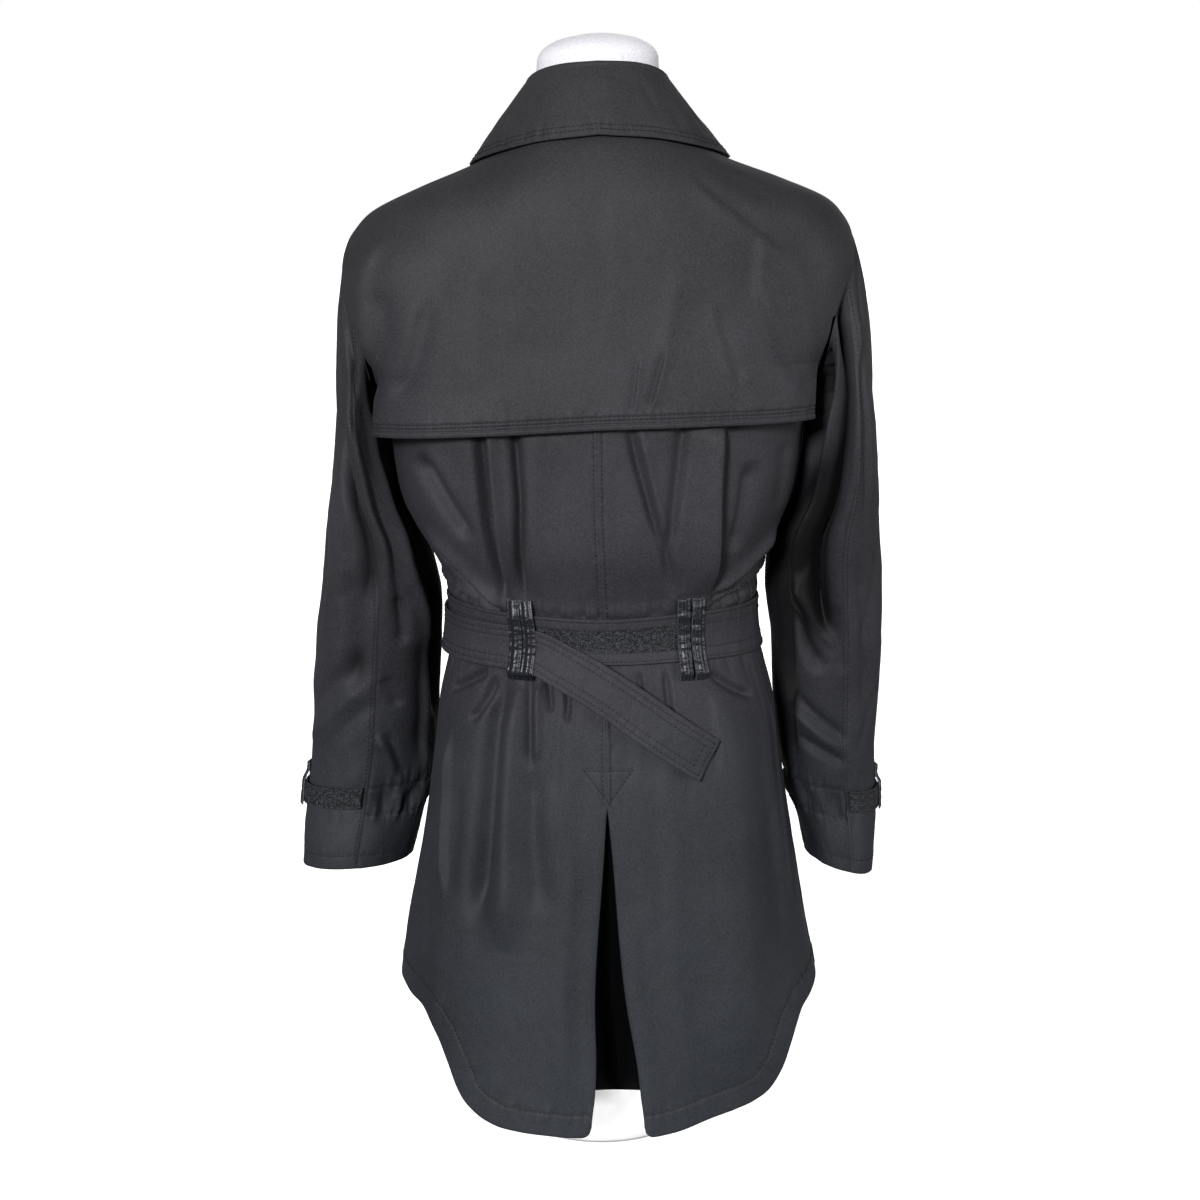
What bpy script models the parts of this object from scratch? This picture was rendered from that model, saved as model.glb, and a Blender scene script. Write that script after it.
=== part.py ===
"""Trench coat on a countertop dress form, in metres, +Z up.

The wearer faces -Y and their left is +X. The origin is the middle of the base's underside. Angles
go round the body in degrees: 0 is the wearer's left side, 90 the back, 180 the right side and -90
the front. Each cloth piece is a wall whose outer face lies on the coat's surface, and whose inner
face is one cloth thickness inside it.
"""

import math

import bmesh
import bpy
import numpy as np

# Cloth and fit
CLOTH = 0.002  # shell cloth with its backing
STRAP = 0.0024  # belt and cuff straps, two cloths and a stiffener
LEATHER = 0.0015  # belt loops and cuff loops
GAP = 0.0003  # between neighbouring pieces
SEAM = 0.0004  # between the cut edges of two panels
ARMHOLE_GAP = 0.0025  # between a sleeve and the panels it is sewn to

# Levels of the coat
ARMHOLE_BOTTOM = 0.700
SHOULDER_TIP = 0.846
NECK_SIDE = 0.930
SKIRT_TOP = 0.360
FLAP_EDGE = 0.667
LOOSE_TOP = 0.760  # below it the storm flap hangs free of the armhole seam
PLEAT_TOP = 0.334
PLEAT_HEM = 0.062
HEM_MIDDLE = 0.0335
OVERLAP = 0.075  # how far each front runs past the middle below the chest
NECK_OVERLAP = 0.042  # the same at the neck
LAP = CLOTH + 0.0019  # how far the right front lies outside the left one's face
FLAP_SIDE = 20.3  # angle of the flap's free side edges
FLAP_HALF_WIDTH = 0.2070  # where it hangs free
FLAP_SQUARE = 3.05  # how square its section is there
FLAP_FLARE = 0.004  # how far its edge stands off behind
PLEAT_OPENING = {"left": 0.015, "right": 0.031}  # of each panel's edge from the middle, at the hem
PLEAT_DEPTH = 0.058  # of the underlay's fold at the hem
NECK_SHARE = 0.40  # part of a panel's top edge that belongs to the neck

# The rows of the body panels: from the hem to the skirt's top, the levels above it, and from the
# armhole's bottom to the top edge.
SKIRT_STEPS = (0.0, 0.035, 0.10, 0.22, 0.38, 0.56, 0.78)
WAIST_LEVELS = (SKIRT_TOP, 0.395, 0.425, 0.448, 0.468, 0.490, 0.510, 0.527, 0.545)
CHEST_LEVELS = (0.562, 0.582, 0.606, 0.636, 0.668, ARMHOLE_BOTTOM)
TOP_STEPS = (0.05, 0.13, 0.24, 0.38, 0.54, 0.70, 0.84, 0.94, 1.0)

# The coat's body, a row per level: half width, depth behind and in front of the middle, and how
# square the back and front halves of the section are, where 2 is an ellipse.
BODY = (
    ("z", "half_width", "back", "front", "back_square", "front_square"),
    (
        (0.020, 0.2120, 0.150, 0.148, 2.3, 2.2),
        (0.100, 0.2040, 0.143, 0.141, 2.3, 2.2),
        (0.150, 0.1960, 0.139, 0.137, 2.3, 2.2),
        (0.210, 0.1860, 0.134, 0.132, 2.3, 2.2),
        (0.300, 0.1700, 0.127, 0.126, 2.3, 2.2),
        (0.360, 0.1615, 0.121, 0.121, 2.3, 2.2),
        (0.420, 0.1540, 0.113, 0.113, 2.3, 2.2),
        (0.450, 0.1465, 0.105, 0.106, 2.3, 2.2),
        (0.480, 0.1405, 0.100, 0.101, 2.3, 2.2),
        (0.508, 0.1405, 0.103, 0.103, 2.3, 2.2),
        (0.530, 0.1440, 0.110, 0.110, 2.3, 2.2),
        (0.556, 0.1555, 0.119, 0.119, 2.4, 2.2),
        (0.580, 0.1685, 0.122, 0.123, 2.5, 2.2),
        (0.605, 0.1790, 0.123, 0.128, 2.6, 2.2),
        (0.635, 0.1850, 0.124, 0.134, 2.7, 2.2),
        (0.667, 0.1885, 0.125, 0.138, 2.8, 2.3),
        (0.700, 0.1965, 0.124, 0.137, 3.0, 2.4),
        (0.720, 0.2070, 0.123, 0.134, 3.1, 2.5),
        (0.750, 0.2215, 0.120, 0.128, 3.1, 2.6),
        (0.780, 0.2275, 0.117, 0.120, 3.1, 2.6),
        (0.820, 0.2280, 0.113, 0.109, 2.9, 2.6),
        (0.846, 0.2165, 0.109, 0.101, 2.6, 2.5),
        (0.860, 0.2030, 0.106, 0.096, 2.5, 2.4),
        (0.880, 0.1600, 0.101, 0.088, 2.4, 2.3),
        (0.900, 0.1090, 0.094, 0.079, 2.3, 2.2),
        (0.916, 0.0815, 0.086, 0.073, 2.2, 2.2),
        (0.930, 0.0650, 0.074, 0.066, 2.2, 2.2),
        (0.940, 0.0620, 0.066, 0.062, 2.2, 2.2),
    ),
)
# The armhole seam, a row per level: its angle from the side line on the back and on the front.
ARMHOLE = (
    ("z", "back", "front"),
    (
        (0.700, 0.0, 0.0),
        (0.706, 10.0, 11.0),
        (0.716, 15.5, 18.0),
        (0.732, 18.7, 23.0),
        (0.755, 19.5, 24.5),
        (0.782, 17.0, 21.0),
        (0.802, 13.5, 16.5),
        (0.822, 9.5, 11.0),
        (0.837, 5.0, 6.0),
        (0.846, 0.0, 0.0),
    ),
)
# The hem, a row per angle from the side line: high at the sides, low behind and in front, and
# rounder on the right.
HEM = (
    ("angle", "left", "right"),
    (
        (0.0, 0.148, 0.148),
        (10.0, 0.144, 0.144),
        (18.0, 0.138, 0.138),
        (25.0, 0.131, 0.129),
        (31.0, 0.110, 0.106),
        (34.5, 0.090, 0.086),
        (39.0, 0.0635, 0.0690),
        (44.0, 0.0490, 0.0605),
        (50.0, 0.0405, 0.0550),
        (59.0, 0.0360, 0.0480),
        (69.0, 0.0340, 0.0380),
        (90.0, 0.0335, 0.0335),
        (130.0, 0.0335, 0.0335),
    ),
)
# The neck seam, a row per angle from the side line.
NECK_BACK = (("angle", "z"), ((0.0, 0.930), (45.0, 0.932), (90.0, 0.935)))
NECK_FRONT = (
    ("angle", "z"),
    ((0.0, 0.930), (20.0, 0.926), (45.0, 0.912), (70.0, 0.894), (90.0, 0.885), (130.0, 0.885)),
)
# The stance: the coat hangs a little to one side, and the shoulders slope with it.
STANCE = (
    ("z", "shift", "tilt"),
    (
        (0.000, -0.0110, 0.000),
        (0.100, -0.0110, 0.000),
        (0.150, -0.0065, 0.000),
        (0.300, -0.0050, 0.000),
        (0.480, -0.0020, 0.000),
        (0.600, 0.0030, 0.020),
        (0.680, 0.0040, 0.036),
        (0.800, 0.0040, 0.033),
        (0.900, 0.0020, 0.028),
        (0.950, 0.0040, 0.026),
        (1.030, 0.0030, 0.026),
    ),
)
# Main folds of the body, a row per fold: from its start to its end, its half width, and its depth,
# which is negative for a trough.
BODY_FOLDS = (
    ("face", "x0", "z0", "x1", "z1", "width", "depth"),
    (
        ("back", 0.113, 0.655, 0.088, 0.515, 0.010, -0.009),
        ("back", 0.103, 0.650, 0.080, 0.520, 0.008, 0.004),
        ("back", 0.078, 0.655, 0.070, 0.525, 0.009, -0.006),
        ("back", 0.161, 0.640, 0.120, 0.565, 0.012, -0.006),
        ("back", 0.143, 0.560, 0.086, 0.515, 0.010, -0.006),
        ("back", -0.027, 0.655, -0.047, 0.570, 0.010, -0.004),
        ("back", -0.070, 0.655, -0.062, 0.550, 0.011, -0.006),
        ("back", -0.109, 0.655, -0.096, 0.520, 0.008, -0.008),
        ("back", -0.120, 0.640, -0.108, 0.530, 0.009, 0.004),
        ("back", -0.139, 0.560, -0.095, 0.520, 0.010, -0.006),
        ("back", 0.091, 0.425, 0.112, 0.220, 0.013, -0.005),
        ("back", 0.069, 0.425, 0.067, 0.360, 0.010, -0.003),
        ("back", 0.135, 0.360, 0.146, 0.230, 0.014, -0.004),
        ("back", -0.104, 0.425, -0.128, 0.180, 0.016, 0.005),
        ("back", -0.146, 0.330, -0.156, 0.200, 0.014, -0.004),
        ("front", 0.112, 0.640, 0.094, 0.515, 0.010, -0.008),
        ("front", 0.140, 0.600, 0.118, 0.520, 0.010, -0.005),
        ("front", -0.106, 0.645, -0.094, 0.515, 0.010, -0.008),
        ("front", -0.138, 0.600, -0.120, 0.520, 0.010, -0.005),
        ("front", 0.108, 0.425, 0.128, 0.200, 0.014, -0.005),
        ("front", -0.100, 0.425, -0.118, 0.200, 0.015, 0.005),
        ("front", -0.138, 0.400, -0.150, 0.230, 0.014, -0.004),
    ),
)
# Main folds of the storm flap.
FLAP_FOLDS = (
    ("face", "x0", "z0", "x1", "z1", "width", "depth"),
    (
        ("back", 0.183, 0.825, 0.190, 0.730, 0.012, 0.004),
        ("back", -0.093, 0.868, -0.162, 0.822, 0.010, 0.003),
        ("back", -0.160, 0.850, -0.188, 0.790, 0.009, -0.003),
        ("back", -0.150, 0.825, -0.178, 0.735, 0.009, -0.004),
        ("back", -0.137, 0.810, -0.145, 0.690, 0.010, 0.003),
        ("back", -0.053, 0.730, -0.043, 0.690, 0.010, 0.002),
    ),
)
# A sleeve, a row per level below the armhole: how far its inner and outer edges stand from the
# middle, where its middle lies front to back, and its half depth.
SLEEVE_COLUMNS = ("z", "inner", "outer", "centre_y", "half_depth")
LEFT_SLEEVE = (
    SLEEVE_COLUMNS,
    (
        (0.240, 0.1880, 0.2940, -0.0460, 0.0500),
        (0.270, 0.1800, 0.2925, -0.0460, 0.0495),
        (0.300, 0.1730, 0.2890, -0.0450, 0.0450),
        (0.340, 0.1650, 0.2840, -0.0440, 0.0485),
        (0.400, 0.1570, 0.2792, -0.0380, 0.0510),
        (0.460, 0.1525, 0.2714, -0.0260, 0.0560),
        (0.520, 0.1515, 0.2617, -0.0160, 0.0610),
        (0.560, 0.1600, 0.2556, -0.0110, 0.0670),
        (0.600, 0.1790, 0.2487, -0.0080, 0.0740),
        (0.640, 0.1885, 0.2427, -0.0050, 0.0770),
        (0.688, 0.1970, 0.2380, -0.0050, 0.0760),
    ),
)
RIGHT_SLEEVE = (
    SLEEVE_COLUMNS,
    (
        (0.240, 0.1900, 0.2570, -0.0500, 0.0600),
        (0.270, 0.1835, 0.2578, -0.0500, 0.0590),
        (0.300, 0.1745, 0.2580, -0.0490, 0.0540),
        (0.340, 0.1665, 0.2570, -0.0460, 0.0570),
        (0.400, 0.1600, 0.2596, -0.0380, 0.0570),
        (0.460, 0.1570, 0.2610, -0.0260, 0.0600),
        (0.520, 0.1530, 0.2608, -0.0160, 0.0640),
        (0.560, 0.1600, 0.2585, -0.0110, 0.0690),
        (0.600, 0.1790, 0.2586, -0.0080, 0.0740),
        (0.640, 0.1885, 0.2554, -0.0050, 0.0760),
        (0.688, 0.1970, 0.2495, -0.0050, 0.0760),
    ),
)
# Main folds of the sleeves, in degrees round the sleeve: 0 is its outer edge and 90 its back.
SLEEVE_FOLDS = ("a0", "z0", "a1", "z1", "width", "depth")
LEFT_SLEEVE_FOLDS = (
    SLEEVE_FOLDS,
    (
        (112.0, 0.650, 152.0, 0.500, 0.011, 0.005),
        (130.0, 0.655, 166.0, 0.520, 0.012, -0.008),
        (60.0, 0.790, 88.0, 0.640, 0.012, -0.004),
        (150.0, 0.470, 100.0, 0.380, 0.012, -0.004),
        (92.0, 0.365, 104.0, 0.330, 0.010, 0.004),
        (285.0, 0.560, 215.0, 0.500, 0.012, -0.006),
        (280.0, 0.480, 230.0, 0.445, 0.011, -0.005),
    ),
)
RIGHT_SLEEVE_FOLDS = (
    SLEEVE_FOLDS,
    (
        (100.0, 0.680, 140.0, 0.560, 0.012, -0.007),
        (85.0, 0.610, 135.0, 0.490, 0.011, 0.004),
        (70.0, 0.560, 150.0, 0.440, 0.011, -0.006),
        (45.0, 0.780, 70.0, 0.650, 0.012, -0.003),
        (140.0, 0.420, 90.0, 0.350, 0.012, -0.005),
        (290.0, 0.570, 220.0, 0.510, 0.012, -0.006),
        (275.0, 0.470, 225.0, 0.430, 0.011, -0.005),
    ),
)
CUFF_Z = 0.240
CASING_Z = 0.307  # middle of the elastic casing above each cuff
CASING_HALF = 0.014
CASING_GATHERS = 5  # across one under sleeve
CASING_WAVE = 0.0018
CUFF_STRAP_Z = (0.301, 0.320)
CUFF_STRAP_OUT = 0.0010  # the strap's inner face above the sleeve
CUFF_LOOP_Z = (0.2975, 0.3375)
CUFF_LOOP_WIDTH = 0.011
CUFF_SLANT = {"left": -0.0035, "right": -0.0100}
SLEEVE_LEVELS = (0.655, 0.620, 0.588, 0.556, 0.526, 0.492, 0.456, 0.420, 0.384, 0.352)
CASING_LEVELS = (0.328, 0.316, 0.300, 0.286, 0.262, CUFF_Z)
SLEEVE_THIN = 0.0375  # mean radius where a sleeve is narrowest
BACK_SEAM = {"left": 92.0, "right": 78.0}
FRONT_SEAM = {"left": 250.0, "right": 250.0}

# The collar, a row per angle from the side line, front to back: the height of its loose edge on
# the body, the height of its roll, and how far the fall bows out between them.
COLLAR = (
    ("angle", "edge_z", "roll_z", "bow"),
    (
        (-84.0, 0.832, 0.917, 0.0240),
        (-68.0, 0.853, 0.925, 0.0200),
        (-45.0, 0.880, 0.942, 0.0120),
        (-20.0, 0.893, 0.960, 0.0050),
        (0.0, 0.899, 0.970, 0.0025),
        (25.0, 0.906, 0.978, 0.0050),
        (55.0, 0.915, 0.984, 0.0070),
        (90.0, 0.920, 0.986, 0.0080),
    ),
)
ROLL_HALF_WIDTH = 0.0605
ROLL_BACK = 0.0600
ROLL_FRONT = 0.0740
ROLL_RADIUS = 0.0032
COLLAR_LIFT = 0.0050  # of the collar's loose edge above the body panels

# The belt, a row per angle: the height of its middle and its width.
BELT = (
    ("angle", "z", "width"),
    (
        (-180.0, 0.4855, 0.046),
        (-90.0, 0.4860, 0.044),
        (0.0, 0.4915, 0.043),
        (50.0, 0.4850, 0.041),
        (90.0, 0.4815, 0.041),
        (130.0, 0.4845, 0.043),
        (180.0, 0.4855, 0.046),
    ),
)
BELT_OUT = 0.0011  # the belt's inner face above the cloth
# The belt's free end, a row per station: its place, its middle's height and how far out it lies.
TAIL = (
    ("face", "x", "z", "lift"),
    (
        ("front", 0.036, 0.4790, 0.0),
        ("front", 0.085, 0.4785, 0.0),
        ("front", 0.125, 0.4780, 0.0),
        ("back", 0.139, 0.4775, 0.0),
        ("back", 0.128, 0.4765, 0.0),
        ("back", 0.106, 0.4755, 0.0),
        ("back", 0.084, 0.4745, 0.0),
        ("back", 0.062, 0.4710, 0.0),
        ("back", 0.038, 0.4590, 0.0004),
        ("back", 0.013, 0.4450, 0.0010),
        ("back", -0.018, 0.4260, 0.0020),
        ("back", -0.052, 0.4030, 0.0032),
        ("back", -0.090, 0.3760, 0.0040),
    ),
)
TAIL_WIDTH = 0.037
TAIL_CLEAR = 0.0017  # between the belt and its free end
LOOP_X = (0.0755, 0.0648, -0.0685, -0.0815)
LOOP_Z = (0.446, 0.519)
LOOP_WIDTH = 0.0091

BUCKLE_X = 0.030
BUCKLE_WIDTH = 0.046
BUCKLE_HEIGHT = 0.058
BUCKLE_BAR = 0.007
BUCKLE_THICK = 0.004
BUTTON_X = 0.052
BUTTON_Z = (0.775, 0.655, 0.395)
BUTTON_RADIUS = 0.011
BUTTON_THICK = 0.0038

# The dress form, a row per level, up to where its shoulders follow the coat's.
FORM = (
    ("z", "half_width", "back", "front"),
    (
        (0.330, 0.138, 0.098, 0.098),
        (0.400, 0.134, 0.094, 0.094),
        (0.480, 0.118, 0.082, 0.084),
        (0.560, 0.130, 0.088, 0.096),
        (0.640, 0.154, 0.096, 0.113),
        (0.700, 0.170, 0.101, 0.116),
        (0.760, 0.184, 0.103, 0.108),
        (0.800, 0.192, 0.103, 0.101),
        (0.835, 0.188, 0.101, 0.094),
        (0.860, 0.176, 0.098, 0.087),
        (0.885, 0.138, 0.092, 0.076),
        (0.905, 0.092, 0.084, 0.066),
        (0.928, 0.060, 0.068, 0.060),
    ),
)
# Its neck, from where the coat's neck lets it out.
FORM_NECK = (
    ("z", "half_width", "back", "front"),
    (
        (0.928, 0.0590, 0.0660, 0.0600),
        (0.944, 0.0570, 0.0570, 0.0590),
        (0.965, 0.0550, 0.0520, 0.0580),
        (0.985, 0.0545, 0.0505, 0.0575),
        (0.996, 0.0525, 0.0485, 0.0555),
        (1.004, 0.0440, 0.0410, 0.0470),
        (1.010, 0.0290, 0.0270, 0.0310),
        (1.013, 0.0120, 0.0110, 0.0130),
    ),
)
FORM_CLEAR = 0.0050  # between the form's shoulders and the coat's inner face
POLE_RADIUS = 0.014
BASE_RADIUS = 0.080
BASE_THICK = 0.011
POLE_FOOT = 0.030

FINISHES = {
    # name: colour, roughness, metallic
    "coat_cloth": ((0.052, 0.050, 0.055), 0.55, 0.0),
    "strap_tape": ((0.040, 0.039, 0.043), 0.70, 0.0),
    "loop_leather": ((0.020, 0.022, 0.030), 0.35, 0.0),
    "form_cover": ((0.72, 0.71, 0.74), 0.75, 0.0),
    "stand_paint": ((0.80, 0.80, 0.80), 0.45, 0.0),
    "button_plastic": ((0.030, 0.029, 0.032), 0.35, 0.0),
}


def read(table, name, at):
    """The named column at each place, on a smooth curve through the table's rows."""
    columns, rows = table
    places = np.array([row[0] for row in rows], float)
    values = np.array([row[columns.index(name)] for row in rows], float)
    slopes = np.gradient(values, places)
    at = np.clip(at, places[0], places[-1])
    row = np.clip(np.searchsorted(places, at) - 1, 0, len(places) - 2)
    step = places[row + 1] - places[row]
    share = (at - places[row]) / step
    start = (2 * share**3 - 3 * share**2 + 1) * values[row]
    start = start + (share**3 - 2 * share**2 + share) * step * slopes[row]
    end = (3 * share**2 - 2 * share**3) * values[row + 1]
    return start + end + (share**3 - share**2) * step * slopes[row + 1]


def ramp(low, high, at):
    """0 below low and 1 above high, with a smooth rise between them."""
    share = np.clip((np.asarray(at, float) - low) / (high - low), 0.0, 1.0)
    return share * share * (3 - 2 * share)


def section(angle, z, half_width, behind, before, behind_square, before_square):
    """Points at these angles on a rounded section whose two halves have their own depths."""
    cosine = np.cos(np.radians(angle))
    sine = np.sin(np.radians(angle))
    depth = np.where(sine >= 0, behind, before)
    square = np.where(sine >= 0, behind_square, before_square)
    radius = (np.abs(cosine / half_width) ** square + np.abs(sine / depth) ** square) ** (-1 / square)
    return np.stack([radius * cosine, radius * sine, z + 0 * radius], axis=-1)


def body_base(angle, z):
    """The body's surface without folds."""
    angle, z = np.broadcast_arrays(np.asarray(angle, float), np.asarray(z, float))
    columns = BODY[0][1:]
    return section(angle, z, *[read(BODY, name, z) for name in columns])


def flap_base(angle, z):
    """The storm flap's own surface: it hangs straight down from the widest line of the back."""
    angle, z = np.broadcast_arrays(np.asarray(angle, float), np.asarray(z, float))
    straight = 1 - ramp(LOOSE_TOP - 0.015, LOOSE_TOP + 0.030, z)
    half_width = np.maximum(read(BODY, "half_width", z), FLAP_HALF_WIDTH * straight)
    square = np.maximum(read(BODY, "back_square", z), FLAP_SQUARE * straight)
    back = read(BODY, "back", z) + FLAP_FLARE * (1 - ramp(FLAP_EDGE, LOOSE_TOP - 0.020, z))
    return section(angle, z, half_width, back, back, square, square)


def normals_of(base, angle, z):
    """Outward unit vectors of a surface given by angle and height."""
    turn, rise = 0.6, 0.002
    along = base(angle + turn, z) - base(angle - turn, z)
    up = base(angle, z + rise) - base(angle, z - rise)
    normal = np.cross(along, up)
    return normal / np.linalg.norm(normal, axis=-1, keepdims=True)


def angle_at(x, z, face):
    """The angle at which the body's surface stands this far from the middle."""
    low, high = 0.0, 180.0
    sign = 1 if face == "back" else -1
    for _ in range(40):
        middle = (low + high) / 2
        if float(body_base(sign * middle, z)[0]) > x:
            low = middle
        else:
            high = middle
    return sign * (low + high) / 2


def line_relief(across, along, start, end, width, depth):
    """A soft ridge or trough along the line from start to end, which fades at both ends."""
    line = np.array(end) - np.array(start)
    length = np.linalg.norm(line)
    share = ((across - start[0]) * line[0] + (along - start[1]) * line[1]) / length**2
    share = np.clip(share, 0.0, 1.0)
    distance = np.hypot(across - start[0] - share * line[0], along - start[1] - share * line[1])
    fade = ramp(-0.02, 0.22, share) * ramp(-1.02, -0.78, -share)
    return depth * fade * np.exp(-((distance / width) ** 2))


def folds_relief(folds, angle, z):
    """The sum of a table's folds over the body, in which no ridge stands out under the belt."""
    mean_radius = 0.15
    angle = (np.asarray(angle, float) + 180) % 360 - 180
    across = np.radians(angle) * mean_radius
    relief = 0 * across
    for face, x0, z0, x1, z1, width, depth in folds[1]:
        start = (math.radians(angle_at(x0, z0, face)) * mean_radius, z0)
        end = (math.radians(angle_at(x1, z1, face)) * mean_radius, z1)
        relief = relief + line_relief(across, z, start, end, width, depth)
    near_belt = ramp(0.430, 0.445, z) * ramp(-0.545, -0.525, -np.asarray(z, float))
    return relief - np.maximum(relief, 0) * near_belt


def body_point(angle, z, out=0.0):
    """Points this far outside the body's folded surface."""
    lift = out + folds_relief(BODY_FOLDS, angle, z)
    return body_base(angle, z) + normals_of(body_base, angle, z) * np.asarray(lift)[..., None]


def plain_point(angle, z, out=0.0):
    """Points this far outside the body's surface, with no folds."""
    lift = np.asarray(out) + 0 * np.asarray(angle, float)
    return body_base(angle, z) + normals_of(body_base, angle, z) * lift[..., None]


def posed(points):
    """The points in the coat's stance."""
    points = np.array(points, float)
    z = points[..., 2].copy()
    tilt = read(STANCE, "tilt", z)
    points[..., 2] = z - tilt * points[..., 0]
    points[..., 0] = points[..., 0] + read(STANCE, "shift", z)
    return points


def finish(name):
    """The named material, made once."""
    material = bpy.data.materials.get(name)
    if material:
        return material
    colour, roughness, metallic = FINISHES[name]
    material = bpy.data.materials.new(name)
    material.use_nodes = True
    shader = material.node_tree.nodes["Principled BSDF"]
    shader.inputs["Base Color"].default_value = (*colour, 1.0)
    shader.inputs["Roughness"].default_value = roughness
    shader.inputs["Metallic"].default_value = metallic
    return material


def solid(name, points, faces, finish_name):
    """A closed mesh object with its faces pointing out."""
    mesh = bpy.data.meshes.new(name)
    mesh.from_pydata([tuple(point) for point in points], [], faces)
    shape = bmesh.new()
    shape.from_mesh(mesh)
    bmesh.ops.recalc_face_normals(shape, faces=shape.faces)
    shape.to_mesh(mesh)
    shape.free()
    mesh.shade_smooth()
    mesh.set_sharp_from_angle(angle=math.radians(50))
    mesh.materials.append(finish(finish_name))
    piece = bpy.data.objects.new(name, mesh)
    bpy.context.scene.collection.objects.link(piece)
    return piece


def wall(name, outer, inner, finish_name, ring=False):
    """A cloth wall between two grids of points; with ring, its last column meets its first."""
    rows, columns = outer.shape[:2]
    count = rows * columns
    faces = []
    spans = columns if ring else columns - 1

    def at(row, column, layer=0):
        return layer * count + row * columns + column % columns

    for row in range(rows - 1):
        for column in range(spans):
            corners = [(row, column), (row, column + 1), (row + 1, column + 1), (row + 1, column)]
            rising = np.linalg.norm(outer[row, column] - outer[row + 1, (column + 1) % columns])
            falling = np.linalg.norm(outer[row, (column + 1) % columns] - outer[row + 1, column])
            # Walls that lie on each other are split alike, so that neither cuts through the other.
            first = 0 if rising < falling else 1
            for triangle in ((first, first + 1, first + 2), (first, first + 2, first + 3)):
                places = [corners[corner % 4] for corner in triangle]
                faces.append([at(*place) for place in places])
                faces.append([at(*place, layer=1) for place in reversed(places)])
    for column in range(spans):
        for row in (0, rows - 1):
            faces.append([at(row, column), at(row, column + 1), at(row, column + 1, 1), at(row, column, 1)])
    if not ring:
        for row in range(rows - 1):
            for column in (0, columns - 1):
                faces.append([at(row, column), at(row + 1, column), at(row + 1, column, 1), at(row, column, 1)])
    points = np.concatenate([outer.reshape(-1, 3), inner.reshape(-1, 3)])
    return solid(name, posed(points), faces, finish_name)


def side_angle(z, face):
    """The angle of a panel's outer edge: the side seam, then the armhole, then the shoulder seam."""
    seam = np.degrees(0.5 * SEAM / read(BODY, "half_width", z))
    return np.maximum(seam, read(ARMHOLE, face, z) * (z > ARMHOLE_BOTTOM) * (z < SHOULDER_TIP))


def top_edge(share, face, middle):
    """The angle and height of a panel's top edge: round the neck, then along the shoulder seam.

    middle is the angle of the panel's middle edge there.
    """
    neck = NECK_BACK if face == "back" else NECK_FRONT
    round_neck = np.clip(share / NECK_SHARE, 0, 1)
    along_shoulder = np.clip((share - NECK_SHARE) / (1 - NECK_SHARE), 0, 1)
    angle = middle * (1 - round_neck)
    tip = float(read(BODY, "half_width", SHOULDER_TIP))
    neck_x = float(read(BODY, "half_width", NECK_SIDE))
    x = neck_x + (tip - neck_x) * along_shoulder
    heights = np.linspace(SHOULDER_TIP, NECK_SIDE, 60)
    shoulder_z = np.interp(-x, -read(BODY, "half_width", heights), heights)
    z = np.where(share <= NECK_SHARE, read(neck, "z", angle), shoulder_z)
    return angle, z, along_shoulder


def upper_rows(face, share, steps, middle_angle, least_side=0.0):
    """Angles and heights of a panel's rows from the armhole's bottom up to its top edge."""
    neck_z = NECK_BACK[1][-1][1] if face == "back" else NECK_FRONT[1][-1][1]
    top_angle, top_z, along_shoulder = top_edge(share, face, middle_angle(neck_z))
    angles, heights = [], []
    for step in steps:
        z = ARMHOLE_BOTTOM + (top_z - ARMHOLE_BOTTOM) * step
        side = side_angle(z[-1], face)
        if z[-1] < LOOSE_TOP:
            side = max(side, least_side)
        middle = middle_angle(float(z[0]))
        level = middle + (side - middle) * share
        seam = np.degrees(0.5 * SEAM / read(BODY, "half_width", z))
        edge = np.maximum(top_angle, seam) + side * along_shoulder * (step < 1)
        angle = level + (edge - level) * step**2.2
        angle[-1] = side if step < 1 else seam[-1]
        angles.append(angle)
        heights.append(z)
    return angles, heights


def panel_rows(face, side, columns, middle_x):
    """Angles from the side line and heights for a whole panel, a row per level.

    middle_x gives how far the panel's middle edge stands from the middle at a height: less than
    nothing where the panel runs past it.
    """
    share = np.linspace(0, 1, columns)
    angles, heights = [], []

    def middle_angle(z):
        return abs(angle_at(middle_x(z), z, face))

    for step in SKIRT_STEPS:
        z = np.full(columns, 0.2)
        for _ in range(3):
            angle = middle_angle(float(z[0])) * (1 - share) + side_angle(z, face) * share
            hem = read(HEM, side, angle)
            z = hem + (SKIRT_TOP - hem) * step
        angles.append(angle)
        heights.append(z)
    for level in (*WAIST_LEVELS, *CHEST_LEVELS):
        z = np.full(columns, level)
        angles.append(middle_angle(level) * (1 - share) + side_angle(z, face) * share)
        heights.append(z)
    more_angles, more_heights = upper_rows(face, share, TOP_STEPS, middle_angle)
    return np.array(angles + more_angles), np.array(heights + more_heights)


def facing(angle, face, side):
    """The angle round the body of an angle from the side line, on this face and side."""
    sign = 1 if face == "back" else -1
    return sign * (angle if side == "left" else 180 - angle)


def pleat_edge(side):
    """How far a back panel's middle edge stands from the centre line, by height."""

    def place(z):
        share = min(max((PLEAT_TOP - z) / (PLEAT_TOP - HEM_MIDDLE), 0), 1)
        return 0.5 * GAP + PLEAT_OPENING[side] * share

    return place


def make_back(side):
    angle, z = panel_rows("back", side, 12, pleat_edge(side))
    angle = facing(angle, "back", side)
    out = np.minimum(folds_relief(FLAP_FOLDS, angle, z), 0) * (z > FLAP_EDGE)
    wall(f"back_{side}", body_point(angle, z, out), body_point(angle, z, out - CLOTH), "coat_cloth")


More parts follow.
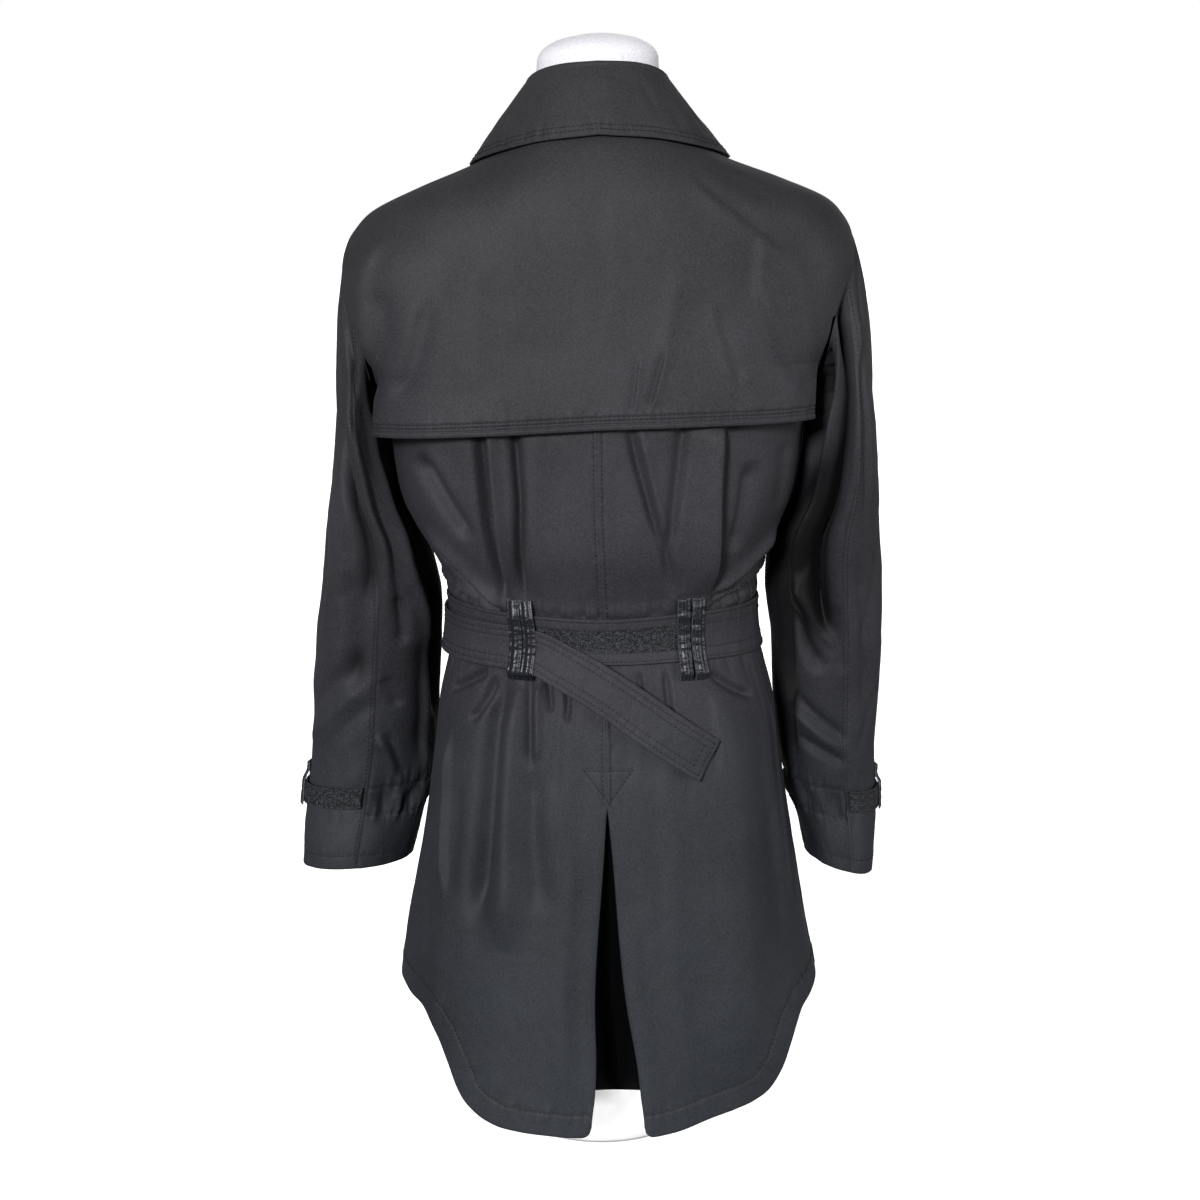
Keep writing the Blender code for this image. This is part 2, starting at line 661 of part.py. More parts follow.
def front_out(angle, z, side):
    """How far a front lies outside the body's surface: the right front laps over the left one."""
    if side == "left":
        return 0 * angle
    x, y = body_base(angle, z)[..., 0], body_base(angle, z)[..., 1]
    return LAP * ramp(-0.125, -0.100, x) * ramp(0.005, 0.045, -y)


def lap_out(angle, z):
    """How far the two fronts, where they lap, stand outside the body's surface."""
    x, y = body_base(angle, z)[..., 0], body_base(angle, z)[..., 1]
    return LAP * ramp(-0.131, -0.106, x) * (1 - ramp(0.080, 0.100, x)) * ramp(0.005, 0.045, -y)


def make_front(side):
    def past_middle(z):
        return -OVERLAP + (OVERLAP - NECK_OVERLAP) * float(ramp(0.800, 0.885, z))

    angle, z = panel_rows("front", side, 12, past_middle)
    angle = facing(angle, "front", side)
    out = front_out(angle, z, side)
    wall(f"front_{side}", body_point(angle, z, out), body_point(angle, z, out - CLOTH), "coat_cloth")


def make_pleat_underlay():
    """The cloth behind the pleat: under each panel's edge, then folded in and across."""
    rows = []
    for z in np.linspace(PLEAT_TOP - 0.012, PLEAT_HEM, 9):
        open_share = (PLEAT_TOP - z) / (PLEAT_TOP - HEM_MIDDLE)
        left = pleat_edge("left")(z)
        right = -pleat_edge("right")(z)
        middle = (left + right) / 2
        half = 0.002 + 0.010 * open_share  # of the inner fold's mouth
        lap = 0.006 + 0.026 * open_share  # under each panel
        under = float(read(BODY, "back", z)) - CLOTH - 0.0013
        deep = under - 0.004 - PLEAT_DEPTH * open_share
        edge = [(0.0015, 0.0006), (lap / 2, 0.0015 + 0.10 * lap * open_share)]
        edge.append((lap, 0.0045 + 0.30 * lap * open_share))
        left_part = [(left + aside, under - inward) for aside, inward in reversed(edge)]
        right_part = [(right - aside, under - inward) for aside, inward in edge]
        wall_depth = (under + 2 * deep) / 3
        fold = [(middle + half, wall_depth), (middle, deep), (middle - half, wall_depth)]
        rows.append([(x, y, z) for x, y in (*left_part, *fold, *right_part)])
    sheet = np.array(rows)
    normal = grid_normals(sheet) * CLOTH / 2
    wall("pleat_underlay", sheet + normal, sheet - normal, "coat_cloth")


def grid_normals(points):
    """Unit vectors square to a grid of points."""
    normal = np.cross(np.gradient(points, axis=1), np.gradient(points, axis=0))
    return normal / np.linalg.norm(normal, axis=-1, keepdims=True)


def make_storm_flap():
    share = np.linspace(0, 1, 12)

    def middle_angle(z):
        return 90.0

    angles, heights = upper_rows("back", share, TOP_STEPS, middle_angle, FLAP_SIDE)
    loose = 90.0 + (FLAP_SIDE - 90.0) * share
    angle = np.array([loose, loose, *angles])
    z = np.array([share * 0 + FLAP_EDGE, share * 0 + ARMHOLE_BOTTOM, *heights])
    # The edge keeps clear of the sleeve that starts at the same seam.
    angle[:, -1] = angle[:, -1] + 0.25
    angle = np.concatenate([angle[:, ::-1], 180 - angle[:, 1:]], axis=1)
    z = np.concatenate([z[:, ::-1], z[:, 1:]], axis=1)
    loose = 1 - ramp(FLAP_EDGE, LOOSE_TOP, z)
    out = CLOTH + 4 * GAP + 0.0025 * loose**2 + folds_relief(FLAP_FOLDS, angle, z)
    base = flap_base(angle, z)
    normal = normals_of(flap_base, angle, z)
    wall(
        "storm_flap",
        base + normal * out[..., None],
        base + normal * (out - CLOTH)[..., None],
        "coat_cloth",
    )


def make_collar():
    back_half = (-84, -76, -66, -54, -40, -26, -12, 2, 16, 32, 50, 70)
    stations = [*back_half, 90, *[180 - angle for angle in reversed(back_half)]]
    rows = []
    for angle in stations:
        from_side = angle if angle <= 90 else 180 - angle
        neck = NECK_BACK if from_side >= 0 else NECK_FRONT
        neck_z = float(read(neck, "z", abs(from_side)))
        edge_z, roll_z, bow = [float(read(COLLAR, name, from_side)) for name in COLLAR[0][1:]]
        lift = COLLAR_LIFT + float(lap_out(angle, edge_z))
        edge = plain_point(angle, edge_z, lift + CLOTH / 2)
        outward = np.array([math.cos(math.radians(angle)), math.sin(math.radians(angle)), 0.0])
        up = np.array([0.0, 0.0, 1.0])
        roll = section(
            np.float64(angle), roll_z, ROLL_HALF_WIDTH, ROLL_BACK, ROLL_FRONT, 2.1, 2.1
        )
        top_of_fall = roll - up * ROLL_RADIUS + outward * ROLL_RADIUS
        control = (edge + top_of_fall) / 2 + (outward * 0.8 + up * 0.6) * bow
        seam = plain_point(angle, neck_z, -CLOTH / 2)
        seam = seam + up * (CLOTH * 0.5 + 2 * GAP + float(lap_out(angle, neck_z)))
        row = []
        for share in (0.0, 0.25, 0.5, 0.75):
            row.append((1 - share) ** 2 * edge + 2 * share * (1 - share) * control + share**2 * top_of_fall)
        for turn in (0, 60, 120, 180):
            around = math.radians(turn)
            centre = roll - up * ROLL_RADIUS
            row.append(centre + ROLL_RADIUS * (math.cos(around) * outward + math.sin(around) * up))
        row.append((row[-1] + seam) / 2)
        row.append(seam)
        rows.append(row)
    sheet = np.array(rows)
    normal = grid_normals(sheet)
    wall("collar", sheet + normal * CLOTH / 2, sheet - normal * CLOTH / 2, "coat_cloth")


def sleeve_ring(table, angle, z):
    """Points round a sleeve at one level: 0 degrees is its outer edge and 90 its back."""
    inner, outer, centre_y, half_depth = [float(read(table, name, z)) for name in table[0][1:]]
    turn = np.radians(angle)
    power = 2 / 2.2
    x = (inner + outer) / 2 + (outer - inner) / 2 * np.sign(np.cos(turn)) * np.abs(np.cos(turn)) ** power
    y = centre_y + half_depth * np.sign(np.sin(turn)) * np.abs(np.sin(turn)) ** power
    return np.stack([x, y, z + 0 * x], axis=-1)


def armhole_point(angle):
    """Points of the armhole seam: 0 degrees is the shoulder tip and 180 under the arm."""
    share = (1 + np.cos(np.radians(angle))) / 2
    z = ARMHOLE_BOTTOM + (SHOULDER_TIP - ARMHOLE_BOTTOM) * share
    behind = np.sin(np.radians(angle)) >= 0
    seam = np.where(behind, read(ARMHOLE, "back", z), -read(ARMHOLE, "front", z))
    return body_base(seam, z) + np.array([ARMHOLE_GAP, 0, 0])


def sleeve_surface(side, angle):
    """The grid of a sleeve's outer face for angles round it, from the armhole to the cuff."""
    table = LEFT_SLEEVE if side == "left" else RIGHT_SLEEVE
    folds = LEFT_SLEEVE_FOLDS if side == "left" else RIGHT_SLEEVE_FOLDS
    start = armhole_point(angle)
    first = sleeve_ring(table, angle, 0.688)
    control = first.copy()
    control[:, 1] = (start[:, 1] + first[:, 1]) / 2
    control[:, 2] = 0.65 * start[:, 2] + 0.35 * first[:, 2]
    rows = []
    for share in (0.0, 0.2, 0.45, 0.72, 1.0):
        rows.append((1 - share) ** 2 * start + 2 * share * (1 - share) * control + share**2 * first)
    for level in (*SLEEVE_LEVELS, *CASING_LEVELS):
        ring = sleeve_ring(table, angle, level)
        slant = CUFF_SLANT[side] * (1 - ramp(CUFF_Z, 0.420, level))
        ring[:, 2] = ring[:, 2] + slant * np.cos(np.radians(angle))
        rows.append(ring)
    grid = np.array(rows)
    mean_radius = 0.055
    across = np.radians(np.asarray(angle) % 360) * mean_radius + 0 * grid[..., 2]
    relief = 0 * across
    for a0, z0, a1, z1, width, depth in folds[1]:
        start_place = (math.radians(a0) * mean_radius, z0)
        end_place = (math.radians(a1) * mean_radius, z1)
        relief = relief + line_relief(across, grid[..., 2], start_place, end_place, width, depth)
    return grid, relief


def make_sleeve(side):
    """A two-piece sleeve: the top piece outside and the under piece inside the arm."""
    seam_back, seam_front = BACK_SEAM[side], FRONT_SEAM[side]
    ways = {
        "top": np.linspace(seam_front - 360, seam_back, 13),
        "under": np.linspace(seam_back, seam_front, 2 * CASING_GATHERS + 1),
    }
    seam = np.degrees(0.5 * SEAM / SLEEVE_THIN)
    for part, angle in ways.items():
        angle = angle.copy()
        angle[0] = angle[0] + seam
        angle[-1] = angle[-1] - seam
        grid, relief = sleeve_surface(side, angle)
        normal = sleeve_normals(side, angle)
        near_casing = np.exp(-(((grid[..., 2] - CASING_Z) / CASING_HALF) ** 2))
        if part == "under":
            wave = np.cos(np.arange(len(angle)) * math.pi)
            relief = relief + (CASING_WAVE * wave - 0.0005) * near_casing
        outer = grid + normal * relief[..., None]
        inner = grid + normal * (relief - CLOTH)[..., None]
        if side == "right":
            outer = outer * np.array([-1, 1, 1])
            inner = inner * np.array([-1, 1, 1])
        wall(f"sleeve_{side}_{part}", outer, inner, "coat_cloth")


def sleeve_normals(side, angle):
    """Outward unit vectors of a sleeve's plain surface at these angles."""
    turn = 2.0
    before, _ = sleeve_surface(side, angle - turn)
    after, _ = sleeve_surface(side, angle + turn)
    grid, _ = sleeve_surface(side, angle)
    up = np.gradient(grid, axis=0)
    normal = np.cross(after - before, -up)
    return normal / np.linalg.norm(normal, axis=-1, keepdims=True)


def sleeve_band(side, angles, levels, out_inner, out_outer):
    """Outer and inner grids of a band round a sleeve, between two distances from its surface."""
    table = LEFT_SLEEVE if side == "left" else RIGHT_SLEEVE
    outer, inner = [], []
    for level, near, far in zip(levels, out_inner, out_outer):
        ring = sleeve_ring(table, angles, level)
        slant = CUFF_SLANT[side] * (1 - float(ramp(CUFF_Z, 0.420, level)))
        ring[:, 2] = ring[:, 2] + slant * np.cos(np.radians(angles))
        ahead = sleeve_ring(table, angles + 2, level) - sleeve_ring(table, angles - 2, level)
        normal = np.stack([ahead[:, 1], -ahead[:, 0], 0 * ahead[:, 0]], axis=-1)
        normal = normal / np.linalg.norm(normal, axis=-1, keepdims=True)
        outer.append(ring + normal * far)
        inner.append(ring + normal * near)
    flip = np.array([-1 if side == "right" else 1, 1, 1])
    return np.array(outer) * flip, np.array(inner) * flip


def make_cuff_strap(side):
    angles = np.linspace(-100, BACK_SEAM[side] - 4, 13)
    near, far = CUFF_STRAP_OUT, CUFF_STRAP_OUT + STRAP
    outer, inner = sleeve_band(side, angles, CUFF_STRAP_Z, (near, near), (far, far))
    wall(f"cuff_strap_{side}", outer, inner, "strap_tape")


def make_cuff_loop(side):
    table = LEFT_SLEEVE if side == "left" else RIGHT_SLEEVE
    half = math.degrees(0.5 * CUFF_LOOP_WIDTH / float(read(table, "half_depth", CASING_Z)))
    angles = np.linspace(4 - half, 4 + half, 3)
    low, high = CUFF_LOOP_Z
    over = CUFF_STRAP_OUT + STRAP + 2 * GAP
    levels = (low, CUFF_STRAP_Z[0] - 0.0012, CUFF_STRAP_Z[1] + 0.0012, high - 0.006, high)
    near = (over * 0.8, over, over, over * 0.7, CUFF_STRAP_OUT)
    far = tuple(place + LEATHER for place in near)
    outer, inner = sleeve_band(side, angles, levels, near, far)
    wall(f"cuff_loop_{side}", outer, inner, "loop_leather")


def belt_strip(angles, middle, width, near, thick):
    """Outer and inner grids of an upright strip round the waist."""
    outer, inner = [], []
    for share in (-0.5, 0.0, 0.5):
        z = middle + share * width
        outer.append(plain_point(angles, z, near + thick))
        inner.append(plain_point(angles, z, near))
    return np.array(outer), np.array(inner)


def make_belt_band():
    angles = np.linspace(-180, 180, 49)[:-1]
    middle, width = read(BELT, "z", angles), read(BELT, "width", angles)
    near = BELT_OUT + lap_out(angles, middle)
    outer, inner = belt_strip(angles, middle, width, near, STRAP)
    wall("belt_band", outer, inner, "strap_tape", ring=True)


def tail_stations():
    """Angle, height and distance out for the middle of the belt's free end, at even steps."""
    rows = [(angle_at(x, z, face), z, lift) for face, x, z, lift in TAIL[1]]
    table = (("angle", "z", "lift"), rows)
    angle = np.linspace(rows[0][0], rows[-1][0], 34)
    return [angle, read(table, "z", angle), read(table, "lift", angle)]


def make_belt_tail():
    angle, z, lift = tail_stations()
    near = BELT_OUT + STRAP + TAIL_CLEAR + lift + lap_out(angle, z)
    middle = plain_point(angle, z, near)
    along = np.gradient(middle, axis=0)
    along = along / np.linalg.norm(along, axis=-1, keepdims=True)
    normal = normals_of(body_base, angle, z)
    across = np.cross(normal, along)
    across = across / np.linalg.norm(across, axis=-1, keepdims=True)
    outer, inner = [], []
    for share in (0.5, 0.17, -0.17, -0.5):
        place = middle + across * share * TAIL_WIDTH
        turned = np.degrees(np.arctan2(place[:, 1], place[:, 0]))
        level = place[:, 2]
        outer.append(plain_point(turned, level, near + STRAP))
        inner.append(plain_point(turned, level, near))
    wall("belt_tail", np.array(outer), np.array(inner), "coat_cloth")


def make_belt_loop(number, x):
    low, high = LOOP_Z
    over = BELT_OUT + STRAP + 2 * GAP
    if x > 0:
        over = over + STRAP + TAIL_CLEAR
    levels = (low, low + 0.0030, low + 0.0052, 0.484, high - 0.0140, high - 0.0065, high)
    near = (2 * GAP, over * 0.8, over, over, over, over * 0.65, 2 * GAP)
    outer, inner = [], []
    for level, place in zip(levels, near):
        middle = angle_at(x, 0.484, "back")
        half = math.degrees(0.5 * LOOP_WIDTH / 0.105)
        angles = np.array([middle - half, middle + half])
        outer.append(plain_point(angles, np.full(2, level), place + LEATHER))
        inner.append(plain_point(angles, np.full(2, level), place))
    wall(f"belt_loop_{number}", np.array(outer), np.array(inner), "loop_leather")


def placed_on_front(x, z, out):
    """A point over the front and two unit vectors across it, with the outward one."""
    angle = angle_at(x, z, "front")
    point = plain_point(np.float64(angle), np.float64(z), out)
    normal = normals_of(body_base, np.float64(angle), np.float64(z))
    across = np.cross(np.array([0.0, 0.0, 1.0]), normal)
    across = across / np.linalg.norm(across)
    return point, across, np.cross(normal, across), normal


def make_belt_buckle():
    """A plain slide: a flat frame whose window shows the belt."""
    out = BELT_OUT + STRAP + TAIL_CLEAR + STRAP + TAIL_CLEAR + 2 * GAP + LAP
    centre, across, up, normal = placed_on_front(BUCKLE_X, 0.4825, out)
    outline = []
    for half_width, half_height in (
        (BUCKLE_WIDTH / 2, BUCKLE_HEIGHT / 2),
        (BUCKLE_WIDTH / 2 - BUCKLE_BAR, BUCKLE_HEIGHT / 2 - BUCKLE_BAR),
    ):
        corner = 0.004
        ring = []
        for sx, sy in ((1, 1), (-1, 1), (-1, -1), (1, -1)):
            first = (sx * half_width, sy * (half_height - corner))
            second = (sx * (half_width - corner), sy * half_height)
            ring += [first, second] if sx * sy > 0 else [second, first]
        outline.append(ring)
    outer_ring, inner_ring = [np.array(ring) for ring in outline]
    count = len(outer_ring)
    points = []
    for ring, depth in ((outer_ring, 0), (outer_ring, 1), (inner_ring, 1), (inner_ring, 0)):
        points += [centre + a * across + b * up + depth * BUCKLE_THICK * normal for a, b in ring]
    faces = []
    for layer in range(4):
        for k in range(count):
            low, high = layer * count, (layer + 1) % 4 * count
            following = (k + 1) % count
            faces.append([low + k, low + following, high + following, high + k])
    solid("belt_buckle", posed(np.array(points)), faces, "button_plastic")


def make_button(number, x, z):
    """A turned button with a raised rim."""
    centre, across, up, normal = placed_on_front(x, z, LAP + GAP)
    profile = ((0.80, 0.0), (1.0, 0.35), (1.0, 0.75), (0.86, 1.0), (0.62, 0.72))
    sides = 14
    points = [centre]
    for radius, depth in profile:
        for k in range(sides):
            turn = 2 * math.pi * k / sides
            spoke = math.cos(turn) * across + math.sin(turn) * up
            points.append(centre + radius * BUTTON_RADIUS * spoke + depth * BUTTON_THICK * normal)
    points.append(centre + profile[-1][1] * BUTTON_THICK * normal)
    faces = []
    for k in range(sides):
        following = (k + 1) % sides
        faces.append([0, 1 + k, 1 + following])
        last = 1 + (len(profile) - 1) * sides
        faces.append([last + k, last + following, len(points) - 1])
        for ring in range(len(profile) - 1):
            low, high = 1 + ring * sides, 1 + (ring + 1) * sides
            faces.append([low + k, low + following, high + following, high + k])
    solid(f"button_{number}", posed(np.array(points)), faces, "button_plastic")


def make_form_torso():
    """The covered torso and neck of the dress form, one closed smooth body."""
    angle = np.linspace(0, 360, 33)[:-1]
    rings = []
    for z in (0.330, 0.336, 0.370, 0.430, 0.480, 0.530, 0.590, 0.650, 0.710, 0.770, 0.815, 0.842):
        rings.append(form_ring(angle, z))
    for z in (0.858, 0.872, 0.885, 0.897, 0.909, 0.920):
        rings.append(form_ring(angle, z))
    for z in (0.930, 0.944, 0.965, 0.985, 0.996, 1.004, 1.010, 1.013):
        rings.append(section(angle, z, *[read(FORM_NECK, name, z) for name in FORM_NECK[0][1:]], 2.1, 2.1))
    rings[0] = rings[0] * np.array([0.96, 0.96, 1])
    count = len(angle)
    points = np.concatenate([np.array(rings).reshape(-1, 3), [(0, 0, 0.330), (0, 0, 1.014)]])
    faces = []
    for ring in range(len(rings) - 1):
        for k in range(count):
            low, high, following = ring * count, (ring + 1) * count, (k + 1) % count
            faces.append([low + k, low + following, high + following, high + k])
    last = (len(rings) - 1) * count
    for k in range(count):
        following = (k + 1) % count
        faces.append([following, k, len(points) - 2])
        faces.append([last + k, last + following, len(points) - 1])
    solid("form_torso", posed(points), faces, "form_cover")


def form_ring(angle, z):
    """The form at one level: its own table below, and under the coat's shoulders above."""
    own = section(angle, z, *[read(FORM, name, z) for name in FORM[0][1:]], 2.3, 2.2)
    under_coat = plain_point(angle, np.full(len(angle), z), -CLOTH - FORM_CLEAR)
    behind = ramp(-0.75, -0.35, np.sin(np.radians(angle)))
    share = (float(ramp(0.858, 0.885, z)) * behind)[:, None]
    return own * (1 - share) + under_coat * share


def make_form_stand():
    """The weighted round base and its pole, turned in one piece."""
    sides = 32
    profile = (
        (0.97 * BASE_RADIUS, 0.0),
        (BASE_RADIUS, 0.0015),
        (BASE_RADIUS, BASE_THICK - 0.003),
        (0.975 * BASE_RADIUS, BASE_THICK),
        (POLE_FOOT, BASE_THICK + 0.002),
        (POLE_RADIUS + 0.003, BASE_THICK + 0.010),
        (POLE_RADIUS, BASE_THICK + 0.022),
        (POLE_RADIUS, 0.330 - GAP),
    )
    points = [(0.0, 0.0, 0.0)]
    for radius, z in profile:
        for k in range(sides):
            turn = 2 * math.pi * k / sides
            points.append((radius * math.cos(turn), radius * math.sin(turn), z))
    points.append((0.0, 0.0, profile[-1][1]))
    faces = []
    last = 1 + (len(profile) - 1) * sides
    for k in range(sides):
        following = (k + 1) % sides
        faces.append([0, 1 + k, 1 + following])
        faces.append([last + k, last + following, len(points) - 1])
        for ring in range(len(profile) - 1):
            low, high = 1 + ring * sides, 1 + (ring + 1) * sides
            faces.append([low + k, low + following, high + following, high + k])
    solid("form_stand", points, faces, "stand_paint")


def main():
    for item in list(bpy.data.objects):
        bpy.data.objects.remove(item, do_unlink=True)
    make_form_stand()
    make_form_torso()
    for side in ("left", "right"):
        make_back(side)
        make_front(side)
        make_sleeve(side)
        make_cuff_strap(side)
        make_cuff_loop(side)
    make_pleat_underlay()
    make_storm_flap()
    make_collar()
    make_belt_band()
    make_belt_tail()
    for number, x in enumerate(LOOP_X, 1):
        make_belt_loop(number, x)
    make_belt_buckle()
    places = [(sign * BUTTON_X, z) for z in BUTTON_Z for sign in (1, -1)]
    for number, (x, z) in enumerate(places, 1):
        make_button(number, x, z)


main()
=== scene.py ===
import math

import bpy
import numpy as np
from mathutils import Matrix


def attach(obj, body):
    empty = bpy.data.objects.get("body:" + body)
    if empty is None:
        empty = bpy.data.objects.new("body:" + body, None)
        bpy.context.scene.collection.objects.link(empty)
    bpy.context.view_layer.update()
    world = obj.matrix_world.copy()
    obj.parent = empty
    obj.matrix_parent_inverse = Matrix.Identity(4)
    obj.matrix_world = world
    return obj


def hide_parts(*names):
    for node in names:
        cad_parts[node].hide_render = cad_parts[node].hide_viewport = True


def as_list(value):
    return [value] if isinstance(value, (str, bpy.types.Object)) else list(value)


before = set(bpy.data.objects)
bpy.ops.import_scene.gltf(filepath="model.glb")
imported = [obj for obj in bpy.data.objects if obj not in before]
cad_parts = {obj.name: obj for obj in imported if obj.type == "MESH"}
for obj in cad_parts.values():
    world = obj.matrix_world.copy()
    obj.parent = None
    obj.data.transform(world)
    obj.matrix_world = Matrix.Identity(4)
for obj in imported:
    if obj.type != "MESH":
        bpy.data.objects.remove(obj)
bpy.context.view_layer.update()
print("frame: loaded")

# The wearer faces -Y and their left is +X. Angles go round the body in degrees: 0 is the wearer's
# left side, 90 the back, 180 the right side and -90 the front.
coat = {
    "cloth": 0.002,
    "strap": 0.0024,
    "leather": 0.0015,
    "gap": 0.0003,
    "seam": 0.0004,  # between the cut edges of two panels
    "armholeGap": 0.0025,
    "armholeBottom": 0.700,
    "shoulderTip": 0.846,
    "neckSide": 0.930,
    "skirtTop": 0.360,
    "flapEdge": 0.667,
    "looseTop": 0.760,  # below it the storm flap hangs free of the armhole seam
    "pleatTop": 0.334,
    "pleatHem": 0.062,
    "hemMiddle": 0.0335,
    "lap": 0.0039,  # how far the right front lies outside the left one's face
    "beltOut": 0.0011,
    "meanRadius": 0.15,
    "neckShare": 0.40,
}

bodyRows = (
    ("z", "halfWidth", "back", "front", "backSquare", "frontSquare"),
    (
        (0.020, 0.2120, 0.150, 0.148, 2.3, 2.2),
        (0.100, 0.2040, 0.143, 0.141, 2.3, 2.2),
        (0.150, 0.1960, 0.139, 0.137, 2.3, 2.2),
        (0.210, 0.1860, 0.134, 0.132, 2.3, 2.2),
        (0.300, 0.1700, 0.127, 0.126, 2.3, 2.2),
        (0.360, 0.1615, 0.121, 0.121, 2.3, 2.2),
        (0.420, 0.1540, 0.113, 0.113, 2.3, 2.2),
        (0.450, 0.1465, 0.105, 0.106, 2.3, 2.2),
        (0.480, 0.1405, 0.100, 0.101, 2.3, 2.2),
        (0.508, 0.1405, 0.103, 0.103, 2.3, 2.2),
        (0.530, 0.1440, 0.110, 0.110, 2.3, 2.2),
        (0.556, 0.1555, 0.119, 0.119, 2.4, 2.2),
        (0.580, 0.1685, 0.122, 0.123, 2.5, 2.2),
        (0.605, 0.1790, 0.123, 0.128, 2.6, 2.2),
        (0.635, 0.1850, 0.124, 0.134, 2.7, 2.2),
        (0.667, 0.1885, 0.125, 0.138, 2.8, 2.3),
        (0.700, 0.1965, 0.124, 0.137, 3.0, 2.4),
        (0.720, 0.2070, 0.123, 0.134, 3.1, 2.5),
        (0.750, 0.2215, 0.120, 0.128, 3.1, 2.6),
        (0.780, 0.2275, 0.117, 0.120, 3.1, 2.6),
        (0.820, 0.2280, 0.113, 0.109, 2.9, 2.6),
        (0.846, 0.2165, 0.109, 0.101, 2.6, 2.5),
        (0.860, 0.2030, 0.106, 0.096, 2.5, 2.4),
        (0.880, 0.1600, 0.101, 0.088, 2.4, 2.3),
        (0.900, 0.1090, 0.094, 0.079, 2.3, 2.2),
        (0.916, 0.0815, 0.086, 0.073, 2.2, 2.2),
        (0.930, 0.0650, 0.074, 0.066, 2.2, 2.2),
        (0.940, 0.0620, 0.066, 0.062, 2.2, 2.2),
    ),
)
armholeRows = (
    ("z", "back", "front"),
    (
        (0.700, 0.0, 0.0),
        (0.706, 10.0, 11.0),
        (0.716, 15.5, 18.0),
        (0.732, 18.7, 23.0),
        (0.755, 19.5, 24.5),
        (0.782, 17.0, 21.0),
        (0.802, 13.5, 16.5),
        (0.822, 9.5, 11.0),
        (0.837, 5.0, 6.0),
        (0.846, 0.0, 0.0),
    ),
)
hemRows = (
    ("angle", "left", "right"),
    (
        (0.0, 0.148, 0.148),
        (10.0, 0.144, 0.144),
        (18.0, 0.138, 0.138),
        (25.0, 0.131, 0.129),
        (31.0, 0.110, 0.106),
        (34.5, 0.090, 0.086),
        (39.0, 0.0635, 0.0690),
        (44.0, 0.0490, 0.0605),
        (50.0, 0.0405, 0.0550),
        (59.0, 0.0360, 0.0480),
        (69.0, 0.0340, 0.0380),
        (90.0, 0.0335, 0.0335),
        (130.0, 0.0335, 0.0335),
    ),
)
neckBackRows = (("angle", "z"), ((0.0, 0.930), (45.0, 0.932), (90.0, 0.935)))
neckFrontRows = (
    ("angle", "z"),
    ((0.0, 0.930), (20.0, 0.926), (45.0, 0.912), (70.0, 0.894), (90.0, 0.885), (130.0, 0.885)),
)
stanceRows = (
    ("z", "shift", "tilt"),
    (
        (0.000, -0.0110, 0.000),
        (0.100, -0.0110, 0.000),
        (0.150, -0.0065, 0.000),
        (0.300, -0.0050, 0.000),
        (0.480, -0.0020, 0.000),
        (0.600, 0.0030, 0.020),
        (0.680, 0.0040, 0.036),
        (0.800, 0.0040, 0.033),
        (0.900, 0.0020, 0.028),
        (0.950, 0.0040, 0.026),
        (1.030, 0.0030, 0.026),
    ),
)
beltRows = (
    ("angle", "z", "width"),
    (
        (-180.0, 0.4855, 0.046),
        (-90.0, 0.4860, 0.044),
        (0.0, 0.4915, 0.043),
        (50.0, 0.4850, 0.041),
        (90.0, 0.4815, 0.041),
        (130.0, 0.4845, 0.043),
        (180.0, 0.4855, 0.046),
    ),
)
# Folds of the body: from a start to an end, half width, depth (less than nothing for a trough),
# how much wider one side is than the other, and how far the middle bends aside.
bodyFolds = (
    ("back", 0.0532, 0.690, 0.0545, 0.520, 0.0100, 0.0020, 0.00, 0.000),
    ("back", 0.150, 0.665, 0.108, 0.575, 0.0075, 0.0026, 0.00, 0.003),
    ("back", 0.033, 0.655, 0.024, 0.530, 0.0100, -0.0014, 0.20, 0.000),
    ("back", -0.0960, 0.455, -0.1220, 0.060, 0.0420, 0.0100, 0.00, 0.000),
    ("back", -0.0990, 0.690, -0.0850, 0.515, 0.0170, 0.0042, -0.30, 0.000),
    ("back", -0.166, 0.655, -0.158, 0.590, 0.0080, -0.0025, 0.20, 0.000),
    ("back", 0.135, 0.360, 0.146, 0.230, 0.0140, -0.0040, 0.30, 0.003),
    ("back", 0.040, 0.440, 0.047, 0.340, 0.0080, -0.0018, 0.20, 0.000),
    ("back", 0.030, 0.310, 0.052, 0.050, 0.0150, 0.0026, 0.30, 0.002),
    ("back", 0.168, 0.285, 0.160, 0.180, 0.0075, -0.0022, 0.20, 0.000),
    ("back", -0.0875, 0.440, -0.0930, 0.360, 0.0060, -0.0022, 0.30, 0.000),
    ("back", -0.146, 0.330, -0.156, 0.200, 0.0140, -0.0030, 0.20, 0.000),
    ("back", -0.036, 0.285, -0.062, 0.050, 0.0140, 0.0022, -0.30, 0.000),
    ("front", 0.112, 0.640, 0.094, 0.515, 0.010, -0.008, 0.30, 0.000),
    ("front", 0.140, 0.600, 0.118, 0.520, 0.010, -0.005, -0.30, 0.000),
    ("front", 0.070, 0.600, 0.062, 0.515, 0.007, -0.004, 0.30, 0.000),
    ("front", -0.106, 0.645, -0.094, 0.515, 0.010, -0.008, -0.30, 0.000),
    ("front", -0.138, 0.600, -0.120, 0.520, 0.010, -0.005, 0.30, 0.000),
    ("front", 0.108, 0.425, 0.128, 0.200, 0.014, -0.005, 0.40, 0.003),
    ("front", 0.060, 0.425, 0.068, 0.300, 0.009, -0.002, 0.00, 0.000),
    ("front", -0.100, 0.425, -0.118, 0.200, 0.015, 0.005, -0.40, 0.000),
    ("front", -0.138, 0.400, -0.150, 0.230, 0.014, -0.004, 0.00, 0.000),
)
